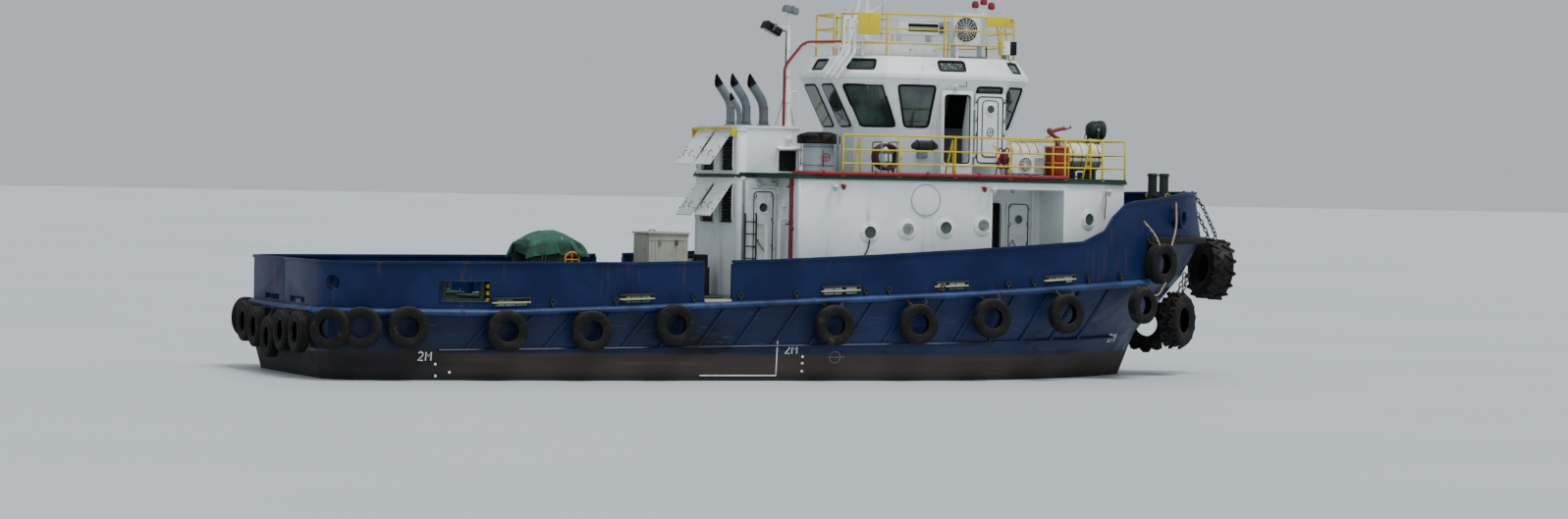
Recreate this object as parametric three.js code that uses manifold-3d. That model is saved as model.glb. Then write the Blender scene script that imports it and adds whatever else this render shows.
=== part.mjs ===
// Harbour tugboat, 23 m hull, afloat: millimetres, +X to the bow, +Y to port, +Z up.
// The origin is amidships on the centreline, on the waterline.
import * as THREE from "three";
import { mergeVertices } from "three/addons/utils/BufferGeometryUtils.js";
import Module from "manifold-3d";

const wasm = await Module();
wasm.setup();

// Driving dimensions
const STERN_X = -11400;
const STEM_X = 11350;
const BEAM = 3600;
const DRAUGHT = 2360;
const GAP = 0.3;
const UPPER_DECK_Z = 4640;
const DECK_PLATE = 80;
const WALL = 80;
const FORECASTLE_X = 8750;
const FORECASTLE_Z = 3300;
const BULWARK_PLATE = 40;
const BULWARK_LEAN = 200;
const CAP = { outer: 40, inner: 90, above: 25, below: 35 };
const SHAFT_Y = 1450;
const SHAFT_Z = -1480;
const SHAFT_END_X = -9050;
const RUDDER_X = -10150;
const RUDDER_TOP_Z = -560;
const TYRE_RADIUS = 460;
const TYRE_WIDTH = 280;
const CHAIN = 36;
const STRAKE_DEPTH = 150;
const STRAKE_HALF = 90;
const STRAKE_DROP = 80;
const LOWER_STRAKE_DEPTH = 80;
const SKIN_SHARE = 0.004;
const SLANTS = { first: -8300, step: 900, count: 18, run: 620, size: 64 };
const LEDGE_Z = 3340;
const LEDGE_DEPTH = 130;
const STEM_RAKE = 550;
const DOOR_SILL = 220;
const HOUSE_PLAN = [[-150, 2650], [6560, 2650], [7750, 2200], [8650, 1600]];
const ALCOVE = { from: 4720, to: 6560, back: 1350, depth: 2650, top: 4430 };
const HOUSE_DOORWAY = { from: 4950, to: 5560 };
const HOUSE_DOOR = { from: 5720, to: 6230, top: 4080 };
const CASING = {
  aft: -1100, fore: 400, half: 1370, top: 5700,
  hole: { inner: 170, outer: 1030 }, upper: { foot: 4700, top: 5520 }, lower: { foot: 3500, top: 4400 },
};
const CASING_DOOR = { from: -720, to: -240, top: 4260 };
const FLAP = { inner: 110, outer: 1070, thick: 30, stand: 30, angle: 35 };
const FLAPS = { upper: { hinge: 5655, length: 990 }, lower: { hinge: 4440, length: 950 } };
const WHEELHOUSE = {
  sill: 5780, eaves: 6930, roofTop: 7450, roofInset: 250,
  sillPlan: [[1930, 950], [2890, 1470], [5200, 1470], [5940, 900]],
  eavesPlan: [[1340, 950], [2360, 1800], [5500, 1800], [6380, 900]],
};
const PANE = { low: 0.03, high: 0.87, half: 330 };
const AFT_PANES = [-520, 520];
// Windows of the starboard walls by wall number; shares along the wall at the top and at the bottom edge
const WHEELHOUSE_WINDOWS = [
  { wall: 0, from: 0.14, to: 0.9, fromLow: 0.14, toLow: 0.9 },
  { wall: 1, from: 0.08, to: 0.4, fromLow: 0.04, toLow: 0.3 },
  { wall: 1, from: 0.745, to: 0.97, fromLow: 0.83, toLow: 0.95 },
  { wall: 2, from: 0.12, to: 0.88, fromLow: 0.12, toLow: 0.88 },
];
const FASCIA_PANES = [
  { at: [1500, 0], outward: [-1, 0], half: 330 },
  { at: [1960, -1280], outward: [-0.64, -0.77], half: 330 },
  { at: [4060, -1700], outward: [0, -1], half: 330 },
  { at: [5800, -1250], outward: [0.71, -0.7], half: 300 },
];
const WHEELHOUSE_DOOR = { from: 3830, to: 4500, foot: 4970, top: 6590, face: 1830, hinge: 4600 };
const DOOR_HINGE_GAP = 14;
const EYE = { radius: 12, height: 60, offset: 20 };
const EYE_HEIGHTS = { wheelhouse: [5200, 6300], house: [2650, 3800], casing: [2400, 3950] };
const PROPELLER = {
  blades: 4, pitch: 62,
  hub: [[0, 0], [150, 0], [165, 120], [150, 420], [90, 540], [0, 580]],
  blade: [[-60, 100], [-210, 380], [-250, 620], [-120, 800], [90, 790], [240, 640], [200, 380], [60, 100]],
};
const RUDDER = {
  section: [[350, 0], [250, 80], [-150, 95], [-900, 12], [-900, -12], [-150, -95], [250, -80]],
  foot: -2150, stock: 75,
};
const SIDES = [["starboard", -1], ["port", 1]];
const RAIL = { height: 970, rails: [1, 0.65, 0.33], spacing: 1500, size: 42 };
const UPPER_RAIL = [[930, -2670], [6560, -2670], [7760, -2215], [8660, -1600], [8660, 1600], [7760, 2215],
  [6560, 2670], [930, 2670]];
const TOP_RAIL_FORM = { height: 1000, rails: [1, 0.66, 0.33], spacing: 1250, size: 42 };
const TOP_RAIL = [
  [1650, -760], [2480, -1500], [5400, -1500], [6080, -760], [6080, 760], [5400, 1500], [2480, 1500],
    [1650, 760], [1650, -300],
];
const HOOK = {
  x: -1750, z: 2600, pin: 60, jaw: 130, base: 240, back: { from: 130, to: 420, half: 120 },
  arm: 55, bill: { from: -660, tip: -430, top: 190 },
};
const TOWING_BITT = { x: -9000, top: 2480, halfGap: 420, radius: 130 };
const BOW_BITT = { x: 10380, top: 4860, halfGap: 300, radius: 110 };
const BITT_BAR = { at: 0.65, radius: 0.55, beyond: 130 };
const LOCKER = { x: [-3460, -2520], y: [-1900, -900], z: 3240, arms: [-1760, -1160] };
const FAIRLEAD = { x: [-8960, -7680], y: [-3440, -3220], top: 2250 };
const WINDLASS = {
  x: 9450, half: 520, axis: 3760, long: 420, head: 180, cheek: 50, bed: 60, bearing: 70, barrel: 160,
  flange: { radius: 300, thick: 40 },
};
const VENT = {
  x: 620, y: -1960,
  drums: [
    // radius, foot, head, radius at the head
    [360, UPPER_DECK_Z + GAP, 5420, 360],
    [500, 5370, 5560, 500],
    [500, 5550, 5640, 250],
  ],
};
const LIFERAFT = { x: [6960, 7930], y: -1650, axis: 5200, radius: 330 };
const MONITOR = { x: [6400, 6850], y: -2100 };
const SEARCHLIGHT = { x: 8350, y: -500, z: 5860 };
const LAMP_POLE = { x: 155, y: -1150, top: 8500, lamp: 8040 };
const MAST = { x: 2600, top: 11400, yard: { z: 9900, half: 1150 },
  table: { z: 9050, reach: 760, scanner: 600 } };
const WINCH = {
  x: -5250, half: 620, length: 1150, top: 2900, axis: 2330, drum: 430, barrel: 260, shaft: 90,
  cheek: 40, bed: 140, rail: { half: 50, inset: 60, depth: 100 }, bearing: { radius: 110, depth: 90 },
  flange: { half: 25, inset: 60 }, motor: { aft: 350, fore: 250, out: 330, above: 160 },
  cover: {
    beyond: [120, 160], corners: 12, squareness: 0.5,
    // how far in, how far above the top rails
    rings: [[0, GAP], [40, 180], [260, 340], [600, 400]],
  },
};

// Heights along the hull: x, z, straight between the rows
const UNDER_DECK_Z = 1500;
const DECK_LINE = [[-11400, 1580], [-7520, 1580], [-3450, 1730], [0, 1890], [4000, 2080], [8300, 2340],
  [11350, 2450]];
const KNUCKLE_LINE = [[-11400, 660], [-8000, 710], [8000, 965], [9750, 985]];
const BULWARK_TOP = [
  [-11400, 2560], [-6000, 2590], [-2600, 2640], [700, 2800], [4100, 3020], [6900, 3215], [7430, 3460],
  [7680, 3790], [8070, 4100], [8450, 4170], [9100, 4220], [10260, 4370], [11350, 4400],
];

// Straight-line reading of a table of x and z at one x.
function along(table, x) {
  const next = table.findIndex((row) => row[0] >= x);
  if (next <= 0) return next === 0 ? table[0][1] : table[table.length - 1][1];
  const [x0, z0] = table[next - 1];
  const [x1, z1] = table[next];
  return z0 + ((z1 - z0) * (x - x0)) / (x1 - x0);
}

// Closed solids and what is cut and joined from them

// The exact solid that a closed geometry bounds.
function solid(geometry) {
  const bare = geometry.index ? geometry.toNonIndexed() : geometry.clone();
  bare.deleteAttribute("normal");
  bare.deleteAttribute("uv");
  const merged = mergeVertices(bare, 0.01);
  return new wasm.Manifold(
    new wasm.Mesh({
      numProp: 3,
      vertProperties: Float32Array.from(merged.attributes.position.array),
      triVerts: Uint32Array.from(merged.index.array),
    })
  );
}

// The faceted geometry of a solid.
function geometryOf(body) {
  const mesh = body.getMesh();
  const geometry = new THREE.BufferGeometry();
  geometry.setAttribute("position", new THREE.BufferAttribute(Float32Array.from(mesh.vertProperties), 3));
  geometry.setIndex(new THREE.BufferAttribute(Uint32Array.from(mesh.triVerts), 1));
  geometry.computeVertexNormals();
  return geometry;
}

// One solid of many.
function join(...bodies) {
  return bodies.flat().reduce((sum, body) => sum.add(body));
}

// A solid with others taken out of it.
function cut(body, ...tools) {
  return tools.flat().reduce((rest, tool) => rest.subtract(tool), body);
}

// The same solid on the other side of the centreline.
function mirrored(body) {
  return body.mirror([0, 1, 0]);
}

// A box between two corners.
function box([x0, x1], [y0, y1], [z0, z1]) {
  const shape = new THREE.BoxGeometry(x1 - x0, y1 - y0, z1 - z0);
  return solid(shape.translate((x0 + x1) / 2, (y0 + y1) / 2, (z0 + z1) / 2));
}

// The matrix that stands an object's +Z along a line from one point to another.
function onLine(from, to) {
  const start = new THREE.Vector3(...from);
  const aim = new THREE.Vector3(...to).sub(start);
  const turn = new THREE.Quaternion().setFromUnitVectors(new THREE.Vector3(0, 0, 1), aim.clone().normalize());
  return new THREE.Matrix4().compose(start.addScaledVector(aim, 0.5), turn, new THREE.Vector3(1, 1, 1));
}

// A round rod between two points.
function rod(from, to, radius, sides = 8, endRadius = radius) {
  const length = new THREE.Vector3(...from).distanceTo(new THREE.Vector3(...to));
  const shape = new THREE.CylinderGeometry(endRadius, radius, length, sides).rotateX(Math.PI / 2);
  return solid(shape.applyMatrix4(onLine(from, to)));
}

// A rectangular bar between two points.
function bar(from, to, width, height) {
  const length = new THREE.Vector3(...from).distanceTo(new THREE.Vector3(...to));
  return solid(new THREE.BoxGeometry(width, height, length).applyMatrix4(onLine(from, to)));
}

// A run of rods through a list of points, with a ball-like joint of the same radius at each bend.
function pipe(points, radius) {
  const runs = points.slice(1).map((point, index) => rod(points[index], point, radius));
  const bends = points.slice(1, -1).map(([x, y, z]) => {
    return solid(new THREE.SphereGeometry(radius * 1.02, 8, 4).translate(x, y, z));
  });
  return join(...runs, ...bends);
}

// An upright prism on a plan outline of [x, y] points.
function prism(outline, z0, z1) {
  const shape = new THREE.Shape(outline.map(([x, y]) => new THREE.Vector2(x, y)));
  return solid(new THREE.ExtrudeGeometry(shape, { depth: z1 - z0, bevelEnabled: false }).translate(0, 0, z0));
}

// A prism on an outline of [x, z] points, from one y to another.
function sidePrism(outline, y0, y1) {
  const shape = new THREE.Shape(outline.map(([x, z]) => new THREE.Vector2(x, z)));
  const body = new THREE.ExtrudeGeometry(shape, { depth: y1 - y0, bevelEnabled: false });
  return solid(body.rotateX(Math.PI / 2).translate(0, y1, 0));
}

// A ring of revolution about +Z from a closed profile of [radius, height] points.
function turned(profile, segments) {
  const points = [...profile, profile[0]].map(([r, z]) => new THREE.Vector2(r, z));
  return new THREE.LatheGeometry(points, segments).rotateX(Math.PI / 2);
}

// A closed skin through rings of [x, y, z] points; its caps are a "fan", or a "strip" on rings that mirror.
function skin(rings, cap = "strip", closed = false) {
  const count = rings[0].length;
  const position = new Float32Array(rings.flat(2));
  const faces = [];
  const links = closed ? rings.length : rings.length - 1;
  for (let level = 0; level < links; level += 1) {
    const low = level * count;
    const high = ((level + 1) % rings.length) * count;
    for (let i = 0; i < count; i += 1) {
      const j = (i + 1) % count;
      const turn = cap === "strip" && i >= count / 2;
      const [a, b, c, d] = [low + i, low + j, high + j, high + i];
      faces.push(...(turn ? [a, b, d, b, c, d] : [a, b, c, a, c, d]));
    }
  }
  const ends = closed ? [] : [[0, true], [(rings.length - 1) * count, false]];
  for (const [base, flip] of ends) {
    for (let i = 0; i < (cap === "strip" ? count / 2 - 1 : count - 2); i += 1) {
      const quad = cap === "strip" ? [i, i + 1, count - 2 - i, count - 1 - i] : [0, i + 1, i + 2];
      const halves = cap === "strip" ? [[quad[0], quad[1], quad[2]], [quad[0], quad[2], quad[3]]] : [quad];
      for (const [a, b, c] of halves) {
        faces.push(base + a, base + (flip ? c : b), base + (flip ? b : c));
      }
    }
  }
  const geometry = new THREE.BufferGeometry();
  geometry.setAttribute("position", new THREE.BufferAttribute(position, 3));
  geometry.setIndex(volumeOf(position, faces) < 0 ? faces.reverse() : faces);
  return solid(geometry);
}

// Signed volume of a triangle mesh.
function volumeOf(position, faces) {
  const corner = (k) => new THREE.Vector3().fromArray(position, 3 * faces[k]);
  let sum = 0;
  for (let k = 0; k < faces.length; k += 3) sum += corner(k).dot(corner(k + 1).cross(corner(k + 2))) / 6;
  return sum;
}

// Hull form

// Where the points of a waterplane stand: round the stern corner, along the side, round the bow.
const CORNER_STEPS = [0, 30, 60, 90];
const SIDE_STEPS = [0.2, 0.42, 0.64, 0.82, 1];
const BOW_STEPS = [0.2, 0.38, 0.54, 0.67, 0.78, 0.87, 0.94, 0.985];

// Starboard half of one waterplane as [x, y] points with y positive outward.
function waterplane({ stern, flat, cornerLength, aftBeam, beam, shoulder, tip, nose, power }) {
  const corner = CORNER_STEPS.map((degrees) => {
    const angle = THREE.MathUtils.degToRad(degrees);
    return [stern + cornerLength * (1 - Math.cos(angle)), flat + (aftBeam - flat) * Math.sin(angle)];
  });
  const sideStart = stern + cornerLength;
  const side = SIDE_STEPS.map((share) => {
    return [sideStart + share * (shoulder - sideStart),
      aftBeam + (beam - aftBeam) * Math.min(1, share * 2.4)];
  });
  const bow = BOW_STEPS.map((share) => {
    return [shoulder + share * (tip - shoulder), nose + (beam - nose) * (1 - share * share) ** power];
  });
  return [...corner, ...side, ...bow, [tip, nose]];
}

// A full ring of a waterplane at a height given as a number or as a function of x.
function ringAt(half, height) {
  const z = (x) => (typeof height === "number" ? height : height(x));
  const starboard = half.map(([x, y]) => [x, -y, z(x)]);
  const port = half.map(([x, y]) => [x, y, z(x)]).reverse();
  return [...starboard, ...port];
}

const deckZ = (x) => along(DECK_LINE, x);
const knuckleZ = (x) => along(KNUCKLE_LINE, x);

// Waterplanes from the deck down; heights are functions of x on the two that carry the strakes.
const DECK_PLANE = waterplane({
  stern: STERN_X, flat: 2600, cornerLength: 1000, aftBeam: 3450, beam: BEAM,
  shoulder: 4000, tip: STEM_X, nose: 300, power: 0.65,
});
const KNUCKLE_PLANE = waterplane({
  stern: STERN_X, flat: 2540, cornerLength: 1000, aftBeam: 3390, beam: 3560,
  shoulder: 3000, tip: 9750, nose: 70, power: 0.8,
});
// z, stern, flat, cornerLength, aftBeam, beam, shoulder, tip, nose, power
const LOWER_PLANES = [
  [0, -11250, 2400, 1200, 3250, 3480, 2200, 9350, 60, 0.95],
  [-300, -10300, 2100, 1400, 3000, 3440, 1800, 9250, 60, 1.0],
  [-600, -8800, 1900, 1500, 2900, 3400, 1500, 9150, 60, 1.05],
  [-1200, -7400, 1300, 1800, 2700, 3200, 1200, 8950, 60, 1.1],
  [-1900, -6000, 600, 2000, 1900, 2500, 900, 8600, 60, 1.15],
  [-2200, -5000, 250, 2000, 650, 900, 600, 8250, 60, 1.2],
];

// The deck edge of the hull proper: under the foredeck it is drawn back, so that the stem rakes.
const DECK_EDGE = DECK_PLANE.map(([x, y]) => {
  return [x - STEM_RAKE * Math.max(0, (x - FORECASTLE_X) / (STEM_X - FORECASTLE_X)) ** 1.3, y];
});

function hullShell() {
  const lower = LOWER_PLANES.map(([z, stern, flat, cornerLength, aftBeam, beam, shoulder, tip, nose,
    power]) => {
    return ringAt(waterplane({ stern, flat, cornerLength, aftBeam, beam, shoulder, tip, nose, power }), z);
  });
  const deckRing = ringAt(DECK_EDGE, (x) => deckZ(x));
  return skin([...lower.reverse(), ringAt(KNUCKLE_PLANE, knuckleZ), deckRing]);
}

function hullBody() {
  const keel = sidePrism(
    [[-9300, -1000], [-9300, -DRAUGHT + 200], [-9100, -DRAUGHT], [7900, -DRAUGHT], [8300, -2050],
      [8300, -1000]],
    -125, 125
  );
  return join(HULL_SHELL, keel, forecastle(), ...[-1, 1].flatMap((side) => sternGear(side * SHAFT_Y)));
}

const HULL_SHELL = hullShell();
const HULL_SIDE = new THREE.Mesh(geometryOf(HULL_SHELL),
  new THREE.MeshBasicMaterial({ side: THREE.DoubleSide }));

// The hull's sides with the running gap added, to seat on the plating what hangs or lies against it.
const HULL_ROOM = hullRoom();

function hullRoom() {
  const [z, stern, flat, cornerLength, aftBeam, beam, shoulder, tip, nose, power] = LOWER_PLANES[0];
  const water = waterplane({ stern, flat, cornerLength, aftBeam, beam, shoulder, tip, nose, power });
  const grown = (half) => half.map(([x, y]) => [x + (x > 0 ? GAP : -GAP), y + GAP]);
  const ring = (half, height) => {
    const points = grown(half).map(([x, y], index) =>
      [x, y, typeof height === "number" ? height : height(half[index][0])]);
    return [...points.map(([x, y, up]) => [x, -y, up]), ...points.reverse()];
  };
  return skin([ring(water, z), ring(KNUCKLE_PLANE, knuckleZ), ring(DECK_EDGE, (x) => deckZ(x)),
    ring(DECK_PLANE, FORECASTLE_Z)]);
}

// Where a line from outside first meets the hull shell: the point and the outward direction there.
function onHull(from, direction) {
  const ray = new THREE.Raycaster(new THREE.Vector3(...from), new THREE.Vector3(...direction).normalize());
  const [hit] = ray.intersectObject(HULL_SIDE);
  return { point: hit.point, normal: hit.face.normal };
}

// The raised foredeck, from just inside the deck edge up to its own level deck.
function forecastle() {
  const inward = 60;
  const cutAt = (half) => [[FORECASTLE_X, halfBreadth(half, FORECASTLE_X)],
    ...half.filter(([x], i) => DECK_PLANE[i][0] > FORECASTLE_X)];
  const [low, high] = [cutAt(DECK_EDGE), cutAt(DECK_PLANE)];
  const sunk = low.map(([x, y], index) => [index === 0 ? x : x - inward, Math.max(y - inward, 40)]);
  return skin([ringAt(sunk, (x) => deckZ(x) - 20), ringAt(low, (x) => deckZ(x) + GAP),
    ringAt(high, FORECASTLE_Z)]);
}

// Half breadth of a waterplane at one x.
function halfBreadth(half, x) {
  return along(half, x);
}

// Shaft tube, its strut and the rudder's boss on one side, as they grow out of the hull.
function sternGear(y) {
  return [
    rod([-5000, y, SHAFT_Z], [SHAFT_END_X, y, SHAFT_Z], 150, 12),
    box([-8950, -8650], [y - 50, y + 50], [SHAFT_Z, -480]),
    rod([RUDDER_X, y, RUDDER_TOP_Z], [RUDDER_X, y, -150], 150, 12),
  ];
}

// Bulwark, on the deck edge, with its cap rail and its cut-outs

// Plan of the bulwark: bottom and top outlines and heights at each point of the deck edge.
function bulwarkBody() {
  const extra = [7430, 7680, 8070, 8450, FORECASTLE_X - 30, FORECASTLE_X - 2];
  const half = [...DECK_PLANE, ...extra.map((x) => [x, halfBreadth(DECK_PLANE, x)])];
  half.sort((a, b) => a[0] - b[0]);
  const lean = (x) => Math.max(0, (x - 8000) / (STEM_X - 8000)) * BULWARK_LEAN;
  const foot = (x) => (x > FORECASTLE_X - 10 ? FORECASTLE_Z : deckZ(x)) + GAP;
  const top = (x) => along(BULWARK_TOP, x);
  const offset = (inward, share) => half.map(([x, y]) => {
    const back = Math.max(0, (x - 9500) / (STEM_X - 9500));
    const aft = Math.max(0, (STERN_X + 600 - x) / 600);
    return [x - lean(x) * share * back - inward * (back - aft),
      y - inward * (1 - aft) - lean(x) * share * (1 - back)];
  });
  const wall = (outer, inner) => skin([outer[0], outer[1], inner[1], inner[0]], "strip", true);
  const plate = wall(
    [ringOf(offset(0, 0), half, foot), ringOf(offset(0, 1), half, top)],
    [ringOf(offset(BULWARK_PLATE, 0), half, foot), ringOf(offset(BULWARK_PLATE, 1), half, top)]
  );
  const capTop = (x) => top(x) + CAP.above;
  const capFoot = (x) => top(x) - CAP.below;
  const cap = wall(
    [ringOf(offset(-CAP.outer, 1), half, capFoot), ringOf(offset(-CAP.outer, 1), half, capTop)],
    [ringOf(offset(CAP.inner, 1), half, capFoot), ringOf(offset(CAP.inner, 1), half, capTop)]
  );
  return cut(join(plate, cap), ...bulwarkHoles());
}

// A full ring of shifted plan points, with the height read at the unshifted x.
function ringOf(points, half, height) {
  const starboard = points.map(([x, y], index) => [x, -y, height(half[index][0])]);
  const port = points.map(([x, y], index) => [x, y, height(half[index][0])]).reverse();
  return [...starboard, ...port];
}

// The bulwark's after parts end in the middle of the gates on both sides.
const GATE_MIDDLE = -2430;

// Openings on each side: x from, x to, foot above deck or height, top; all go right through the plate.
const SIDE_HOLES = [
  { from: -2780, to: -2080, foot: -50, top: 1400 },
  { from: -8880, to: -7750, foot: 140, top: 600 },
  { from: -7650, to: -6890, foot: 40, top: 210 },
  { from: -4710, to: -4010, foot: 40, top: 210 },
  { from: 120, to: 960, foot: 40, top: 210 },
  { from: 2920, to: 3640, foot: 40, top: 210 },
  { from: 5750, to: 6500, foot: 40, top: 210 },
];

function bulwarkHoles() {
  const holes = [];
  for (const { from, to, foot, top } of SIDE_HOLES) {
    const middle = (from + to) / 2;
    const z0 = deckZ(middle) + foot;
    const z1 = deckZ(middle) + top;
    const hole = box([from, to], [-4200, -2800], [z0, z1]);
    holes.push(hole, mirrored(hole));
  }
  const quarter = rod([-11750, -3500, 2110], [-10600, -2600, 2110], 175, 10);
  const bowEye = rod([10600, -2700, 3790], [9300, -1300, 3790], 170, 10);
  holes.push(quarter, mirrored(quarter), bowEye, mirrored(bowEye));
  for (const y of [-1025, 1025]) {
    holes.push(box([-11800, -11000], [y - 575, y + 575], [deckZ(STERN_X) + 40, deckZ(STERN_X) + 170]));
  }
  return holes;
}

// Strakes: half-round steel pipe belts on the hull side

// A belt on the starboard side along an outline, from one x to another, standing off the plating by a depth.
function belt(half, lowZ, highZ, from, to, depth) {
  const ends = [from, to].filter((x) => x > STERN_X).map((x) => [x, halfBreadth(half, x)]);
  const stations = [...half.filter(([x]) => x < to && (x > from || from === STERN_X)), ...ends];
  stations.sort((one, other) => one[0] - other[0]);
  const rings = stations.map(([x, y]) => {
    const [z0, z1] = [lowZ(x), highZ(x)];
    const out = (share, z) => [x + depth * share * sweepX([x]), -(y + depth * share * sweepY([x])), z];
    const rise = (z1 - z0) * 0.18;
    return [out(SKIN_SHARE, z0), out(0.8, z0 + rise), out(1, (z0 + z1) / 2), out(0.8, z1 - rise),
      out(SKIN_SHARE, z1)];
  });
  return skin(rings, "fan");
}

// Outward direction in plan at a point of the side, turning aft at the stern corner and forward at the bow.
function sweepX([x]) {
  if (x < STERN_X + 1000) return -Math.cos(((x - STERN_X) / 1000) * (Math.PI / 2));
  return x > 5000 ? Math.sin(Math.min(1, (x - 5000) / 6200) * 1.15) : 0;
}
function sweepY(point) {
  return Math.sqrt(1 - sweepX(point) ** 2);
}

// Fender tyres

// A tyre standing at a point, its axis along the outward direction in plan.
function tyre([x, y, z], outward, radius = TYRE_RADIUS, width = TYRE_WIDTH, segments = 9) {
  const h = width / 2;
  const profile = [
    [radius * 0.5, -h * 0.6], [radius * 0.7, -h], [radius, -h * 0.7],
    [radius, h * 0.7], [radius * 0.7, h], [radius * 0.5, h * 0.6],
  ];
  const turn = new THREE.Quaternion().setFromUnitVectors(new THREE.Vector3(0, 0, 1),
    new THREE.Vector3(...outward).normalize());
  const place = new THREE.Matrix4().compose(new THREE.Vector3(x, y, z), turn, new THREE.Vector3(1, 1, 1));
  return solid(turned(profile, segments).applyMatrix4(place));
}

// Side tyres: x and height of the centre
const SIDE_TYRES = [
  [-10710, 1150], [-9690, 1170], [-7430, 1100], [-5500, 1110], [-3540, 1260],
  [290, 1270], [2360, 1310], [4200, 1450], [6190, 1560],
];

// A tyre on the starboard side with the two chain ends that carry it from a height on the hull side.
function hungTyre(centre, outward, hangZ, size = {}) {
  const { radius = TYRE_RADIUS, width = TYRE_WIDTH, segments = 9, reach = 0.62 } = size;
  const [ox, oy] = new THREE.Vector2(outward[0], outward[1]).normalize().toArray();
  const [x, y, z] = centre;
  const chains = [-1, 1].map((side) => bar(
    [x - oy * side * radius * 0.55 - ox * width * reach, y + ox * side * radius * 0.55 - oy * width * reach,
      hangZ],
    [x - oy * side * radius * 0.3, y + ox * side * radius * 0.3, z + radius * 0.72],
    CHAIN, CHAIN
  ));
  return [tyre(centre, outward, radius, width, segments), ...chains];
}

// Upper strake of the starboard side with its tyres on it.
function upperStrake() {
  const centre = (x) => deckZ(x) - STRAKE_DROP;
  const low = (x) => centre(x) - STRAKE_HALF;
  const high = (x) => centre(x) + STRAKE_HALF - 15;
  const run = belt(DECK_EDGE, low, high, STERN_X, 8740, STRAKE_DEPTH);
  const tyres = SIDE_TYRES.flatMap(([x, z]) => {
    const slope = (halfBreadth(DECK_PLANE, x + 400) - halfBreadth(DECK_PLANE, x - 400)) / 800;
    const y = -(halfBreadth(DECK_PLANE, x) + STRAKE_DEPTH + TYRE_WIDTH / 2 - 20);
    return hungTyre([x, y, z], [-slope, -1, 0], centre(x));
  });
  const corner = hungTyre([-11330, -3450, 1130], [-0.64, -0.77, 0], centre(STERN_X));
  const bow = hungTyre([8540, -2910, 1740], [0.43, -0.9, 0], centre(8540), { radius: 430, reach: 0.5 });
  return join(run, tyres, corner, bow);
}

// Lower strake of the starboard side with the slanting bars that rise from it to the upper one.
function lowerStrake() {
  const low = (x) => knuckleZ(x) - 60;
  const run = belt(KNUCKLE_PLANE, low, knuckleZ, -8900, 8400, LOWER_STRAKE_DEPTH);
  const slants = [];
  for (let index = 0; index < SLANTS.count; index += 1) {
    const x = SLANTS.first + index * SLANTS.step;
    const ends = [[x, knuckleZ(x) - 30], [x + SLANTS.run,
      deckZ(x + SLANTS.run) - STRAKE_DROP - STRAKE_HALF - 25]];
    const [foot, head] = ends.map(([px, pz]) => {
      const { point, normal } = onHull([px, -9000, pz], [0, 1, 0]);
      return point.addScaledVector(normal, SLANTS.size * 0.3).toArray();
    });
    slants.push(bar(foot, head, SLANTS.size, SLANTS.size));
  }
  return cut(join(run, slants), HULL_ROOM);
}

// Bow fender: a ledge at the foredeck and the tyres that hang from it over the stem

function bowFender() {
  const edge = [[FORECASTLE_X + 20, halfBreadth(DECK_PLANE, FORECASTLE_X + 20)],
    ...DECK_PLANE.filter(([x]) => x > FORECASTLE_X + 100)];
  const grown = edge.map(([x, y]) => [x + LEDGE_DEPTH * sweepX([x]), y + LEDGE_DEPTH * sweepY([x])]);
  const ledge = prism(both([...grown.slice(0, -1), [STEM_X + LEDGE_DEPTH, 300]]), LEDGE_Z - 160, LEDGE_Z);
  const room = edge.map(([x, y]) => [x + GAP, y + GAP]);
  const inner = prism(both([[FORECASTLE_X - 400, room[0][1]], ...room]), LEDGE_Z - 400, LEDGE_Z + 400);
  const side = join(hungTyre([9120, -2690, 2720], [0.43, -0.9, 0], LEDGE_Z - 60,
    { radius: 480, width: 330, reach: 0.6 }));
  return join(cut(ledge, inner), side, mirrored(side));
}

// A large tread tyre with lugs round it, its axis along a direction.
function lugTyre(centre, axis, radius, width, lugs) {
  const h = width / 2;
  const profile = [
    [radius * 0.48, -h * 0.7], [radius * 0.72, -h], [radius * 0.94, -h * 0.86],
    [radius * 0.94, h * 0.86], [radius * 0.72, h], [radius * 0.48, h * 0.7],
  ];
  const carcass = turned(profile, lugs);
  const blocks = [];
  for (let index = 0; index < lugs; index += 1) {
    const lug = new THREE.BoxGeometry(radius * 0.12, (Math.PI * radius) / lugs, width * 0.86);
    blocks.push(solid(lug.translate(radius * 0.94, 0, 0).rotateZ((2 * Math.PI * (index + 0.5)) / lugs)));
  }
  const turn = new THREE.Quaternion().setFromUnitVectors(new THREE.Vector3(0, 0, 1),
    new THREE.Vector3(...axis).normalize());
  const place = new THREE.Matrix4().compose(new THREE.Vector3(...centre), turn, new THREE.Vector3(1, 1, 1));
  return join(solid(carcass), blocks).transform(place.elements.slice());
}

// The biggest tyre, flat against the stem under two chains from the bulwark's top.
function stemTyre() {
  const body = lugTyre([STEM_X + LEDGE_DEPTH + 380, 0, 2560], [1, 0, -0.1], 740, 620, 12);
  const capX = STEM_X - BULWARK_LEAN + CAP.outer + GAP;
  const plate = box([capX, capX + 60], [-270, -190], [4335, 4425]);
  const chain = bar([capX + 35, -230, 4350], [STEM_X + 500, -200, 3210], CHAIN * 1.4, CHAIN * 1.4);
  return join(body, plate, mirrored(plate), chain, mirrored(chain));
}

// A big tyre under the bow's starboard flare, hanging on two chains from the plating above it.
function lowBowTyre(height) {
  const [x, y, outX, outY] = [10560, -830, 0.62, -0.78];
  const body = lugTyre([x, y, height], [outX, outY, 0], 640, 460, 12);
  const chains = [-1, 1].map((side) => {
    const top = onHull([14000, y + side * 170, 2380], [-1, 0, 0]).point;
    return bar([top.x - 40, top.y, 2420], [x + side * 140, y + side * 120, height + 470], CHAIN, CHAIN);
  });
  return join(body, cut(join(...chains), HULL_ROOM));
}

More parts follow.
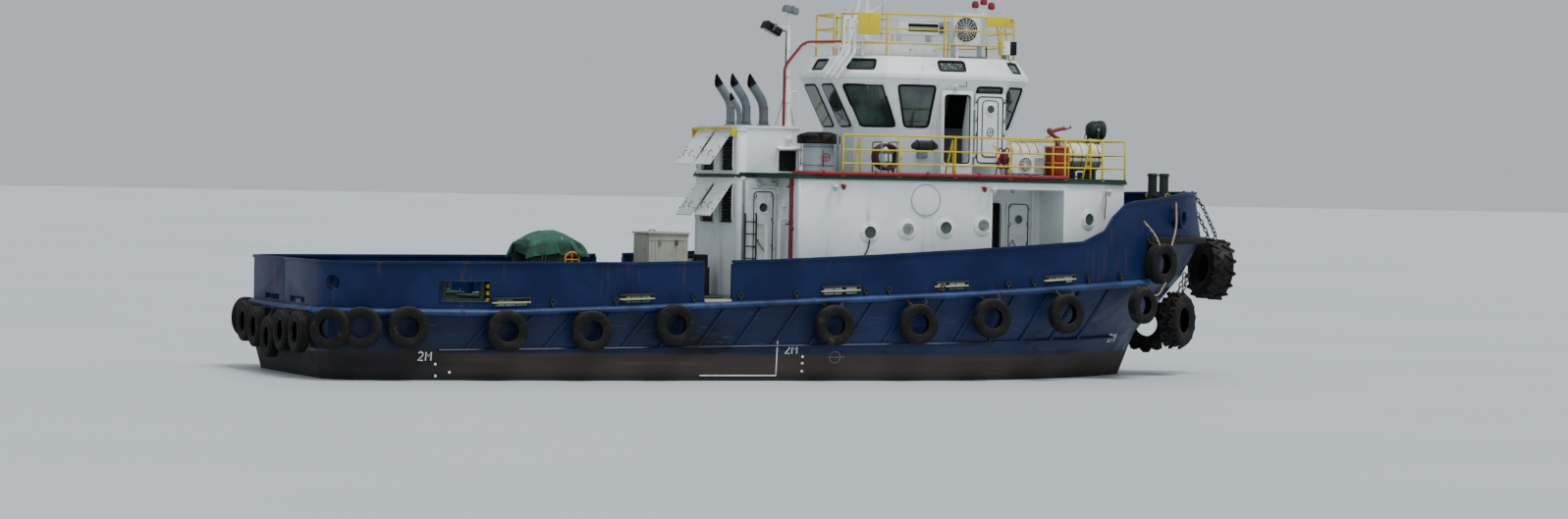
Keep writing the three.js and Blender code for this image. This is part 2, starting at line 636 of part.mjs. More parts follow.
// Superstructure outlines and their walls

// A closed plan outline from its starboard half, given aft to forward with y positive outward.
function both(half) {
  return [...half.map(([x, y]) => [x, -y]), ...half.map(([x, y]) => [x, y]).reverse()];
}

// The same outline moved inward by a distance.
function inset(outline, distance) {
  const count = outline.length;
  const edge = (a, b) => {
    const [dx, dy] = [b[0] - a[0], b[1] - a[1]];
    const length = Math.hypot(dx, dy);
    return { a, dx: dx / length, dy: dy / length };
  };
  return outline.map((point, i) => {
    const before = edge(outline[(i + count - 1) % count], point);
    const after = edge(point, outline[(i + 1) % count]);
    const cross = before.dx * after.dy - before.dy * after.dx;
    const share = (distance * (1 - before.dx * after.dx - before.dy * after.dy)) / cross;
    return [
      point[0] - distance * before.dy - share * before.dx,
      point[1] + distance * before.dx - share * before.dy,
    ];
  });
}

// What lies under the deck, lifted by the running gap, to seat pieces on the sheer of the deck.
function underDeck() {
  return skin([ringAt(DECK_PLANE, -500), ringAt(DECK_PLANE, (x) => deckZ(x) + GAP)]);
}

// The height of the deck's flats, which run straight between the hull's stations.
function deckAt(x) {
  return along(DECK_PLANE.map(([px]) => [px, deckZ(px)]), x);
}

function deckhouseBody() {
  const outline = both(HOUSE_PLAN);
  const top = UPPER_DECK_Z - DECK_PLATE - GAP;
  const foot = 1500;
  const walls = cut(prism(outline, foot, top), prism(inset(outline, WALL), foot - 10, top + 10));
  const { from, to, back, top: ceiling, depth } = ALCOVE;
  const lining = box([from - WALL, to + WALL], [-depth + 10, -back + WALL], [foot, ceiling + WALL]);
  const recess = box([from, to], [-depth - 100, -back], [foot - 10, ceiling]);
  const doorways = [HOUSE_DOOR, HOUSE_DOORWAY].map(({ from: x0, to: x1 }) => {
    return box([x0, x1], [-back - 10, -back + WALL + 10], [deckZ(x0) + DOOR_SILL, HOUSE_DOOR.top]);
  });
  const tools = [recess, ...doorways];
  const eyeX = HOUSE_DOOR.to + 40 + EYE.offset;
  const arm = [[eyeX - 8, eyeX + 14], [-back - 26, -back + 10]];
  const eyes = wallEyes(eyeX, -back - 26, [arm], EYE_HEIGHTS.house);
  const body = cut(join(walls, lining, mirrored(lining)), tools, tools.map(mirrored), underDeck());
  return join(body, eyes, eyes.map(mirrored));
}

function casingLower() {
  const outline = both([[CASING.aft, CASING.half - 200], [CASING.aft + 60, CASING.half - 60],
    [CASING.aft + 200, CASING.half], [HOUSE_PLAN[0][0] - GAP, CASING.half]]);
  const top = UPPER_DECK_Z - DECK_PLATE - GAP;
  const walls = cut(prism(outline, 1500, top), prism(inset(outline, WALL), 1490, top + 10));
  const door = box([CASING_DOOR.from, CASING_DOOR.to], [-CASING.half - 10, -CASING.half + WALL + 10],
    [deckZ(CASING_DOOR.from) + DOOR_SILL, CASING_DOOR.top]);
  const eyeX = CASING_DOOR.from - 40 - EYE.offset;
  const arm = [[eyeX - 14, eyeX + 8], [-CASING.half - 26, -CASING.half + 10]];
  const eyes = wallEyes(eyeX, -CASING.half - 26, [arm], EYE_HEIGHTS.casing);
  return join(cut(walls, door, casingOpenings(CASING.lower), underDeck()), eyes, flapLugs(FLAPS.lower));
}

function casingUpper() {
  const outline = both([[CASING.aft, CASING.half - 200], [CASING.aft + 60, CASING.half - 60],
    [CASING.aft + 200, CASING.half], [CASING.fore, CASING.half]]);
  const [z0, z1] = [UPPER_DECK_Z + GAP, CASING.top];
  const walls = cut(prism(outline, z0, z1), prism(inset(outline, WALL), z0 - 10, z1 + 10));
  const vent = box([-130, 330], [-CASING.half - 10, -CASING.half + WALL + 10], [4700, 5210]);
  return join(cut(walls, vent, mirrored(vent), casingOpenings(CASING.upper)), flapLugs(FLAPS.upper));
}

// The two openings of one level in the casing's aft wall.
function casingOpenings({ foot, top }) {
  const hole = box([CASING.aft - 10, CASING.aft + WALL + 10], [-CASING.hole.outer, -CASING.hole.inner],
    [foot, top]);
  return [hole, mirrored(hole)];
}

// The lugs on the casing's aft wall between which the pins of a pair of flaps turn.
function flapLugs({ hinge }) {
  const lug = ([y0, y1]) => box([CASING.aft - FLAP.stand - 40, CASING.aft + 10], [y0, y1],
    [hinge - 22, hinge + 22]);
  const reach = FLAP.outer + 20;
  const [inner, outer] = [FLAP.inner - 20, lug([-reach - 25, -reach - GAP])];
  return [lug([-inner + GAP, inner - GAP]), outer, mirrored(outer)];
}

// One casing flap on the starboard side, hung at its top edge and propped open.
function casingFlap({ hinge, length }) {
  const open = THREE.MathUtils.degToRad(FLAP.angle);
  const closed = new THREE.BoxGeometry(FLAP.thick, FLAP.outer - FLAP.inner, length);
  closed.translate(-FLAP.thick / 2, 0, -length / 2).rotateY(open);
  closed.translate(CASING.aft - FLAP.stand, -(FLAP.outer + FLAP.inner) / 2, hinge);
  const pinX = CASING.aft - FLAP.stand - 10;
  const pin = rod([pinX, -FLAP.outer - 20, hinge], [pinX, -FLAP.inner + 20, hinge], 12, 6);
  return join(solid(closed), pin);
}

// The casing's roof plate with the four exhausts: x, y, radius, bend height, mouth height
const EXHAUSTS = [
  [-760, -480, 62, 6120, 6480],
  [-560, -420, 100, 6300, 6900],
  [-620, 420, 100, 6300, 6900],
  [-80, -300, 108, 6300, 6900],
];

function exhaustStacks() {
  const roof = prism(both([[CASING.aft - 30, CASING.half - 190], [CASING.aft + 50, CASING.half - 40],
    [CASING.aft + 190, CASING.half + 30], [CASING.fore + 20, CASING.half + 30]]), CASING.top + GAP,
      CASING.top + 60);
  const stacks = EXHAUSTS.map(([x, y, radius, bend, mouth]) => join(
    rod([x, y, CASING.top + 30], [x, y, bend], radius, 10),
    rod([x, y, CASING.top + 40], [x, y, CASING.top + 110], radius + 45, 10),
    exhaustHead(x, y, radius, bend, mouth)
  ));
  return join(roof, stacks);
}

// The bent head of an exhaust, its mouth cut to a long slant that looks aft and up.
function exhaustHead(x, y, radius, bend, mouth) {
  const lean = (mouth - bend) * 0.72;
  const head = join(
    solid(new THREE.SphereGeometry(radius, 10, 6).translate(x, y, bend)),
    rod([x, y, bend], [x - lean, y, mouth], radius, 10)
  );
  const slant = sidePrism([
    [x - lean * 0.35 - radius * 1.5, bend - radius], [x - lean - radius * 0.4, mouth + radius * 0.2],
    [x - lean + 900, mouth + radius * 0.2], [x - lean + 900, mouth + 900], [x - lean - 1500, mouth + 900],
      [x - lean - 1500, bend - radius],
  ], y - 400, y + 400);
  return cut(head, slant);
}

// Wheelhouse: an octagon whose walls lean outward from the sill to the eaves

function wheelhouseBody() {
  const foot = UPPER_DECK_Z + GAP;
  const { sill, eaves } = WHEELHOUSE;
  const rings = (thick) => [
    inset(both(WHEELHOUSE.sillPlan), thick).map(([x, y]) => [x, y, foot - (thick ? 10 : 0)]),
    inset(both(WHEELHOUSE.sillPlan), thick).map(([x, y]) => [x, y, sill]),
    inset(both(WHEELHOUSE.eavesPlan), thick).map(([x, y]) => [x, y, eaves + (thick ? 10 : 0)]),
  ];
  const shell = cut(skin(rings(0)), skin(rings(WALL)));
  const { from, to, foot: doorFoot, top: doorTop, face } = WHEELHOUSE_DOOR;
  const frame = box([from - 70, to + 70], [-face, -face + 420], [foot, doorTop + 90]);
  const keep = skin(rings(WALL));
  const surround = cut(frame, keep);
  const door = box([from, to], [-face - 50, -face + 700], [doorFoot, doorTop]);
  const openings = [...wheelhouseWindows(), door, mirrored(door)];
  const { hinge } = WHEELHOUSE_DOOR;
  const arms = [[[hinge - 6, hinge + 6], [-face - 28, -face + 12]],
    [[to + 40, hinge + 6], [-face - 2, -face + 12]]];
  const eyes = wallEyes(hinge, -face - 28, arms, EYE_HEIGHTS.wheelhouse);
  return join(cut(join(shell, surround, mirrored(surround)), openings), eyes, eyes.map(mirrored));
}

// Window holes of the wheelhouse: each cut along its wall's normal through the corners of the pane.
function wheelhouseWindows() {
  const { sill, eaves, sillPlan, eavesPlan } = WHEELHOUSE;
  const holes = [];
  for (const { wall, from, to, fromLow, toLow } of WHEELHOUSE_WINDOWS) {
    const low = [sillPlan[wall], sillPlan[wall + 1] ?? [sillPlan[wall][0], -sillPlan[wall][1]]];
    const high = [eavesPlan[wall], eavesPlan[wall + 1] ?? [eavesPlan[wall][0], -eavesPlan[wall][1]]];
    const place = (share, height) => {
      const at = (pair) => pair[0].map((value, k) => value + (pair[1][k] - value) * share);
      const [a, b] = [at(low), at(high)];
      return new THREE.Vector3(a[0] + (b[0] - a[0]) * height, -(a[1] + (b[1] - a[1]) * height),
        sill + (eaves - sill) * height);
    };
    const corners = [place(fromLow, PANE.low), place(toLow, PANE.low), place(to, PANE.high),
      place(from, PANE.high)];
    const normal = corners[1].clone().sub(corners[0]).cross(corners[3].clone().sub(corners[0])).normalize();
    const ring = (shift) => corners.map((corner) => corner.clone().addScaledVector(normal, shift).toArray());
    const hole = skin([ring(-180), ring(180)], "fan");
    holes.push(hole, mirrored(hole));
  }
  for (const y of AFT_PANES) {
    const { sillPlan: low, eavesPlan: high } = WHEELHOUSE;
    for (const end of [0, low.length - 1]) {
      const x = (height) => low[end][0] + (high[end][0] - low[end][0]) * height;
      const z = (height) => sill + (eaves - sill) * height;
      const out = end === 0 ? -1 : 1;
      const ring = (shift) => [[y - PANE.half, PANE.low], [y + PANE.half, PANE.low],
        [y + PANE.half, PANE.high], [y - PANE.half, PANE.high]]
        .map(([py, height]) => [x(height) + out * shift, py, z(height)]);
      holes.push(skin([ring(-180), ring(180)], "fan"));
    }
  }
  return holes;
}

// The roof over the wheelhouse: a hollow cap with a sloping band of small upper windows.
function wheelhouseRoof() {
  const { eaves, eavesPlan, roofTop, roofInset } = WHEELHOUSE;
  const plan = both(eavesPlan);
  const ring = (outline, z) => outline.map(([x, y]) => [x, y, z]);
  const outer = skin([
    ring(inset(plan, -30), eaves + GAP), ring(inset(plan, -30), eaves + 110),
      ring(inset(plan, roofInset), roofTop),
  ]);
  const inner = skin([
    ring(inset(plan, WALL), eaves - 10), ring(inset(plan, WALL), eaves + 60),
      ring(inset(plan, roofInset + WALL), roofTop - 70),
  ]);
  const holes = FASCIA_PANES.flatMap(({ at: [x, y], outward: [nx, ny], half }) => {
    const hole = new THREE.BoxGeometry(half * 2, 400, 250);
    hole.rotateZ(Math.atan2(nx, -ny)).translate(x, y, (eaves + 110 + roofTop) / 2);
    const tool = solid(hole);
    return Math.abs(y) < 1 ? [tool] : [tool, mirrored(tool)];
  });
  return cut(outer, inner, ...holes);
}

// A weather-tight door leaf with a round port, hinge eyes on its edge
function doorLeaf(width, height, thick, port) {
  const leaf = box([0, width], [-thick, 0], [0, height]);
  const light = rod([width / 2, -thick - 10, height - port.drop], [width / 2, 10, height - port.drop],
    port.radius, 10);
  return cut(leaf, light);
}

// Eyes on a leaf's hinge edge, on the upright axis at x, y, reaching to the leaf at edge.
function leafEyes(x, y, edge, heights) {
  return heights.map((z) => join(
    rod([x, y, z], [x, y, z + EYE.height], EYE.radius, 6),
    box([Math.min(x, edge), Math.max(x, edge)], [y - 8, y + 8], [z, z + EYE.height])
  ));
}

// The fixed eyes just under the leaf's, each with arms, given as plan boxes, that reach into the wall.
function wallEyes(x, y, arms, heights) {
  return heights.map((z) => join(
    rod([x, y, z - EYE.height - GAP], [x, y, z - GAP], EYE.radius, 6),
    arms.map(([xRange, yRange]) => box(xRange, yRange, [z - EYE.height - GAP, z - GAP]))
  ));
}

// Rails

// A guard rail along a line of [x, y] points at a foot height: three rails and a post at each share of a run.
function railing(points, foot, { height, rails, spacing, size }) {
  const parts = [];
  points.slice(1).forEach(([x1, y1], index) => {
    const [x0, y0] = points[index];
    const length = Math.hypot(x1 - x0, y1 - y0);
    const posts = Math.max(1, Math.round(length / spacing));
    for (let k = index === 0 ? 0 : 1; k <= posts; k += 1) {
      const [x, y] = [x0 + ((x1 - x0) * k) / posts, y0 + ((y1 - y0) * k) / posts];
      parts.push(box([x - size / 2, x + size / 2], [y - size / 2, y + size / 2],
        [foot, foot + height - size / 4]));
    }
    for (const share of rails) {
      const z = foot + height * share - size / 2;
      parts.push(bar([x0, y0, z], [x1, y1, z], size * 0.9, size * 0.9));
    }
  });
  return join(parts);
}

// Stern gear: propellers and rudders

function propeller(y) {
  const hub = new THREE.LatheGeometry(
    PROPELLER.hub.map(([r, z]) => new THREE.Vector2(r, z)), 12
  ).rotateX(Math.PI / 2).rotateY(-Math.PI / 2);
  const blades = [];
  for (let index = 0; index < PROPELLER.blades; index += 1) {
    const shape = new THREE.Shape(PROPELLER.blade.map(([u, v]) => new THREE.Vector2(u, v)));
    const blade = new THREE.ExtrudeGeometry(shape, { depth: 34, bevelEnabled: false }).translate(0, 0, -17);
    blade.rotateY(THREE.MathUtils.degToRad(90 - PROPELLER.pitch))
      .rotateX((2 * Math.PI * index) / PROPELLER.blades + Math.PI / 4);
    blades.push(solid(blade.translate(-250, 0, 0)));
  }
  return join(solid(hub), blades).translate([SHAFT_END_X - GAP, y, SHAFT_Z]);
}

function rudder(y) {
  const blade = RUDDER.section.map(([x, across]) => [RUDDER_X + x, y + across]);
  return join(
    prism(blade, RUDDER.foot, RUDDER_TOP_Z - 60),
    rod([RUDDER_X, y, -800], [RUDDER_X, y, RUDDER_TOP_Z - GAP], RUDDER.stock, 12)
  );
}

// Deck gear

// Towing winch on the after deck: cheeks and bed in one frame, drum between them, canvas cover over the top.
function winchFrame() {
  const { x, half, length, top, axis, cheek, rail, bearing, motor } = WINCH;
  const plate = (y) => box([x - length / 2, x + length / 2], [y - cheek, y + cheek], [UNDER_DECK_Z, top]);
  const bed = box([x - length / 2, x + length / 2], [-half - cheek, half + cheek],
    [UNDER_DECK_Z, deckAt(x) + WINCH.bed]);
  const beam = (at) => box([at - rail.half, at + rail.half], [-half, half], [top - rail.depth, top]);
  const stub = rod([x, -half, axis], [x, -half + bearing.depth, axis], bearing.radius, 12);
  const gearbox = box([x - motor.aft, x + motor.fore], [half + cheek - 1, half + motor.out],
    [UNDER_DECK_Z, axis + motor.above]);
  return cut(join(plate(-half), plate(half), bed, beam(x - length / 2 + rail.inset),
    beam(x + length / 2 - rail.inset), stub, mirrored(stub), gearbox), underDeck());
}

function winchDrum() {
  const { x, axis, flange } = WINCH;
  const inner = WINCH.half - WINCH.bearing.depth - GAP;
  const plate = (y) => rod([x, y - flange.half, axis], [x, y + flange.half, axis], WINCH.drum, 16);
  return join(
    rod([x, -inner, axis], [x, inner, axis], WINCH.shaft, 12),
    rod([x, -inner + flange.inset, axis], [x, inner - flange.inset, axis], WINCH.barrel, 16),
    plate(-inner + flange.inset), plate(inner - flange.inset)
  );
}

// The canvas cover as one crowned solid on the winch's top rails.
function winchCover() {
  const { x, half, length, top } = WINCH;
  const { beyond, corners, squareness, rings } = WINCH.cover;
  const bulge = (value) => Math.sign(value) * Math.abs(value) ** squareness;
  const ring = ([inward, above]) => Array.from({ length: corners }, (unused, k) => {
    const angle = (2 * Math.PI * (k + 0.5)) / corners;
    return [x + (length / 2 + beyond[0] - inward) * bulge(Math.cos(angle)),
      (half + beyond[1] - inward) * bulge(Math.sin(angle)), top + above];
  });
  return skin(rings.map(ring), "fan");
}

// Bitts: two posts across the ship with a bar through them
function bitts({ x, top, halfGap, radius }, foot) {
  const post = rod([x, -halfGap, foot + GAP], [x, -halfGap, top], radius, 10);
  const reach = halfGap + radius + BITT_BAR.beyond;
  const z = foot + (top - foot) * BITT_BAR.at;
  return join(post, mirrored(post), rod([x, -reach, z], [x, reach, z], radius * BITT_BAR.radius, 8));
}

// Towing hook on its pedestal; the hook swings about the pedestal's upright pin
function hookPedestal() {
  const { x, z, jaw, base, back, pin } = HOOK;
  const block = box([x - 60, x + back.to], [-base, base], [UNDER_DECK_Z, z - 130]);
  const plate = (low) => box([x - jaw, x + jaw + 10], [-jaw, jaw], [low, low + 50]);
  const post = box([x + back.from, x + back.to], [-back.half, back.half], [z - 140, z + 160]);
  const bolt = rod([x, 0, z - 130], [x, 0, z + 140], pin, 12);
  return cut(join(block, plate(z - 150), plate(z + 110), post, bolt), underDeck());
}

function towHook() {
  const { x, z, pin, arm, bill } = HOOK;
  const eye = rod([x, 0, z - 100 + GAP], [x, 0, z + 65], pin + 60, 12);
  const shank = box([x - 560, x - 60], [-arm, arm], [z - 60, z + 60]);
  const hooked = join(
    box([x + bill.from, x - 540], [-arm, arm], [z - 60, z + bill.top]),
    box([x - 560, x + bill.tip], [-arm, arm], [z + 110, z + bill.top])
  );
  return cut(join(eye, shank, hooked), rod([x, 0, z - 200], [x, 0, z + 200], pin + 6, 12));
}

// A steel locker with a lid hinged along its forward edge
function lockerBody() {
  const { x, y, z } = LOCKER;
  const inner = box([x[0] + 60, x[1] - 60], [y[0] + 60, y[1] - 60], [deckAt(x[1]) + 120, z + 10]);
  const arm = ([y0, y1]) => join(
    box([x[1] - 10, x[1] + 76], [y0, y1], [z - 60, z - 8]),
    box([x[1] + 52, x[1] + 76], [y0, y1], [z - 10, z + 38])
  );
  const arms = LOCKER.arms.map((at) => arm([at, at + 60 - GAP]));
  return join(cut(box(x, y, [UNDER_DECK_Z, z]), inner, underDeck()), arms);
}

function lockerLid() {
  const { x, y, z } = LOCKER;
  const plate = box([x[0] - 40, x[1] + 40], [y[0] - 40, y[1] + 40], [z + 6, z + 46]);
  const rim = box([x[0] + 70, x[1] - 70], [y[0] + 70, y[1] - 70], [z - 20, z + 7]);
  const eyes = LOCKER.arms.map((at) => join(
    rod([x[1] + 60, at + 60, z + 26], [x[1] + 60, at + 120, z + 26], 16, 6),
    box([x[1] + 39, x[1] + 60], [at + 60, at + 120], [z + 18, z + 34])
  ));
  return join(plate, rim, eyes);
}

// The roller fairlead in the bulwark's long opening: a frame on the deck with upright rollers at its ends.
function fairleadFrame() {
  const { x, y, top } = FAIRLEAD;
  const foot = deckZ(STERN_X) + GAP;
  const frame = cut(box(x, y, [foot, top]), box([x[0] + 110, x[1] - 110], [y[0] - 10, y[1] + 10],
    [foot + 130, top - 90]));
  const middle = (y[0] + y[1]) / 2;
  const roller = (at) => rod([at, middle, foot + 100], [at, middle, top - 60], 70, 10);
  const flat = rod([x[0] + 90, middle, foot + 150], [x[1] - 90, middle, foot + 150], 60, 10);
  return join(frame, roller(x[0] + 190), roller(x[1] - 190), flat);
}

// Anchor windlass on the foredeck: cheeks with a drum between them
function windlassFrame() {
  const { x, half, axis, long, head, cheek, bed, bearing } = WINDLASS;
  const foot = FORECASTLE_Z + GAP;
  const outline = [[x - long, foot], [x + long, foot], [x + head, axis + 160], [x - head, axis + 160]];
  const plate = sidePrism(outline, -half - cheek, -half);
  const base = box([x - long, x + long], [-half - 20, half + 20], [foot, foot + bed]);
  const stub = rod([x, -half - 20, axis], [x, -half + bearing, axis], 90, 10);
  return join(plate, mirrored(plate), base, stub, mirrored(stub));
}

function windlassDrum() {
  const { x, half, axis, bearing, barrel, flange } = WINDLASS;
  const inner = half - bearing - GAP;
  const plate = rod([x, -inner, axis], [x, -inner + flange.thick, axis], flange.radius, 14);
  return join(rod([x, -inner, axis], [x, inner, axis], barrel, 14), plate, mirrored(plate));
}

// What stands on the upper deck

function ventilator() {
  const { x, y, drums } = VENT;
  return join(drums.map(([radius, foot, head, headRadius]) => {
    return rod([x, y, foot], [x, y, head], radius, 14, headRadius);
  }));
}

// An outdoor cooling unit on two feet, its fan recess toward the side.
function coolingUnit([x0, x1], [y0, y1], [foot, low, top], fan) {
  const feet = [x0 + 90, x1 - 90].map((x) => box([x - 25, x + 25], [y0, y1], [foot + GAP, low + 10]));
  const ring = rod([fan, y0 - 10, (low + top) / 2], [fan, y0 + 60, (low + top) / 2], (top - low) * 0.4, 12);
  return cut(join(box([x0, x1], [y0, y1], [low, top]), feet), ring);
}

function liferaft() {
  const { x, y, axis, radius } = LIFERAFT;
  const barrel = join(
    rod([x[0] + 60, y, axis], [x[1] - 60, y, axis], radius, 14),
    rod([x[0] + 60, y, axis], [x[0], y, axis], radius, 14, radius - 90),
    rod([x[1] - 60, y, axis], [x[1], y, axis], radius, 14, radius - 90)
  );
  const saddles = [x[0] + 220, x[1] - 220].map((at) => {
    return box([at - 30, at + 30], [y - 260, y + 260], [UPPER_DECK_Z + GAP, axis - radius * 0.5]);
  });
  return join(barrel, saddles);
}

// The fire monitor on its locker.
function fireMonitor() {
  const { x, y } = MONITOR;
  return join(
    box(x, [y - 220, y + 220], [UPPER_DECK_Z + GAP, 5440]),
    rod([x[0] + 230, y, 5400], [x[0] + 230, y, 5680], 60, 10),
    pipe([[x[0] + 230, y, 5650], [x[0] + 30, y, 5760], [x[0] + 560, y, 5900]], 55)
  );
}

function searchlight() {
  const { x, y, z } = SEARCHLIGHT;
  return join(
    rod([x, y, UPPER_DECK_Z + GAP], [x, y, z - 230], 45, 8),
    box([x - 60, x + 60], [y - 290, y + 290], [z - 260, z - 200]),
    box([x - 40, x + 40], [y - 290, y - 250], [z - 240, z + 30]),
    box([x - 40, x + 40], [y + 250, y + 290], [z - 240, z + 30]),
    rod([x, y - 280, z], [x, y + 280, z], 25, 8),
    rod([x - 170, y, z], [x + 250, y, z], 230, 14),
    rod([x - 250, y, z], [x - 160, y, z], 120, 14, 228)
  );
}

// The lamp pole on the casing with its floodlight on an arm.
function lampPole() {
  const { x, y, top, lamp } = LAMP_POLE;
  return join(
    rod([x, y, CASING.top + 60 + GAP], [x, y, top], 60, 10, 35),
    rod([x, y, CASING.top + 60 + GAP], [x, y, CASING.top + 90], 130, 10),
    bar([x, y, lamp], [x - 200, y, lamp], 50, 50),
    box([x - 560, x - 170], [y - 130, y + 130], [lamp - 160, lamp + 170])
  );
}

// What stands on the wheelhouse top

function roofLocker() {
  const foot = WHEELHOUSE.roofTop + GAP;
  const legs = [3150, 3900].map((x) => box([x - 25, x + 25], [-900, -560], [7780, 8000]));
  return join(box([2120, 4010], [-1000, -450], [foot, 7790]), legs,
    box([3000, 4240], [-1000, -450], [7980, 8330]));
}

function mast() {
  const { x, top, yard, table } = MAST;
  const foot = WHEELHOUSE.roofTop + GAP;
  const strut = bar([x - 700, -420, foot + 20], [x - 40, -20, 9400], 70, 70);
  const shoe = box([x - 790, x - 610], [-510, -330], [foot, foot + 40]);
  const lights = [9750, 10250, 10750].map((z) => rod([x + 60, 0, z], [x + 60, 0, z + 150], 80, 8));
  return join(
    rod([x, 0, foot], [x, 0, top], 90, 10, 45),
    rod([x, 0, foot], [x, 0, foot + 40], 190, 10),
    strut, mirrored(strut), shoe, mirrored(shoe),
    bar([x, -yard.half, yard.z], [x, yard.half, yard.z], 60, 60),
    box([x, x + table.reach + 180], [-180, 180], [table.z - 40, table.z]),
    bar([x + 20, 0, table.z - 620], [x + table.reach, 0, table.z - 20], 60, 60),
    rod([x + table.reach, 0, table.z - 10], [x + table.reach, 0, table.z + 230], 120, 10),
    lights
  );
}

function radarScanner() {
  const { x, table } = MAST;
  const z = table.z + 230 + GAP;
  const at = x + table.reach;
  return join(rod([at, 0, z], [at, 0, z + 70], 90, 10),
    box([at - 55, at + 55], [-table.scanner, table.scanner], [z + 60, z + 190]));
}

// Transom strake with its row of tyres: y and height of each centre
const STERN_TYRES = [[2180, 1080], [1250, 990], [150, 800], [-950, 990], [-2150, 1000]];

function sternStrake() {
  const z = deckZ(STERN_X) - STRAKE_DROP;
  const run = box([STERN_X - STRAKE_DEPTH, STERN_X - GAP], [-2450, 2450],
    [z - STRAKE_HALF, z + STRAKE_HALF - 15]);
  const tyres = STERN_TYRES.flatMap(([y, height]) => {
    return hungTyre([STERN_X - STRAKE_DEPTH - TYRE_WIDTH / 2 + 20, y, height], [-1, 0, 0], z);
  });
  return join(run, tyres);
}

// Doors of the house and the casing, shut, standing just proud of their walls
function houseDoor() {
  const foot = deckZ(HOUSE_DOOR.from) + DOOR_SILL - 40;
  const leaf = doorLeaf(HOUSE_DOOR.to - HOUSE_DOOR.from + 80, HOUSE_DOOR.top + 40 - foot, 40,
    { drop: 420, radius: 110 });
  const edge = HOUSE_DOOR.to + 40;
  const eyes = leafEyes(edge + EYE.offset, -ALCOVE.back - 26, edge - 1, EYE_HEIGHTS.house);
  return join(leaf.translate([HOUSE_DOOR.from - 40, -ALCOVE.back - 6, foot]), eyes);
}

function casingDoor() {
  const foot = deckZ(CASING_DOOR.from) + DOOR_SILL - 40;
  const leaf = doorLeaf(CASING_DOOR.to - CASING_DOOR.from + 80, CASING_DOOR.top + 40 - foot, 40,
    { drop: 420, radius: 90 });
  const edge = CASING_DOOR.from - 40;
  const eyes = leafEyes(edge - EYE.offset, -CASING.half - 26, edge + 1, EYE_HEIGHTS.casing);
  return join(leaf.translate([edge, -CASING.half - 6, foot]), eyes);
}

// A wheelhouse door leaf: folded back flat against the wall where it is open.
function wheelhouseDoor(open) {
  const { from, foot, top, face, hinge } = WHEELHOUSE_DOOR;
  const width = hinge - 2 * DOOR_HINGE_GAP - from + 20;
  const leaf = doorLeaf(width, top - foot + 60, 40, { drop: 330, radius: 100 });
  const edge = hinge + (open ? 1 : -1) * DOOR_HINGE_GAP;
  const eyes = leafEyes(hinge, -face - 28, edge, EYE_HEIGHTS.wheelhouse);
  return join(leaf.translate([open ? edge : edge - width, -face - 8, foot - 30]), eyes);
}

// Upper deck plate: the house plan with an edge all round, and its after part round the casing
function upperDeck() {
  const plan = both([[CASING.aft - 40, CASING.half + 40], [-780, CASING.half + 40], [-780, 2100],
    [-210, 2710],
    [6580, 2710], [7790, 2250], [8710, 1630]]);
  return prism(plan, UPPER_DECK_Z - DECK_PLATE, UPPER_DECK_Z);
}

// Colours and finishes: colour, roughness, metalness
const FINISHES = {
  hull: [0x1d2a4a, 0.55, 0.1],
  blue: [0x1c3266, 0.5, 0.1],
  rubber: [0x1b1a19, 0.9, 0],
  white: [0xcfd6da, 0.5, 0.05],
  yellow: [0xb8a920, 0.5, 0.1],
  red: [0x7c1d22, 0.5, 0.1],
  dark: [0x1c2422, 0.6, 0.1],
  steel: [0x6a7076, 0.45, 0.7],
  bronze: [0x8a6a38, 0.4, 0.8],
  green: [0x2f6b54, 0.9, 0],
};

const boat = new THREE.Group();

// Adds one named piece to the boat.
function piece(name, body, finish) {
  const [color, roughness, metalness] = FINISHES[finish];
  const mesh = new THREE.Mesh(geometryOf(body),
    new THREE.MeshStandardMaterial({ color, roughness, metalness }));
  mesh.name = name;
  boat.add(mesh);
}

// Hull and what stands on its sides
piece("hull", hullBody(), "hull");
const bulwark = bulwarkBody();
const afterPart = box([STERN_X - 500, GATE_MIDDLE], [-BEAM - 500, -GAP / 2], [0, 6000]);
const bulwarkAft = bulwark.intersect(afterPart);
piece("bulwark_fore", bulwark.intersect(box([GATE_MIDDLE, STEM_X + 500], [-BEAM - 500, BEAM + 500],
  [0, 6000])), "blue");
piece("bulwark_aft_starboard", bulwarkAft, "blue");
piece("bulwark_aft_port", mirrored(bulwarkAft), "blue");
const upper = upperStrake();
const lower = lowerStrake();
piece("strake_upper_starboard", upper, "rubber");
piece("strake_upper_port", mirrored(upper), "rubber");
piece("strake_lower_starboard", lower, "blue");
piece("strake_lower_port", mirrored(lower), "blue");
piece("strake_stern", sternStrake(), "rubber");
piece("bow_fender", bowFender(), "rubber");
piece("bow_tyre_stem", stemTyre(), "rubber");
piece("bow_tyre_low_starboard", lowBowTyre(1330), "rubber");
piece("bow_tyre_low_port", mirrored(lowBowTyre(1180)), "rubber");
for (const [name, side] of SIDES) {
  piece(`propeller_${name}`, propeller(side * SHAFT_Y), "bronze");
  piece(`rudder_${name}`, rudder(side * SHAFT_Y), "hull");
}

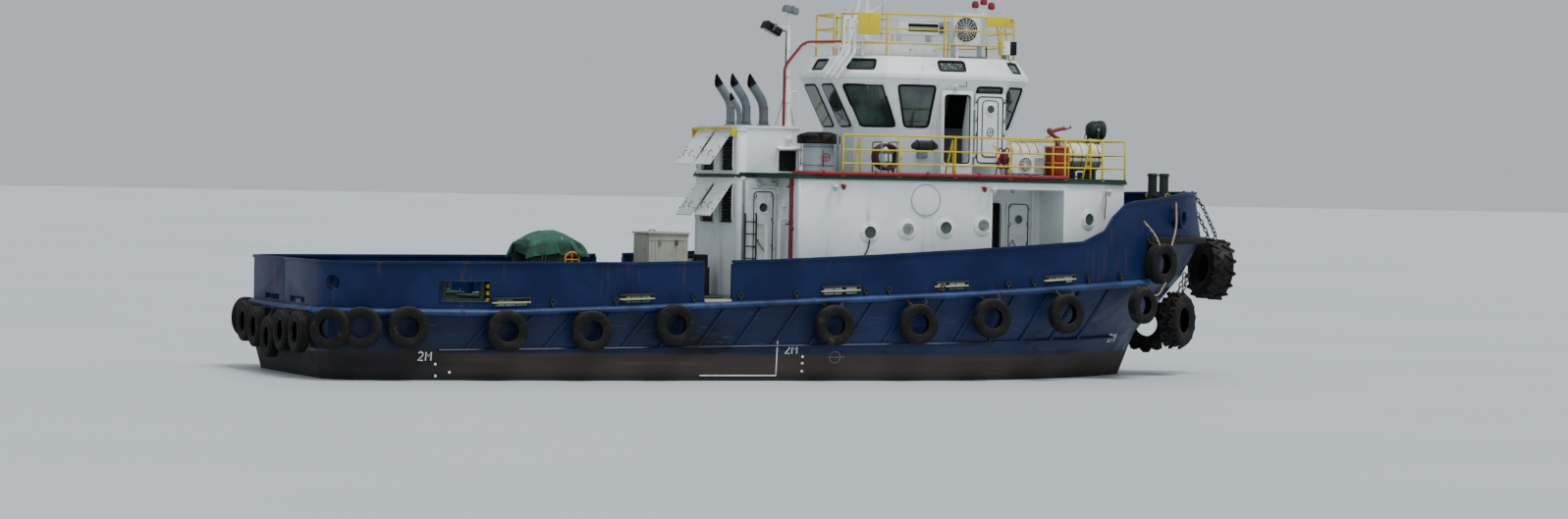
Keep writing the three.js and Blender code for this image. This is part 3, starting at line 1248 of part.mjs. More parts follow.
// Superstructure
piece("deckhouse", deckhouseBody(), "white");
piece("casing_lower", casingLower(), "white");
piece("casing_upper", casingUpper(), "white");
piece("upper_deck", upperDeck(), "dark");
piece("exhaust_stacks", exhaustStacks(), "steel");
piece("wheelhouse", wheelhouseBody(), "white");
piece("wheelhouse_roof", wheelhouseRoof(), "white");
for (const [name, side] of SIDES) {
  const own = (body) => (side < 0 ? body : mirrored(body));
  piece(`casing_flap_upper_${name}`, own(casingFlap(FLAPS.upper)), "white");
  piece(`casing_flap_lower_${name}`, own(casingFlap(FLAPS.lower)), "white");
  piece(`house_door_${name}`, own(houseDoor()), "white");
}
piece("casing_door", casingDoor(), "white");
piece("wheelhouse_door_starboard", wheelhouseDoor(true), "white");
piece("wheelhouse_door_port", mirrored(wheelhouseDoor(false)), "white");
piece("rail_upper_deck", railing(UPPER_RAIL, UPPER_DECK_Z + GAP, RAIL), "yellow");
piece("rail_wheelhouse_top", railing(TOP_RAIL, WHEELHOUSE.roofTop + GAP, TOP_RAIL_FORM), "yellow");

// Gear on the after deck
piece("winch_frame", winchFrame(), "steel");
piece("winch_drum", winchDrum(), "steel");
piece("winch_cover", winchCover(), "green");
piece("towing_bitt", bitts(TOWING_BITT, deckZ(STERN_X)), "dark");
piece("hook_pedestal", hookPedestal(), "dark");
piece("tow_hook", towHook(), "steel");
piece("deck_locker", lockerBody(), "steel");
piece("deck_locker_lid", lockerLid(), "steel");
for (const [name, side] of SIDES) {
  piece(`fairlead_frame_${name}`, side < 0 ? fairleadFrame() : mirrored(fairleadFrame()), "yellow");
}

// Foredeck, upper deck and wheelhouse top
piece("bow_bitt", bitts(BOW_BITT, FORECASTLE_Z), "dark");
piece("windlass_frame", windlassFrame(), "dark");
piece("windlass_drum", windlassDrum(), "dark");
for (const [name, side] of SIDES) {
  piece(`ventilator_${name}`, side < 0 ? ventilator() : mirrored(ventilator()), "white");
  piece(`liferaft_${name}`, side < 0 ? liferaft() : mirrored(liferaft()), "white");
}
piece("deck_cooling_unit", coolingUnit([5380, 6310], [-2080, -1750], [UPPER_DECK_Z, 4760, 5210], 5820),
  "white");
piece("fire_monitor", fireMonitor(), "red");
piece("searchlight", searchlight(), "white");
piece("lamp_pole", lampPole(), "white");
piece("roof_locker", roofLocker(), "white");
piece("roof_cooling_unit", coolingUnit([4270, 5130], [-1300, -970], [WHEELHOUSE.roofTop, 7740, 8500], 4590),
  "white");
piece("mast", mast(), "white");
piece("radar_scanner", radarScanner(), "white");

export default boat;
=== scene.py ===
import logging
import math
from dataclasses import dataclass, field
from enum import Enum
from typing import Any, ClassVar, Iterable, Sequence

import bmesh
import bpy
from mathutils import Matrix, Vector
from mathutils.bvhtree import BVHTree


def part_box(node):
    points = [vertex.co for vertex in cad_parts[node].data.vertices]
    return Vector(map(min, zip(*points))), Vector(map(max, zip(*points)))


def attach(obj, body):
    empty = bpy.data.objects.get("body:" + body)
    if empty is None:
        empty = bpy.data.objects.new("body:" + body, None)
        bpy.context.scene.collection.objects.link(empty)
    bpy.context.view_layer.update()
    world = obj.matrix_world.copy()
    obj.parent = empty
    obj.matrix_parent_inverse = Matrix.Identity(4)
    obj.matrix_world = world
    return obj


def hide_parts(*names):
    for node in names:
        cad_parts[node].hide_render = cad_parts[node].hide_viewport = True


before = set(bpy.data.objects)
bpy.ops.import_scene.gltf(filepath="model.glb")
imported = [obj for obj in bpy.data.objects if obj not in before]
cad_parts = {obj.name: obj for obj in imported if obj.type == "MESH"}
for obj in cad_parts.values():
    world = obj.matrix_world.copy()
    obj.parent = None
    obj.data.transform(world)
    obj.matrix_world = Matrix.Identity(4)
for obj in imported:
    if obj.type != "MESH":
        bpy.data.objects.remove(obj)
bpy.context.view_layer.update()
log = logging.getLogger("tugboat")

Colour = tuple[float, float, float]
Point = Sequence[float]
BOAT = "boat"

# Directions in the boat's frame
AHEAD = (1, 0, 0)
ACROSS = (0, 1, 0)
TO_STARBOARD = (0, -1, 0)
UP = (0, 0, 1)
DOWN = (0, 0, -1)

# Heights that fittings stand at, a little above the decks and roofs
AFTER_DECK = 1.5803
FOREDECK = 3.3003
UPPER_DECK = 4.6403
CASING_TOP = 5.7603
WHEELHOUSE_TOP = 7.4503


class Side(Enum):
    """The two sides of the boat, by the sign of Y."""

    STARBOARD = -1
    PORT = 1

    @property
    def word(self) -> str:
        """The side's word in the names of nodes and pieces."""
        return self.name.lower()


class Slot(Enum):
    """The material slots."""

    HULL = "hull"
    BLUE = "blue"
    RUBBER = "rubber"
    WHITE = "white"
    YELLOW = "yellow"
    RED = "red"
    DARK = "dark"
    STEEL = "steel"
    BRONZE = "bronze"
    GREEN = "green"


def linear(code: str) -> Colour:
    """The scene-linear colour of a paint chart's hexadecimal code.

    Args:
        code: six hexadecimal digits, red first.

    Returns:
        The linear red, green and blue.
    """
    shares = [int(code[at:at + 2], 16) / 255 for at in (0, 2, 4)]
    return tuple(s / 12.92 if s <= 0.04045 else ((s + 0.055) / 1.055) ** 2.4 for s in shares)


def along(table: Sequence[Sequence[float]], x: float) -> float:
    """Reads a table of [x, value] rows between its rows.

    Args:
        table: the rows, in order of x.
        x: where to read.

    Returns:
        The value at x, held level past the ends.
    """
    if x <= table[0][0]:
        return table[0][1]
    for (x0, v0), (x1, v1) in zip(table, table[1:]):
        if x <= x1:
            return v0 + (v1 - v0) * (x - x0) / (x1 - x0)
    return table[-1][1]


# Shaders

class Wire:
    """An output socket of a shader that Python arithmetic can be written with."""

    def __init__(self, shader: "Shader", socket: bpy.types.NodeSocket) -> None:
        """Keeps the socket and the shader that it belongs to."""
        self.shader = shader
        self.socket = socket

    def __add__(self, other: "Wire | float") -> "Wire":
        """The sum."""
        return self.shader.maths("ADD", self, other)

    def __sub__(self, other: "Wire | float") -> "Wire":
        """The difference."""
        return self.shader.maths("SUBTRACT", self, other)

    def __rsub__(self, other: float) -> "Wire":
        """The difference, with the number first."""
        return self.shader.maths("SUBTRACT", other, self)

    def __mul__(self, other: "Wire | float") -> "Wire":
        """The product."""
        return self.shader.maths("MULTIPLY", self, other)

    __radd__ = __add__
    __rmul__ = __mul__

    def rise(self, low: float, high: float) -> "Wire":
        """A smooth step.

        Args:
            low: the value up to which the step is 0.
            high: the value from which the step is 1; below low it falls instead.

        Returns:
            The step, from 0 to 1.
        """
        settings = {"interpolation_type": "SMOOTHSTEP"}
        inputs = {"Value": self, "From Min": low, "From Max": high}
        return self.shader.node("ShaderNodeMapRange", settings, inputs)[0]


class Shader:
    """One material under construction, on the piece's Object coordinates."""

    def __init__(self, name: str) -> None:
        """Starts an empty material.

        Args:
            name: its name.
        """
        self.material = bpy.data.materials.new(name)
        self.material.use_nodes = True
        self.tree = self.material.node_tree
        self.tree.nodes.clear()
        self.place = self.node("ShaderNodeTexCoord")[3]
        self.x, self.y, self.z = self.node("ShaderNodeSeparateXYZ", {}, {0: self.place})
        normal = self.node("ShaderNodeNewGeometry")[1]
        self.up = self.node("ShaderNodeSeparateXYZ", {}, {0: normal})[2]

    def node(self, kind: str, settings: dict[str, Any] | None = None,
             inputs: dict[str | int, Any] | None = None) -> list[Wire]:
        """Adds any node.

        Args:
            kind: the node's type.
            settings: its properties, and a colour ramp's stops under "stops", which are set first.
            inputs: values or wires by socket name or number.

        Returns:
            The node's outputs.
        """
        made = self.tree.nodes.new(kind)
        for key, value in (settings or {}).items():
            if key == "stops":
                for element, (at, colour) in zip(self._stops(made, len(value)), value):
                    element.position = at
                    element.color = (*colour, 1)
            else:
                setattr(made, key, value)
        for key, value in (inputs or {}).items():
            socket = made.inputs[key]
            if isinstance(value, Wire):
                self.tree.links.new(value.socket, socket)
            elif isinstance(value, tuple) and len(socket.default_value) == 4:
                socket.default_value = (*value, 1)
            else:
                socket.default_value = value
        return [Wire(self, output) for output in made.outputs]

    @staticmethod
    def _stops(ramp: bpy.types.Node, count: int) -> Iterable[bpy.types.ColorRampElement]:
        """A ramp's stops, once it has as many as are wanted.

        Args:
            ramp: the colour ramp.
            count: how many.

        Returns:
            The stops.
        """
        while len(ramp.color_ramp.elements) < count:
            ramp.color_ramp.elements.new(1)
        return ramp.color_ramp.elements

    def maths(self, operation: str, *values: Wire | float) -> Wire:
        """A Math node on wires and numbers."""
        return self.node("ShaderNodeMath", {"operation": operation}, dict(enumerate(values)))[0]

    def mix(self, share: Wire | float, first: Wire | Colour, second: Wire | Colour) -> Wire:
        """A blend of two colours.

        Args:
            share: how much of the second shows, from 0 to 1.
            first: the colour at 0.
            second: the colour at 1.

        Returns:
            The blended colour.
        """
        inputs = {0: share, 6: first, 7: second}
        return self.node("ShaderNodeMix", {"data_type": "RGBA"}, inputs)[2]

    def noise(self, scale: float, detail: float = 4, stretch: Point = (1, 1, 1), rough: float = 0.55) -> Wire:
        """Noise over the piece.

        Args:
            scale: cells a metre.
            detail: octaves.
            stretch: how much finer the cells are along each axis.
            rough: how strong the fine octaves are.

        Returns:
            The noise, mostly from 0.3 to 0.7.
        """
        where = self.node("ShaderNodeVectorMath", {"operation": "MULTIPLY"}, {0: self.place,
                                                                              1: tuple(stretch)})[0]
        return self.node("ShaderNodeTexNoise", {}, {"Vector": where, "Scale": scale, "Detail": detail,
                                                    "Roughness": rough})[0]

    def bump(self, height: Wire, depth: float, under: Wire | None = None) -> Wire:
        """Relief from a height pattern.

        Args:
            height: the pattern, from 0 to 1.
            depth: how deep it goes, in metres.
            under: relief to lay this on.

        Returns:
            The bent normal.
        """
        inputs = {"Height": height, "Distance": depth, "Strength": 1.0}
        if under is not None:
            inputs["Normal"] = under
        return self.node("ShaderNodeBump", {}, inputs)[0]

    def surface(self, **sockets: Wire | float | Colour) -> bpy.types.Material:
        """Ends the material.

        Args:
            sockets: values or wires for the Principled surface, with _ for the blanks of their names.

        Returns:
            The finished material.
        """
        inputs = {key.replace("_", " "): value for key, value in sockets.items()}
        shine = self.node("ShaderNodeBsdfPrincipled", {}, inputs)[0]
        self.node("ShaderNodeOutputMaterial", {}, {0: shine})
        return self.material


# Finishes

@dataclass(frozen=True)
class Finish:
    """What every finish has in common.

    Attributes:
        name: its name.
        slot: the material slot that it belongs to.
        made: the materials made so far, by name.
    """

    name: str
    slot: Slot
    made: ClassVar[dict[str, bpy.types.Material]] = {}

    def shade(self, shader: Shader) -> bpy.types.Material:
        """Builds the finish on an empty shader."""
        raise NotImplementedError

    @property
    def material(self) -> bpy.types.Material:
        """The finish's material, made once."""
        if self.name not in Finish.made:
            Finish.made[self.name] = self.shade(Shader(self.name))
        return Finish.made[self.name]


@dataclass(frozen=True)
class Paint(Finish):
    """Paint on steel, mottled, grimy in patches, with runs of rust and worn chips.

    Attributes:
        colour: the paint.
        worn: its faded colour in broad patches.
        grime: the dirt that lies on it.
        dirt: how much of it is dirty, from 0 to 1.
        runs: how strong the rust runs are, from 0 to 1.
        chips: how much is chipped, from 0 to 1.
        rough: its roughness.
        dents: depth of the plating's unevenness between its frames, in metres.
        top: the colour of what faces up, where that is painted for walking on.
        shine: how strongly it mirrors the sky.
    """

    colour: Colour = (0.7, 0.7, 0.7)
    worn: Colour = (0.6, 0.6, 0.6)
    grime: Colour = linear("4a4338")
    dirt: float = 0.35
    runs: float = 0.5
    chips: float = 0.3
    rough: float = 0.42
    dents: float = 0.0
    top: Colour | None = None
    shine: float = 0.3

    def shade(self, shader: Shader) -> bpy.types.Material:
        """Builds the paint.

        Args:
            shader: an empty shader.

        Returns:
            The material.
        """
        broad = shader.noise(0.55, 3)
        middle = shader.noise(2.6, 5)
        fine = shader.noise(19, 4)
        base = shader.mix(broad.rise(0.38, 0.66), self.colour, self.worn)
        if self.top is not None:
            base = shader.mix(shader.up.rise(0.6, 0.8), base, shader.mix(middle.rise(0.4, 0.65), self.top,
                                                                         self.grime))
        soiled = (middle * 0.7 + fine * 0.3).rise(0.5, 0.72) * self.dirt
        base = shader.mix(soiled, base, self.grime)
        upright = 1 - shader.up.rise(0.5, 0.8)
        strands = shader.noise(7, 3, (1, 1, 0.09), 0.5).rise(0.53, 0.72)
        where = shader.noise(0.9, 2, (1, 1, 0.6)).rise(0.47, 0.62)
        running = strands * where * upright * self.runs
        base = shader.mix(running, base, linear("6b4a2f"))
        chipped = shader.noise(11, 5, rough=0.7).rise(0.64, 0.68) * self.chips
        base = shader.mix(chipped, base, linear("3d2417"))
        rough = self.rough + 0.22 * soiled + 0.25 * chipped + 0.1 * fine
        relief = shader.bump(shader.noise(1.7, 1), self.dents)
        relief = shader.bump(fine - chipped * 0.6, 0.0008, relief)
        return shader.surface(Base_Color=base, Roughness=rough, Normal=relief,
                              Specular_IOR_Level=self.shine)


@dataclass(frozen=True)
class HullPaint(Finish):
    """The hull's coats by height: deck paint on top, scuffed navy topsides, brown antifouling below, and
    painted shade on the low after quarter.

    Attributes:
        navy: the topsides' paint.
        faded: where the sun and the tyres have dulled it.
        scuff: the black rubbed off by tyres and fenders.
        bottom: the antifouling where it shows.
        slime: the growth along the waterline.
        deck: the deck's paint.
        belt_z: height where the topsides' paint ends, in metres.
    """

    navy: Colour = linear("0e1a3a")
    faded: Colour = linear("17264a")
    scuff: Colour = linear("0b0c11")
    bottom: Colour = linear("3c3230")
    slime: Colour = linear("23221f")
    deck: Colour = linear("2f4a3f")
    belt_z: float = 0.6

    def shade(self, shader: Shader) -> bpy.types.Material:
        """Builds the hull's coats.

        Args:
            shader: an empty shader.

        Returns:
            The material.
        """
        broad = shader.noise(0.35, 4)
        middle = shader.noise(1.8, 6)
        fine = shader.noise(16, 4)
        rubbed = shader.noise(1.1, 6, (0.45, 0.45, 1.2), 0.65)
        topside = shader.mix(broad.rise(0.4, 0.65), self.navy, self.faded)
        low = shader.z.rise(1.9, 0.7)
        topside = shader.mix(rubbed.rise(0.52, 0.66) * low * 0.85, topside, self.scuff)
        scratch = shader.noise(3.2, 3, (0.5, 0.5, 7), 0.6).rise(0.62, 0.7)
        topside = shader.mix(scratch * 0.35, topside, linear("4a5670"))
        under = shader.mix(middle.rise(0.42, 0.62), self.bottom, linear("3a3331"))
        bands = shader.noise(0.8, 4, (0.25, 0.25, 6), 0.5).rise(0.5, 0.62)
        under = shader.mix(bands * 0.5, under, linear("4c403b"))
        wet = (shader.z + 0.12 * middle).rise(0.34, 0.08)
        under = shader.mix(wet, under, self.slime)
        edge = (shader.z + 0.1 * (middle - 0.5)).rise(self.belt_z - 0.03, self.belt_z + 0.03)
        base = shader.mix(edge, under, topside)
        # painted shade: the low after quarter is darkened near black where the belt and the tyres shade it
        deep = shader.x.rise(-7.5, -9.5) * shader.z.rise(1.1, 0.5)
        base = shader.mix(deep * 0.8, base, linear("191a1c"))
        trodden = shader.mix(middle.rise(0.4, 0.66), self.deck, linear("4a4a42"))
        rusty = shader.noise(2.2, 6, rough=0.68).rise(0.6, 0.68)
        trodden = shader.mix(rusty * 0.7, trodden, linear("5a3622"))
        base = shader.mix(shader.up.rise(0.6, 0.85) * shader.z.rise(1.3, 1.4), base, trodden)
        spots = shader.noise(6, 5, rough=0.7).rise(0.655, 0.69)
        base = shader.mix(spots * 0.5, base, linear("54301d"))
        rough = 0.36 + 0.3 * (1 - edge) + 0.25 * rubbed.rise(0.5, 0.7) + 0.08 * fine
        relief = shader.bump(shader.noise(1.3, 1), 0.012)
        relief = shader.bump(middle, 0.003, relief)
        relief = shader.bump(fine, 0.0009, relief)
        return shader.surface(Base_Color=base, Roughness=rough, Normal=relief, Specular_IOR_Level=0.25)


@dataclass(frozen=True)
class Rubber(Finish):
    """Old tyre rubber: near black, dusty grey-brown where it is rubbed, with fine cracks.

    Attributes:
        colour: the clean rubber.
        dust: the colour where it is rubbed.
        dusty: how much is rubbed, from 0 to 1.
    """

    colour: Colour = linear("100f0f")
    dust: Colour = linear("2c2824")
    dusty: float = 0.55

    def shade(self, shader: Shader) -> bpy.types.Material:
        """Builds the rubber.

        Args:
            shader: an empty shader.

        Returns:
            The material.
        """
        middle = shader.noise(4.5, 6, rough=0.65)
        fine = shader.noise(38, 4)
        worn = (middle * 0.8 + fine * 0.2).rise(0.47, 0.68) * self.dusty
        base = shader.mix(worn, self.colour, self.dust)
        base = shader.mix(shader.up.rise(0.3, 0.95) * 0.25, base, linear("5a544c"))
        salty = shader.noise(2.3, 5, rough=0.7).rise(0.6, 0.7)
        base = shader.mix(salty * 0.25, base, linear("67625c"))
        cracks = shader.node("ShaderNodeTexVoronoi", {"feature": "DISTANCE_TO_EDGE"},
                             {"Vector": shader.place, "Scale": 26.0})[0]
        relief = shader.bump(middle, 0.006)
        relief = shader.bump(cracks.rise(0.0, 0.05) + 0.4 * fine, 0.0012, relief)
        return shader.surface(Base_Color=base, Roughness=0.72 + 0.2 * fine,
                              Specular_IOR_Level=0.25, Normal=relief)


@dataclass(frozen=True)
class Metal(Finish):
    """Bare or plated metal, tarnished in patches and rusty in spots.

    Attributes:
        colour: the metal.
        tarnish: its dull patches.
        rust: how rusty its spots are, from 0 to 1.
        rough: its roughness where it is bright.
    """

    colour: Colour = linear("8a8f92")
    tarnish: Colour = linear("4c4f50")
    rust: float = 0.4
    rough: float = 0.38

    def shade(self, shader: Shader) -> bpy.types.Material:
        """Builds the metal.

        Args:
            shader: an empty shader.

        Returns:
            The material.
        """
        middle = shader.noise(5, 6, rough=0.6)
        fine = shader.noise(44, 3)
        dull = middle.rise(0.42, 0.62)
        base = shader.mix(dull, self.colour, self.tarnish)
        rusty = shader.noise(3.4, 6, rough=0.7).rise(0.54, 0.64) * self.rust
        base = shader.mix(rusty, base, linear("5b3620"))
        rough = self.rough + 0.2 * dull + 0.25 * rusty + 0.08 * fine
        relief = shader.bump(fine, 0.0007, shader.bump(middle, 0.002))
        return shader.surface(Base_Color=base, Roughness=rough, Metallic=0.85 - 0.7 * rusty, Normal=relief)


@dataclass(frozen=True)
class Glass(Finish):
    """Tinted window glass with cloudy patches and salt on it.

    Attributes:
        colour: the glass.
        pale: its cloudy patches.
        share: how much they show, from 0 to 1.
    """

    colour: Colour = linear("22302f")
    pale: Colour = linear("5d6e6b")
    share: float = 0.45

    def shade(self, shader: Shader) -> bpy.types.Material:
        """Builds the glass.

        Args:
            shader: an empty shader.

        Returns:
            The material.
        """
        cloud = shader.noise(1.3, 3)
        salt = shader.noise(30, 4)
        base = shader.mix(cloud.rise(0.4, 0.66) * self.share, self.colour, self.pale)
        rough = 0.05 + 0.2 * salt.rise(0.5, 0.75)
        relief = shader.bump(cloud, 0.002)
        return shader.surface(Base_Color=base, Roughness=rough, Normal=relief, Specular_IOR_Level=0.8)


@dataclass(frozen=True)
class Canvas(Finish):
    """Proofed canvas with a visible weave, sun-faded on top and grimy in patches.

    Attributes:
        colour: the canvas.
        faded: its colour where the sun falls.
        weave: threads a metre.
    """

    colour: Colour = linear("1a4034")
    faded: Colour = linear("2d5f4e")
    weave: float = 420

    def shade(self, shader: Shader) -> bpy.types.Material:
        """Builds the canvas.

        Args:
            shader: an empty shader.

        Returns:
            The material.
        """
        middle = shader.noise(3.2, 5)
        base = shader.mix(shader.up.rise(0.1, 0.9) * 0.6 + middle.rise(0.4, 0.7) * 0.3, self.colour,
                          self.faded)
        soil = shader.noise(7, 6, rough=0.65).rise(0.55, 0.7)
        base = shader.mix(soil * 0.45, base, linear("253b33"))
        threads = [shader.node("ShaderNodeTexWave", {"bands_direction": axis},
                               {"Vector": shader.place, "Scale": self.weave / (2 * math.pi),
                                "Distortion": 0.4})[1] for axis in ("X", "Y")]
        weave = threads[0] * threads[1]
        base = shader.mix(weave * 0.25, base, self.faded)
        relief = shader.bump(weave, 0.0006, shader.bump(shader.noise(9, 3), 0.004))
        return shader.surface(Base_Color=base, Roughness=0.86 + 0.1 * soil, Normal=relief)


@dataclass(frozen=True)
class HalfPaint(Finish):
    """Moulded plastic in two colours that meet at a height: cream above, grey-green below.

    Attributes:
        upper: the upper shell's colour.
        lower: the lower shell's colour.
        seam: height where they meet, in metres.
    """

    upper: Colour = linear("e0d9bd")
    lower: Colour = linear("6f7c70")
    seam: float = 5.1

    def shade(self, shader: Shader) -> bpy.types.Material:
        """Builds the plastic.

        Args:
            shader: an empty shader.

        Returns:
            The material.
        """
        middle = shader.noise(3.1, 5)
        fine = shader.noise(28, 3)
        cream = shader.mix(middle.rise(0.42, 0.68) * 0.5, self.upper, linear("b9b096"))
        base = shader.mix(shader.z.rise(self.seam - 0.004, self.seam + 0.004), self.lower, cream)
        runs = shader.noise(8, 3, (1, 1, 0.12)).rise(0.54, 0.7)
        base = shader.mix(runs * 0.4, base, linear("7a6a52"))
        relief = shader.bump(fine, 0.0005)
        return shader.surface(Base_Color=base, Roughness=0.42 + 0.2 * middle, Normal=relief)


@dataclass(frozen=True)
class Rope(Finish):
    """Laid rope: pale fibres, with painted shade darkening the grooves between its strands.

    Attributes:
        colour: the fibres.
        groove: the painted shade between the strands.
        lay: strands a metre.
    """

    colour: Colour = linear("b9a98a")
    groove: Colour = linear("5d5140")
    lay: float = 22

    def shade(self, shader: Shader) -> bpy.types.Material:
        """Builds the rope.

        Args:
            shader: an empty shader.

        Returns:
            The material.
        """
        inputs = {"Vector": shader.place, "Scale": self.lay / 2, "Distortion": 1.2, "Detail": 2.0}
        strands = shader.node("ShaderNodeTexWave", {"bands_direction": "DIAGONAL"}, inputs)[1]
        fibre = shader.noise(90, 3)
        # painted shade: the grooves between the strands are darkened towards the groove colour
        base = shader.mix(strands.rise(0.15, 0.6), self.groove, self.colour)
        base = shader.mix(shader.noise(4, 4).rise(0.5, 0.7) * 0.5, base, linear("6b5f4d"))
        relief = shader.bump(fibre, 0.0006, shader.bump(strands, 0.004))
        return shader.surface(Base_Color=base, Roughness=0.85 + 0.08 * fibre, Normal=relief)


# Meshes

def bent(points: Sequence[Point], radius: float, steps: int = 5) -> list[Vector]:
    """Rounds the corners of a line of points.

    Args:
        points: the line's corners and its ends.
        radius: how far from a corner its bend starts.
        steps: pieces in each bend.

    Returns:
        The rounded line.
    """
    line = [Vector(point) for point in points]
    rounded = [line[0]]
    for before, corner, after in zip(line, line[1:], line[2:]):
        to, fro = before - corner, after - corner
        reach = min(radius, to.length * 0.48, fro.length * 0.48)
        start, end = corner + to.normalized() * reach, corner + fro.normalized() * reach
        for step in range(steps + 1):
            share = step / steps
            rounded.append(start * (1 - share) ** 2 + corner * 2 * share * (1 - share) + end * share ** 2)
    return [*rounded, line[-1]]


def upright(axis: Point) -> Matrix:
    """The turn that takes +Z onto an axis."""
    return Vector(axis).to_track_quat("Z", "Y").to_matrix().to_4x4()


def turns(count: int) -> list[float]:
    """Equal steps round a full turn, in radians."""
    return [2 * math.pi * k / count for k in range(count)]


def upright_rectangle(x0: float, x1: float, y: float, low: float, high: float) -> list[Vector]:
    """The corners of a rectangle that faces along Y, first the lower after one."""
    return [Vector((x0, y, low)), Vector((x1, y, low)), Vector((x1, y, high)), Vector((x0, y, high))]


def object_of(mesh: bmesh.types.BMesh, name: str) -> bpy.types.Object:
    """An object, not yet in the scene, that takes a mesh under construction over.

    Args:
        mesh: the mesh, which is used up.
        name: the object's name.

    Returns:
        The object.
    """
    data = bpy.data.meshes.new(name)
    mesh.to_mesh(data)
    mesh.free()
    return bpy.data.objects.new(name, data)


class Form:
    """One piece under construction: a mesh whose faces carry several finishes."""

    def __init__(self) -> None:
        """Starts an empty mesh."""
        self.mesh = bmesh.new()
        self.finishes: list[Finish] = []

    def _dress(self, faces: Sequence[bmesh.types.BMFace], finish: Finish) -> None:
        """Gives faces a finish.

        Args:
            faces: the faces.
            finish: their finish.
        """
        if finish not in self.finishes:
            self.finishes.append(finish)
        for face in faces:
            face.material_index = self.finishes.index(finish)
            face.smooth = True

    def box(self, low: Point, high: Point, finish: Finish, edge: float = 0.008,
            turn: Matrix | None = None) -> "Form":
        """Adds a block with softened edges.

        Args:
            low: its lowest corner.
            high: its highest corner.
            finish: its finish.
            edge: how wide its edges are rounded.
            turn: a transform for it, or none.

        Returns:
            The form itself.
        """
        place = turn or Matrix.Identity(4)
        rings = [[place @ Vector((x, y, z)) for x, y in ((low[0], low[1]), (high[0], low[1]),
                                                         (high[0], high[1]), (low[0], high[1]))]
                 for z in (low[2], high[2])]
        others = set(self.mesh.faces)
        made = self._solid(rings)
        room = min(h - l for l, h in zip(low, high)) * 0.45
        if edge > 0:
            edges = list(dict.fromkeys(e for face in made for e in face.edges))
            bmesh.ops.bevel(self.mesh, geom=edges, offset=min(edge, room), segments=2, profile=0.6,
                            affect="EDGES")
        return self._outward([face for face in self.mesh.faces if face not in others], finish)

    def _outward(self, faces: Sequence[bmesh.types.BMFace], finish: Finish) -> "Form":
        """Gives faces a finish and turns them outward.

        Args:
            faces: the faces.
            finish: their finish.

        Returns:
            The form itself.
        """
        self._dress(faces, finish)
        bmesh.ops.recalc_face_normals(self.mesh, faces=faces)
        return self

    def slab(self, x0: float, x1: float, face: float, depth: float, low: float, high: float, finish: Finish,
             edge: float = 0.008) -> "Form":
        """Adds a block on a wall that faces along Y.

        Args:
            x0: where it starts.
            x1: where it ends.
            face: the wall's y.
            depth: how far it stands off towards +Y.
            low: height of its foot.
            high: height of its top.
            finish: its finish.
            edge: how wide its edges are rounded.

        Returns:
            The form itself.
        """
        return self.box((x0, min(face, face + depth), low), (x1, max(face, face + depth), high), finish, edge)

    def _solid(self, rings: Sequence[Sequence[Point]], closed: bool = False) -> list[bmesh.types.BMFace]:
        """Faces between rings of points, each ring a loop of the same count.

        Args:
            rings: the rings.
            closed: whether the last ring joins the first, else both are capped.

        Returns:
            The faces.
        """
        loops = [[self.mesh.verts.new(point) for point in ring] for ring in rings]
        count = len(loops[0])
        faces = []
        pairs = list(zip(loops, loops[1:])) + ([(loops[-1], loops[0])] if closed else [])
        for one, other in pairs:
            for k in range(count):
                n = (k + 1) % count
                faces.append(self.mesh.faces.new((one[k], one[n], other[n], other[k])))
        if not closed:
            faces.append(self.mesh.faces.new(loops[0][::-1]))
            faces.append(self.mesh.faces.new(loops[-1]))
        return faces

    def loft(self, rings: Sequence[Sequence[Point]], finish: Finish, closed: bool = False) -> "Form":
        """Adds a skin through rings of points.

        Args:
            rings: loops of the same number of points.
            finish: its finish.
            closed: whether the last ring joins the first, else both are capped.

        Returns:
            The form itself.
        """
        return self._outward(self._solid(rings, closed), finish)

    def prism(self, outline: Sequence[Point], axis: str, low: float, high: float, finish: Finish) -> "Form":
        """Adds an outline drawn along an axis.

        Args:
            outline: points in the plane of the two other axes, in their X, Y, Z order.
            axis: "x", "y" or "z".
            low: where it starts on the axis.
            high: where it ends.
            finish: its finish.

        Returns:
            The form itself.
        """
        at = "xyz".index(axis)
        rings = [[(*p[:at], level, *p[at:]) for p in outline] for level in (low, high)]
        return self.loft(rings, finish)

    def turned(self, profile: Sequence[Point], foot: Point, axis: Point, finish: Finish, steps: int = 24,
               closed: bool = False) -> "Form":
        """Adds a turned shape.

        Args:
            profile: radius and height rows, from one end to the other.
            foot: where height 0 is.
            axis: the direction of its height.
            finish: its finish.
            steps: how many faces go round.
            closed: whether the profile closes on itself, as a ring's does.

        Returns:
            The form itself.
        """
        place = Matrix.Translation(Vector(foot)) @ upright(axis)
        least = 1e-5
        rings = [[place @ Vector((max(r, least) * math.cos(a), max(r, least) * math.sin(a), h))
                  for a in turns(steps)] for r, h in profile]
        faces = self._solid(rings, closed)
        verts = list(dict.fromkeys(vert for face in faces for vert in face.verts))
        bmesh.ops.remove_doubles(self.mesh, verts=verts, dist=5e-5)
        return self._outward([face for face in faces if face.is_valid], finish)

    def rod(self, start: Point, end: Point, radius: float, finish: Finish, steps: int = 16) -> "Form":
        """Adds a round bar with softened ends.

        Args:
            start: the middle of one end.
            end: the middle of the other.
            radius: its radius.
            finish: its finish.
            steps: how many faces go round.

        Returns:
            The form itself.
        """
        span = Vector(end) - Vector(start)
        soft = min(0.2 * radius, 0.01, span.length * 0.2)
        profile = [(radius - soft, 0), (radius, soft), (radius, span.length - soft),
                   (radius - soft, span.length)]
        return self.turned(profile, start, span, finish, steps)

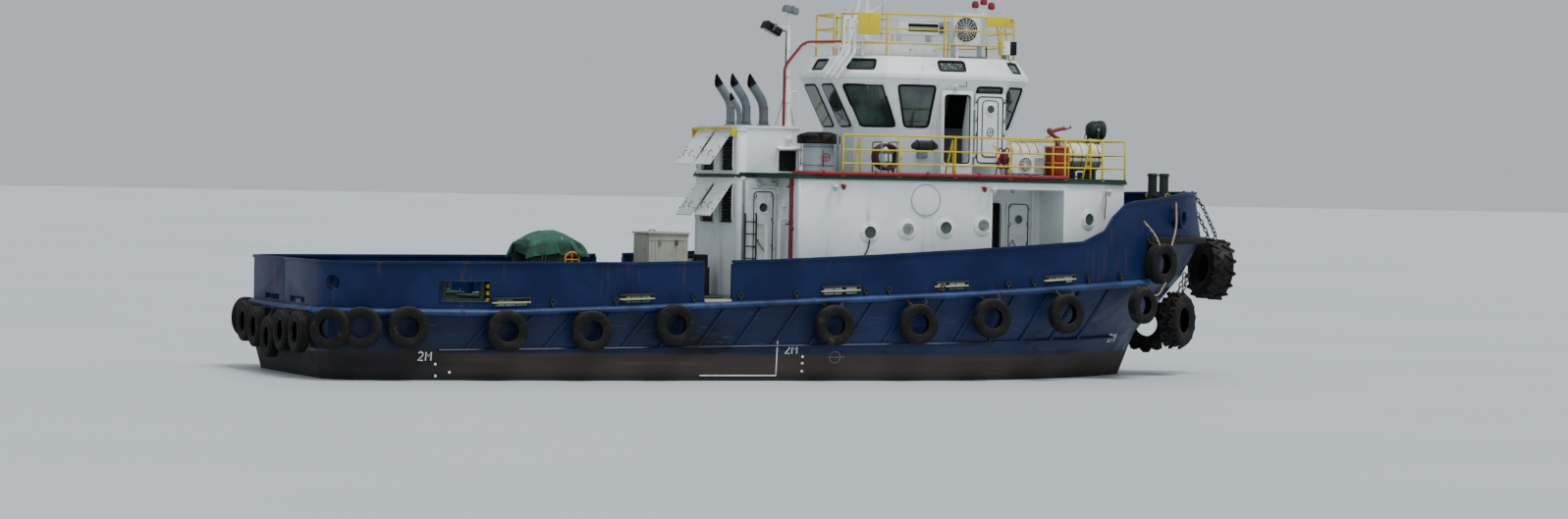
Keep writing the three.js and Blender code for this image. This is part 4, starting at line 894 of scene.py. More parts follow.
    def tube(self, points: Sequence[Point], radius: float, finish: Finish, steps: int = 10,
             closed: bool = False) -> "Form":
        """Adds a round bar along a line of points.

        Args:
            points: the line.
            radius: its radius.
            finish: its finish.
            steps: how many faces go round.
            closed: whether the line closes on itself.

        Returns:
            The form itself.
        """
        line = [Vector(point) for point in points]
        count = len(line)
        rings = []
        side = None
        for k, point in enumerate(line):
            before = line[k - 1] if k or closed else point
            after = line[(k + 1) % count] if k < count - 1 or closed else point
            ahead = (after - before).normalized()
            if side is None:
                side = ahead.orthogonal().normalized()
            side = (side - ahead * side.dot(ahead)).normalized()
            other = ahead.cross(side)
            rings.append([point + (side * math.cos(a) + other * math.sin(a)) * radius for a in turns(steps)])
        return self.loft(rings, finish, closed)

    def take(self, piece: bpy.types.Object, finish: Finish) -> "Form":
        """Adds another object's mesh and removes the object.

        Args:
            piece: the object.
            finish: its finish.

        Returns:
            The form itself.
        """
        before = len(self.mesh.faces)
        self.mesh.from_mesh(piece.data)
        self.mesh.faces.ensure_lookup_table()
        bpy.data.objects.remove(piece)
        self._dress(list(self.mesh.faces)[before:], finish)
        return self

    def done(self, name: str, body: str = BOAT, replaces: Sequence[str] = (),
             sharp: float = 38) -> bpy.types.Object:
        """Ends the piece.

        Args:
            name: its name.
            body: the body that it rides on.
            replaces: the CAD nodes that it stands for.
            sharp: the angle in degrees past which an edge stays sharp.

        Returns:
            The finished object.
        """
        return finished(object_of(self.mesh, name), self.finishes, body, replaces, sharp)


def finished(piece: bpy.types.Object, finishes: Sequence[Finish], body: str = BOAT,
             replaces: Sequence[str] = (), sharp: float = 38) -> bpy.types.Object:
    """Links a piece into the scene, dresses it and lets it ride.

    Args:
        piece: the object, its place in its mesh.
        finishes: its finishes, in the order of its faces' numbers.
        body: the body that it rides on.
        replaces: the CAD nodes that it stands for.
        sharp: the angle in degrees past which an edge stays sharp.

    Returns:
        The same object.
    """
    bpy.context.scene.collection.objects.link(piece)
    numbers = [face.material_index for face in piece.data.polygons]
    piece.data.materials.clear()
    for finish in finishes:
        piece.data.materials.append(finish.material)
    piece.data.polygons.foreach_set("material_index", numbers)
    piece.data.set_sharp_from_angle(angle=math.radians(sharp))
    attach(piece, body)
    if replaces:
        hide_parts(*replaces)
    log.info("%s: %d faces on %s", piece.name, len(piece.data.polygons), body)
    return piece


@dataclass
class Carried:
    """A CAD node's own shape carried over as a merged copy, with smooth faces and softened edges.

    Attributes:
        node: the CAD node.
        finish: its finish.
        body: the body that it rides on.
        edge: how wide its sharp edges are rounded, in metres.
        sharp: the angle in degrees past which an edge stays sharp.
        flat: the area in square metres past which a face is shaded flat.
    """

    node: str
    finish: Finish
    body: str = BOAT
    edge: float = 0.0
    sharp: float = 38
    flat: float = 2.2

    def build(self) -> bpy.types.Object:
        """Builds the copy, in place of the node."""
        mesh = bmesh.new()
        mesh.from_mesh(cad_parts[self.node].data)
        bmesh.ops.remove_doubles(mesh, verts=mesh.verts, dist=2e-4)
        if self.edge:
            bmesh.ops.dissolve_limit(mesh, angle_limit=math.radians(0.4), verts=mesh.verts, edges=mesh.edges)
        limit = math.radians(self.sharp)
        hard = dict.fromkeys(e for e in mesh.edges if e.is_manifold and e.calc_face_angle(0) > limit)
        for face in mesh.faces:
            face.smooth = face.calc_area() < self.flat and not all(e in hard for e in face.edges)
            face.material_index = 0
        if self.edge:
            round_faces = bmesh.ops.bevel(mesh, geom=list(hard), offset=self.edge, segments=2, profile=0.6,
                                          affect="EDGES", clamp_overlap=True)["faces"]
            for face in round_faces:
                face.smooth = True
        return finished(object_of(mesh, f"{self.node}_shape"), [self.finish], self.body, [self.node],
                        self.sharp)


# Geometry Nodes

class Growth:
    """A Geometry Nodes tree with named sizes, which grows repeated detail on a mesh or a curve."""

    def __init__(self, name: str, **sizes: float) -> None:
        """Starts the tree.

        Args:
            name: its name.
            sizes: its inputs and their usual values; whole numbers stay whole.
        """
        self.tree = bpy.data.node_groups.new(name, "GeometryNodeTree")
        face = self.tree.interface
        face.new_socket("Geometry", in_out="INPUT", socket_type="NodeSocketGeometry")
        self.inputs = {}
        for key, value in sizes.items():
            kind = "NodeSocketInt" if isinstance(value, int) else "NodeSocketFloat"
            socket = face.new_socket(key, in_out="INPUT", socket_type=kind)
            socket.default_value = value
            self.inputs[key] = socket.identifier
        face.new_socket("Geometry", in_out="OUTPUT", socket_type="NodeSocketGeometry")
        self.entry = self.tree.nodes.new("NodeGroupInput")
        self.exit = self.tree.nodes.new("NodeGroupOutput")

    def size(self, name: str) -> bpy.types.NodeSocket:
        """The socket of a named size."""
        return self.entry.outputs[name]

    def node(self, kind: str, settings: dict[str, Any] | None = None,
             inputs: dict[str | int, Any] | None = None) -> Sequence[bpy.types.NodeSocket]:
        """Adds any node.

        Args:
            kind: the node's type.
            settings: its properties, which are set first.
            inputs: values or sockets by socket name or number.

        Returns:
            The node's outputs.
        """
        made = self.tree.nodes.new(kind)
        for key, value in (settings or {}).items():
            setattr(made, key, value)
        for key, value in (inputs or {}).items():
            if isinstance(value, bpy.types.NodeSocket):
                self.tree.links.new(value, made.inputs[key])
            else:
                made.inputs[key].default_value = value
        return made.outputs

    def maths(self, operation: str, *values: Any) -> bpy.types.NodeSocket:
        """A Math node on sockets and numbers."""
        return self.node("ShaderNodeMath", {"operation": operation}, dict(enumerate(values)))[0]

    def vector(self, x: Any = 0.0, y: Any = 0.0, z: Any = 0.0) -> bpy.types.NodeSocket:
        """A vector of sockets and numbers."""
        return self.node("ShaderNodeCombineXYZ", {}, {0: x, 1: y, 2: z})[0]

    def odd(self) -> bpy.types.NodeSocket:
        """1 at every second point and 0 between."""
        return self.maths("MODULO", self.node("GeometryNodeInputIndex")[0], 2.0)

    def end(self, size: str, instance: bpy.types.NodeSocket, turn: bpy.types.NodeSocket,
            finish: Finish) -> "Growth":
        """Sets one thing along the seed's lines, gives it its finish and ends the tree.

        Args:
            size: "Count" or "Pitch", the named size that spaces it.
            instance: the thing's geometry.
            turn: its rotation at each point.
            finish: its finish.

        Returns:
            The growth itself.
        """
        mode, key = ("COUNT", "Count") if size == "Count" else ("LENGTH", "Length")
        line = self.node("GeometryNodeResampleCurve", {"mode": mode}, {"Curve": self.entry.outputs[0],
                                                                       key: self.size(size)})
        placed = self.node("GeometryNodeInstanceOnPoints", {}, {"Points": line[0], "Instance": instance,
                                                                "Rotation": turn})
        real = self.node("GeometryNodeRealizeInstances", {}, {0: placed[0]})
        dressed = self.node("GeometryNodeSetMaterial", {}, {"Geometry": real[0], "Material": finish.material})
        self.tree.links.new(dressed[0], self.exit.inputs[0])
        return self

    def grow(self, seed: bpy.types.Object, **sizes: float) -> bpy.types.Object:
        """Runs the tree on an object.

        Args:
            seed: the mesh or curve that the tree starts from, which is used up.
            sizes: sizes that differ from the usual ones.

        Returns:
            A plain mesh object, not yet in the scene.
        """
        scene = bpy.context.scene.collection
        scene.objects.link(seed)
        modifier = seed.modifiers.new("growth", "NODES")
        modifier.node_group = self.tree
        for key, value in sizes.items():
            modifier[self.inputs[key]] = value
        evaluated = seed.evaluated_get(bpy.context.evaluated_depsgraph_get())
        data = bpy.data.meshes.new_from_object(evaluated)
        seed.modifiers.remove(modifier)
        bpy.data.objects.remove(seed)
        return bpy.data.objects.new("grown", data)


def lines(paths: Sequence[Sequence[Point]], closed: bool = False) -> bpy.types.Object:
    """A curve object of straight pieces, for a growth to follow.

    Args:
        paths: the points of each line.
        closed: whether each line closes on itself.

    Returns:
        The curve object, not yet in the scene.
    """
    curve = bpy.data.curves.new("path", "CURVE")
    curve.dimensions = "3D"
    for path in paths:
        spline = curve.splines.new("POLY")
        spline.points.add(len(path) - 1)
        for point, place in zip(spline.points, path):
            point.co = (*place, 1)
        spline.use_cyclic_u = closed
    return bpy.data.objects.new("path", curve)


def chain_growth(finish: Finish) -> Growth:
    """The growth that turns lines into chains: links every pitch, each turned a quarter from the last.

    Args:
        finish: the links' finish.

    Returns:
        The growth, with Pitch and Wire sizes.
    """
    growth = Growth("chain", Pitch=0.075, Wire=0.011)
    half = growth.maths("MULTIPLY", growth.size("Pitch"), 0.66)
    loop = growth.node("GeometryNodeCurvePrimitiveCircle", {}, {"Resolution": 10, "Radius": 1.0})
    size = growth.vector(growth.maths("MULTIPLY", half, 0.6), 1.0, half)
    turned = growth.node("GeometryNodeTransform", {}, {"Geometry": loop[0], "Rotation": (math.pi / 2, 0, 0)})
    long = growth.node("GeometryNodeTransform", {}, {"Geometry": turned[0], "Scale": size})
    section = growth.node("GeometryNodeCurvePrimitiveCircle", {}, {"Resolution": 5,
                                                                   "Radius": growth.size("Wire")})
    link = growth.node("GeometryNodeCurveToMesh", {}, {"Curve": long[0], "Profile Curve": section[0]})
    tangent = growth.node("GeometryNodeInputTangent")
    aimed = growth.node("FunctionNodeAlignRotationToVector", {"axis": "Z"}, {"Vector": tangent[0]})
    spin = growth.vector(z=growth.maths("MULTIPLY", growth.odd(), math.pi / 2))
    rotated = growth.node("FunctionNodeRotateRotation", {"rotation_space": "LOCAL"},
                          {"Rotation": aimed[0], "Rotate By": spin})
    return growth.end("Pitch", link[0], rotated[0], finish)


def grown_piece(growth: Growth, finish: Finish, name: str, paths: Sequence[Sequence[Point]],
                closed: bool = False, sharp: float = 40, **sizes: float) -> None:
    """Grows detail along lines and finishes it as a piece of its own on the boat's body.

    Args:
        growth: the growth.
        finish: its finish.
        name: the piece's name.
        paths: the points of each line.
        closed: whether each line closes on itself.
        sharp: the angle in degrees past which an edge stays sharp.
        sizes: sizes that differ from the growth's usual ones.
    """
    piece = growth.grow(lines(paths, closed), **sizes)
    piece.name = piece.data.name = name
    finished(piece, [finish], sharp=sharp)


def hang_chains(name: str, paths: Sequence[Sequence[Point]], **sizes: float) -> None:
    """Hangs chains along lines, as one piece."""
    grown_piece(chain_growth(CHAIN_STEEL), CHAIN_STEEL, name, paths, sharp=80, **sizes)


# The boat's finishes

def coat(kind: type[Finish], name: str, slot: Slot, codes: str, **amounts: Any) -> Finish:
    """A finish whose first colours are given by their codes.

    Args:
        kind: the finish's class.
        name: its name.
        slot: its slot.
        codes: the hexadecimal codes of its first colours, with blanks between.
        amounts: its further fields.

    Returns:
        The finish.
    """
    return kind(name, slot, *(linear(code) for code in codes.split()), **amounts)


NAVY = HullPaint("hull_coats", Slot.HULL)
BLUE = coat(Paint, "bulwark_blue", Slot.BLUE, "0e1c42 15264e 141a28", dirt=0.3, runs=0.25, chips=0.3,
            rough=0.42, dents=0.008, shine=0.14)
BELT = coat(Paint, "strake_blue", Slot.BLUE, "12264f 2c4674 12141a", dirt=0.7, runs=0.4, chips=0.8,
            rough=0.45)
WHITE = coat(Paint, "house_white", Slot.WHITE, "e9edee dde3e5 a3a59f", dirt=0.2, runs=0.3, chips=0.12,
             rough=0.4, dents=0.005, top=linear("7d8480"))
TRIM = coat(Paint, "trim_white", Slot.WHITE, "eceeed dfe3e1 9c9b94", dirt=0.25, runs=0.35, chips=0.2,
            rough=0.4)
GREY = coat(Paint, "stack_grey", Slot.STEEL, "7d868c 6a7278 3c3a38", dirt=0.5, runs=0.5, chips=0.3, rough=0.5)
YELLOW = coat(Paint, "rail_yellow", Slot.YELLOW, "d8c01c c2ab2c 6c5a2c", dirt=0.35, runs=0.5, chips=0.45,
              rough=0.42)
RED = coat(Paint, "pipe_red", Slot.RED, "8c1f28 7a2a2f 3d2320", dirt=0.35, runs=0.3, chips=0.3, rough=0.42)
DECK_GREEN = coat(Paint, "deck_green", Slot.DARK, "20382f 2c4238 2b2a25", dirt=0.5, runs=0.3, chips=0.4,
                  rough=0.6, dents=0.003)
GEAR = coat(Paint, "gear_dark", Slot.DARK, "23302b 1b2421 3a3026", dirt=0.6, runs=0.5, chips=0.7, rough=0.55)
BEIGE = coat(Paint, "locker_beige", Slot.STEEL, "a7a79a 98988c 6b6455", dirt=0.5, runs=0.7, chips=0.4,
             rough=0.5, dents=0.004)
STEEL = Metal("worn_steel", Slot.STEEL)
CHAIN_STEEL = coat(Metal, "chain_steel", Slot.STEEL, "5b5754 3b3634", rust=0.9, rough=0.5)
BRONZE = coat(Metal, "propeller_bronze", Slot.BRONZE, "9a7440 5f5a38", rust=0.1, rough=0.3)
TYRE = Rubber("tyre_rubber", Slot.RUBBER)
FENDER = coat(Rubber, "bow_rubber", Slot.RUBBER, "141313 3a342e", dusty=0.6)
GASKET = coat(Rubber, "window_gasket", Slot.RUBBER, "0f1011 2a2b2b", dusty=0.3)
GLASS = Glass("window_glass", Slot.DARK)
DEADLIGHT = coat(Glass, "pale_glass", Slot.WHITE, "8f9c9d c9cfce", share=0.7)
SOOT = coat(Metal, "sooty_steel", Slot.DARK, "2b2c2e 161616", rust=0.25, rough=0.6)
PALE = coat(Paint, "ventilator_grey", Slot.WHITE, "a9b3b8 98a3a9 6f7370", dirt=0.3, runs=0.3, chips=0.15,
            rough=0.45, dents=0.002)
AMBER = coat(Paint, "frame_amber", Slot.YELLOW, "d08a16 b87c22 6a5230", dirt=0.3, runs=0.4, chips=0.4,
             rough=0.45)
SILL = coat(Paint, "sill_cream", Slot.WHITE, "c9c49a b5b08e 77705c", dirt=0.35, runs=0.3, chips=0.4,
            rough=0.5)
LIME = coat(Paint, "cap_lime", Slot.YELLOW, "a8b83a 98a545 5e5f34", dirt=0.3, runs=0.2, chips=0.3, rough=0.45)
CANISTER = HalfPaint("raft_shell", Slot.WHITE)
HOSE = coat(Rubber, "brown_hose", Slot.RUBBER, "4a3230 8a6f68", dusty=0.6)
ROPE = Rope("hemp_rope", Slot.WHITE)
TARPAULIN = Canvas("winch_canvas", Slot.GREEN)


@dataclass(frozen=True)
class Finishes:
    """The finish of every CAD node, shown or stood for.

    Attributes:
        groups: a finish and its nodes' names, where * stands for each side's word.
    """

    groups: tuple[tuple[Finish, str], ...] = (
        (NAVY, "hull strake_lower_* rudder_*"),
        (BLUE, "bulwark_fore bulwark_aft_*"),
        (BELT, "strake_upper_* strake_stern"),
        (FENDER, "bow_fender"),
        (TYRE, "bow_tyre_stem bow_tyre_low_*"),
        (BRONZE, "propeller_*"),
        (WHITE, "deckhouse casing_lower casing_upper wheelhouse wheelhouse_roof ventilator_* casing_door"
                " house_door_* wheelhouse_door_*"),
        (DECK_GREEN, "upper_deck"),
        (GREY, "exhaust_stacks"),
        (YELLOW, "rail_upper_deck rail_wheelhouse_top fairlead_frame_*"),
        (GEAR, "winch_frame towing_bitt hook_pedestal bow_bitt windlass_frame windlass_drum searchlight"),
        (STEEL, "winch_drum tow_hook"),
        (TARPAULIN, "winch_cover"),
        (BEIGE, "deck_locker deck_locker_lid"),
        (RED, "fire_monitor"),
        (TRIM, "liferaft_* deck_cooling_unit lamp_pole roof_locker roof_cooling_unit mast radar_scanner"
               " casing_flap_upper_* casing_flap_lower_*"),
    )

    def dress(self) -> None:
        """Gives every CAD node its finish."""
        names = {name.replace("*", side.word): finish for finish, group in self.groups
                 for name in group.split() for side in Side}
        for name, finish in names.items():
            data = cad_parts[name].data
            data.materials.clear()
            data.materials.append(finish.material)
        log.info("finishes on %d nodes", len(names))


# The hull's lines

@dataclass(frozen=True)
class Waterplane:
    """The starboard half outline of the hull at one level, from stern to stem.

    Attributes:
        stern: x of the transom.
        flat: half breadth where the transom's corner starts.
        corner: length of the corner.
        aft_beam: half breadth after the corner.
        beam: greatest half breadth.
        shoulder: x where the bow's curve starts.
        tip: x of the stem.
        nose: half breadth at the stem.
        power: how full the bow is.
    """

    stern: float
    flat: float
    corner: float
    aft_beam: float
    beam: float
    shoulder: float
    tip: float
    nose: float
    power: float

    def points(self) -> list[tuple[float, float]]:
        """The outline's [x, half breadth] points."""
        side_start = self.stern + self.corner
        angles = [math.radians(angle) for angle in (0, 30, 60, 90)]
        stern = [(self.stern + self.corner * (1 - math.cos(a)), self.flat + (self.aft_beam - self.flat)
                  * math.sin(a)) for a in angles]
        side = [(side_start + share * (self.shoulder - side_start),
                 self.aft_beam + (self.beam - self.aft_beam) * min(1.0, 2.4 * share))
                for share in (0.2, 0.42, 0.64, 0.82, 1.0)]
        bow = [(self.shoulder + share * (self.tip - self.shoulder),
                self.nose + (self.beam - self.nose) * (1 - share ** 2) ** self.power)
               for share in (0.2, 0.38, 0.54, 0.67, 0.78, 0.87, 0.94, 0.985)]
        return [*stern, *side, *bow, (self.tip, self.nose)]


@dataclass
class Lines:
    """The heights and half breadths that the fittings on the hull's side are placed by.

    Attributes:
        deck_plane: the deck's half outline.
        deck_line: x and height of the deck's edge.
        stem_rake: how far the stem leans back at its head.
        belt_drop: how far the upper belt's middle is below the deck.
    """

    deck_plane: Waterplane = Waterplane(-11.4, 2.6, 1.0, 3.45, 3.6, 4.0, 11.35, 0.3, 0.65)
    deck_line: tuple = ((-11.4, 1.58), (-7.52, 1.58), (-3.45, 1.73), (0.0, 1.89), (4.0, 2.08), (8.3, 2.34),
                        (11.35, 2.45))
    stem_rake: float = 0.55
    belt_drop: float = 0.08

    def deck(self, x: float) -> float:
        """Height of the deck's edge."""
        return along(self.deck_line, x)

    def belt(self, x: float) -> float:
        """Height of the upper belt's middle."""
        return self.deck(x) - self.belt_drop

    def breadth(self, x: float) -> float:
        """Half breadth of the deck."""
        return along(self.deck_plane.points(), x)

    def edge(self) -> list[tuple[float, float]]:
        """The deck's edge with the stem's rake."""
        return [(x - self.stem_rake * max(0.0, (x - 8.75) / 2.6) ** 1.3, y)
                for x, y in self.deck_plane.points()]

    @staticmethod
    def outward(x: float) -> tuple[float, float]:
        """The direction out of the starboard side in plan.

        Args:
            x: where along the hull.

        Returns:
            Its X and its Y, with Y positive.
        """
        ahead = 0.0
        if x < -10.4:
            ahead = -math.cos((x + 11.4) * math.pi / 2)
        elif x > 5:
            ahead = math.sin(min(1.0, (x - 5) / 6.2) * 1.15)
        return ahead, math.sqrt(1 - ahead ** 2)


LINES = Lines()


# Fender belts, tyres and chains

HALF_ROUND = [math.pi * k / 8 - math.pi / 2 for k in range(9)]


@dataclass(frozen=True)
class Tyre:
    """One fender tyre and the chains that it hangs on, on the starboard side.

    Attributes:
        centre: its middle.
        outward: its axis, away from the hull.
        hang: height of its chains' upper ends.
        radius: its outer radius.
        width: its width.
        reach: how far inboard of its middle the chains start, in widths.
    """

    centre: tuple[float, float, float]
    outward: tuple[float, float, float]
    hang: float
    radius: float = 0.46
    width: float = 0.28
    reach: float = 0.62

    def profile(self) -> list[tuple[float, float]]:
        """Radius and height rows round the tyre's section, with its beads, walls, shoulders and grooves."""
        r, h = self.radius, self.width / 2
        outer = [(0.53, 0.5), (0.50, 0.62), (0.53, 0.74), (0.60, 0.80), (0.70, 0.96), (0.78, 1.0),
                 (0.88, 0.95), (0.945, 0.84), (0.985, 0.70), (1.0, 0.50), (1.0, 0.34), (0.972, 0.32),
                 (0.972, 0.24), (1.0, 0.22)]
        inner = [(0.62, 0.60), (0.74, 0.80), (0.90, 0.66), (0.94, 0.0)]
        out = [(r * a, h * b) for a, b in outer]
        hollow = [(r * a, h * b) for a, b in inner]
        back = [(a, -b) for a, b in reversed(out)]
        return [*out, *back, *[(a, -b) for a, b in hollow], *[(a, b) for a, b in reversed(hollow[:-1])]]

    def chains(self) -> list[list[Vector]]:
        """The lines of its two chains, from the hull to the tyre's upper part and round its tread."""
        x, y, z = self.centre
        plan = Vector((self.outward[0], self.outward[1], 0)).normalized()
        along_hull = Vector((-plan.y, plan.x, 0))
        paths = []
        for side in (-1, 1):
            inboard = plan * self.width * self.reach
            top = Vector((x, y, self.hang)) + along_hull * side * self.radius * 0.55 - inboard
            low = Vector((x, y, z + self.radius * 0.75)) + along_hull * side * self.radius * 0.3
            sag = (top + low) / 2 + plan * 0.05 - Vector((0, 0, 0.02))
            paths.append(bent([top, sag, low + plan * 0.03, low + Vector((0, 0, -0.06))], 0.12, 4))
        return paths

    def join(self, form: Form, flip: Matrix, steps: int = 36) -> list[list[Vector]]:
        """Adds the tyre to a form.

        Args:
            form: the form.
            flip: the mirror that takes it to its side of the boat.
            steps: how many faces go round.

        Returns:
            The lines of its chains, on that side.
        """
        form.turned(self.profile(), flip @ Vector(self.centre), flip @ Vector(self.outward), TYRE, steps,
                    True)
        return [[flip @ point for point in path] for path in self.chains()]


@dataclass
class Fenders:
    """The belts round the hull and every tyre that hangs on them.

    Attributes:
        side_tyres: x and height of the tyres' middles on each side.
        stern_tyres: y and height of the tyres' middles on the transom.
        half: half the upper belt's height.
        depth: how far the belt stands off.
        stern_x: x of the transom.
    """

    side_tyres: tuple = ((-10.71, 1.15), (-9.69, 1.17), (-7.43, 1.1), (-5.5, 1.11), (-3.54, 1.26),
                         (0.29, 1.27), (2.36, 1.31), (4.2, 1.45), (6.19, 1.56))
    stern_tyres: tuple = ((2.18, 1.08), (1.25, 0.99), (0.15, 0.8), (-0.95, 0.99), (-2.15, 1.0))
    half: float = 0.09
    depth: float = 0.15
    stern_x: float = -11.4

    def tyres(self) -> list[Tyre]:
        """The starboard side's tyres, from the stern corner to the bow."""
        made = [Tyre((-11.33, -3.45, 1.13), (-0.64, -0.77, 0), LINES.belt(-11.4))]
        for x, z in self.side_tyres:
            slope = (LINES.breadth(x + 0.4) - LINES.breadth(x - 0.4)) / 0.8
            y = -(LINES.breadth(x) + self.depth + 0.12)
            made.append(Tyre((x, y, z), (-slope, -1, 0), LINES.belt(x)))
        made.append(Tyre((8.54, -2.91, 1.74), (0.43, -0.9, 0), LINES.belt(8.54), 0.43, 0.28, 0.5))
        return made

    def belt_rings(self, last: float) -> list[list[Point]]:
        """Sections of the half-round upper belt on the starboard side.

        Args:
            last: x of its fore end.

        Returns:
            The sections, from the stern forward.
        """
        stations = [(x, y) for x, y in LINES.edge() if x < last] + [(last, along(LINES.edge(), last))]
        rings = []
        for x, y in stations:
            ahead, out = LINES.outward(x)
            low, high = LINES.belt(x) - self.half, LINES.belt(x) + self.half - 0.015
            middle, reach = (low + high) / 2, (high - low) / 2
            ring = [(x + self.depth * math.cos(a) * ahead, -(y + self.depth * math.cos(a) * out),
                     middle + reach * math.sin(a)) for a in HALF_ROUND]
            back = [(x - 0.02 * ahead, -(y - 0.02 * out), high), (x - 0.02 * ahead, -(y - 0.02 * out), low)]
            rings.append([*ring, *back])
        return rings

    def side(self, side: Side) -> None:
        """Builds one side's belt, tyres and chains.

        Args:
            side: the side.
        """
        flip = Matrix.Diagonal((1, -side.value, 1, 1))
        belt = Form()
        belt.loft([[flip @ Vector(p) for p in ring] for ring in self.belt_rings(8.74)], BELT)
        belt.done(f"belt_{side.word}", replaces=[f"strake_upper_{side.word}"], sharp=50)
        self.row(side.word, self.tyres(), flip)

    @staticmethod
    def row(word: str, tyres: Sequence[Tyre], flip: Matrix) -> None:
        """Builds a row of tyres and their chains.

        Args:
            word: the end of the two pieces' names.
            tyres: the tyres.
            flip: the mirror that takes them to their side of the boat.
        """
        form = Form()
        paths = [path for tyre in tyres for path in tyre.join(form, flip)]
        form.done(f"tyres_{word}", sharp=60)
        hang_chains(f"tyre_chains_{word}", paths)

    def stern(self) -> None:
        """Builds the transom's belt, tyres and chains."""
        belt = Form()
        middle = LINES.belt(self.stern_x)
        high, low, back = middle + self.half, middle - self.half, self.stern_x + 0.02
        rings = []
        for y in (-2.58, 2.58):
            ring = [(self.stern_x - self.depth * math.cos(a), y, middle + self.half * math.sin(a))
                    for a in HALF_ROUND]
            rings.append([*ring, (back, y, high), (back, y, low)])
        belt.loft(rings, BELT)
        belt.done("belt_stern", replaces=["strake_stern"], sharp=50)
        x = self.stern_x - self.depth - 0.12
        tyres = [Tyre((x, y, z), (-1, 0, 0), middle) for y, z in self.stern_tyres]
        self.row("stern", tyres, Matrix.Identity(4))

    def build(self) -> None:
        """Builds every belt and tyre."""
        for side in Side:
            self.side(side)
        self.stern()


def tread_growth(finish: Finish) -> Growth:
    """The growth that sets tread blocks round a closed line, in a zigzag.

    Args:
        finish: the blocks' finish.

    Returns:
        The growth, with Count, Thick, Run and Wide sizes.
    """
    growth = Growth("tread", Count=48, Thick=0.06, Run=0.05, Wide=0.3)
    size = growth.vector(growth.size("Wide"), growth.size("Thick"), growth.size("Run"))
    block = growth.node("GeometryNodeMeshCube", {}, {"Size": size})
    axes = {"Primary Axis": growth.node("GeometryNodeInputTangent")[0],
            "Secondary Axis": growth.node("GeometryNodeInputNormal")[0]}
    aimed = growth.node("FunctionNodeAxesToRotation", {"primary_axis": "Z", "secondary_axis": "Y"}, axes)
    lean = growth.vector(y=growth.maths("MULTIPLY", growth.maths("SUBTRACT", growth.odd(), 0.5), 1.1))
    turned = growth.node("FunctionNodeRotateRotation", {"rotation_space": "LOCAL"},
                         {"Rotation": aimed[0], "Rotate By": lean})
    return growth.end("Count", block[0], turned[0], finish)


@dataclass
class BowTyre:
    """A big tread tyre at the bow, in place of its CAD node.

    Attributes:
        node: the CAD node.
        centre: its middle.
        axis: its axis.
        radius: its outer radius.
        width: its width.
        blocks: how many tread blocks go round.
        chains: the lines of its chains.
    """

    node: str
    centre: tuple[float, float, float]
    axis: tuple[float, float, float]
    radius: float
    width: float
    blocks: int
    chains: Sequence[Sequence[Point]] = ()

    def carcass(self) -> list[tuple[float, float]]:
        """Radius and height rows round the tyre's section."""
        r, h = self.radius, self.width / 2
        outer = [(0.50, 0.60), (0.47, 0.72), (0.51, 0.84), (0.58, 0.90), (0.66, 0.99), (0.74, 1.0),
                 (0.82, 0.97), (0.88, 0.92), (0.925, 0.86), (0.94, 0.78), (0.945, 0.4)]
        out = [(r * a, h * b) for a, b in outer]
        hollow = [(r * 0.58, h * 0.68), (r * 0.74, h * 0.86), (r * 0.86, h * 0.74), (r * 0.88, 0.0)]
        back = [(a, -b) for a, b in reversed(out)]
        return [*out, *back, *[(a, -b) for a, b in hollow], *reversed(hollow[:-1])]

    def build(self) -> None:
        """Builds the carcass with its tread, and the chains."""
        form = Form()
        form.turned(self.carcass(), self.centre, self.axis, FENDER, 64, True)
        place = Matrix.Translation(Vector(self.centre)) @ upright(self.axis)
        for row in (-0.27, 0.27):
            ring = [place @ Vector((0.955 * self.radius * math.cos(a), 0.955 * self.radius * math.sin(a),
                                    row * self.width))
                    for a in turns(96)]
            tread = tread_growth(FENDER).grow(lines([ring], True), Count=self.blocks,
                                              Thick=0.09 * self.radius, Run=2.2 * self.radius / self.blocks,
                                              Wide=self.width * 0.52)
            bpy.context.scene.collection.objects.link(tread)
            form.take(tread, FENDER)
        form.done(f"{self.node}_tread", replaces=[self.node], sharp=45)
        if self.chains:
            hang_chains(f"{self.node}_chains", self.chains, Pitch=0.1, Wire=0.016)


# Wheelhouse, deckhouse and casing

def rounded(corners: Sequence[Vector], radius: float, steps: int = 4) -> list[Vector]:
    """A closed outline with its corners rounded.

    Args:
        corners: the outline's corners.
        radius: how far from a corner its bend starts.
        steps: pieces in each bend.

    Returns:
        The rounded outline.
    """
    count = len(corners)
    outline = []
    for k, corner in enumerate(corners):
        before, after = corners[k - 1], corners[(k + 1) % count]
        piece = bent([(before + corner) / 2, corner, (after + corner) / 2], radius, steps)
        outline += piece[1:-1]
    return outline


def shifted(outline: Sequence[Vector], distance: float, normal: Vector) -> list[Vector]:
    """The same closed outline, grown by a distance in its own plane.

    Args:
        outline: the points of the outline.
        distance: how far it grows, or shrinks if negative.
        normal: the plane's normal.

    Returns:
        The grown outline.
    """
    middle = sum(outline, Vector()) / len(outline)
    grown = []
    for k, point in enumerate(outline):
        ahead = (outline[(k + 1) % len(outline)] - outline[k - 1]).normalized()
        out = ahead.cross(normal)
        if out.dot(point - middle) < 0:
            out = -out
        grown.append(point + out * distance)
    return grown


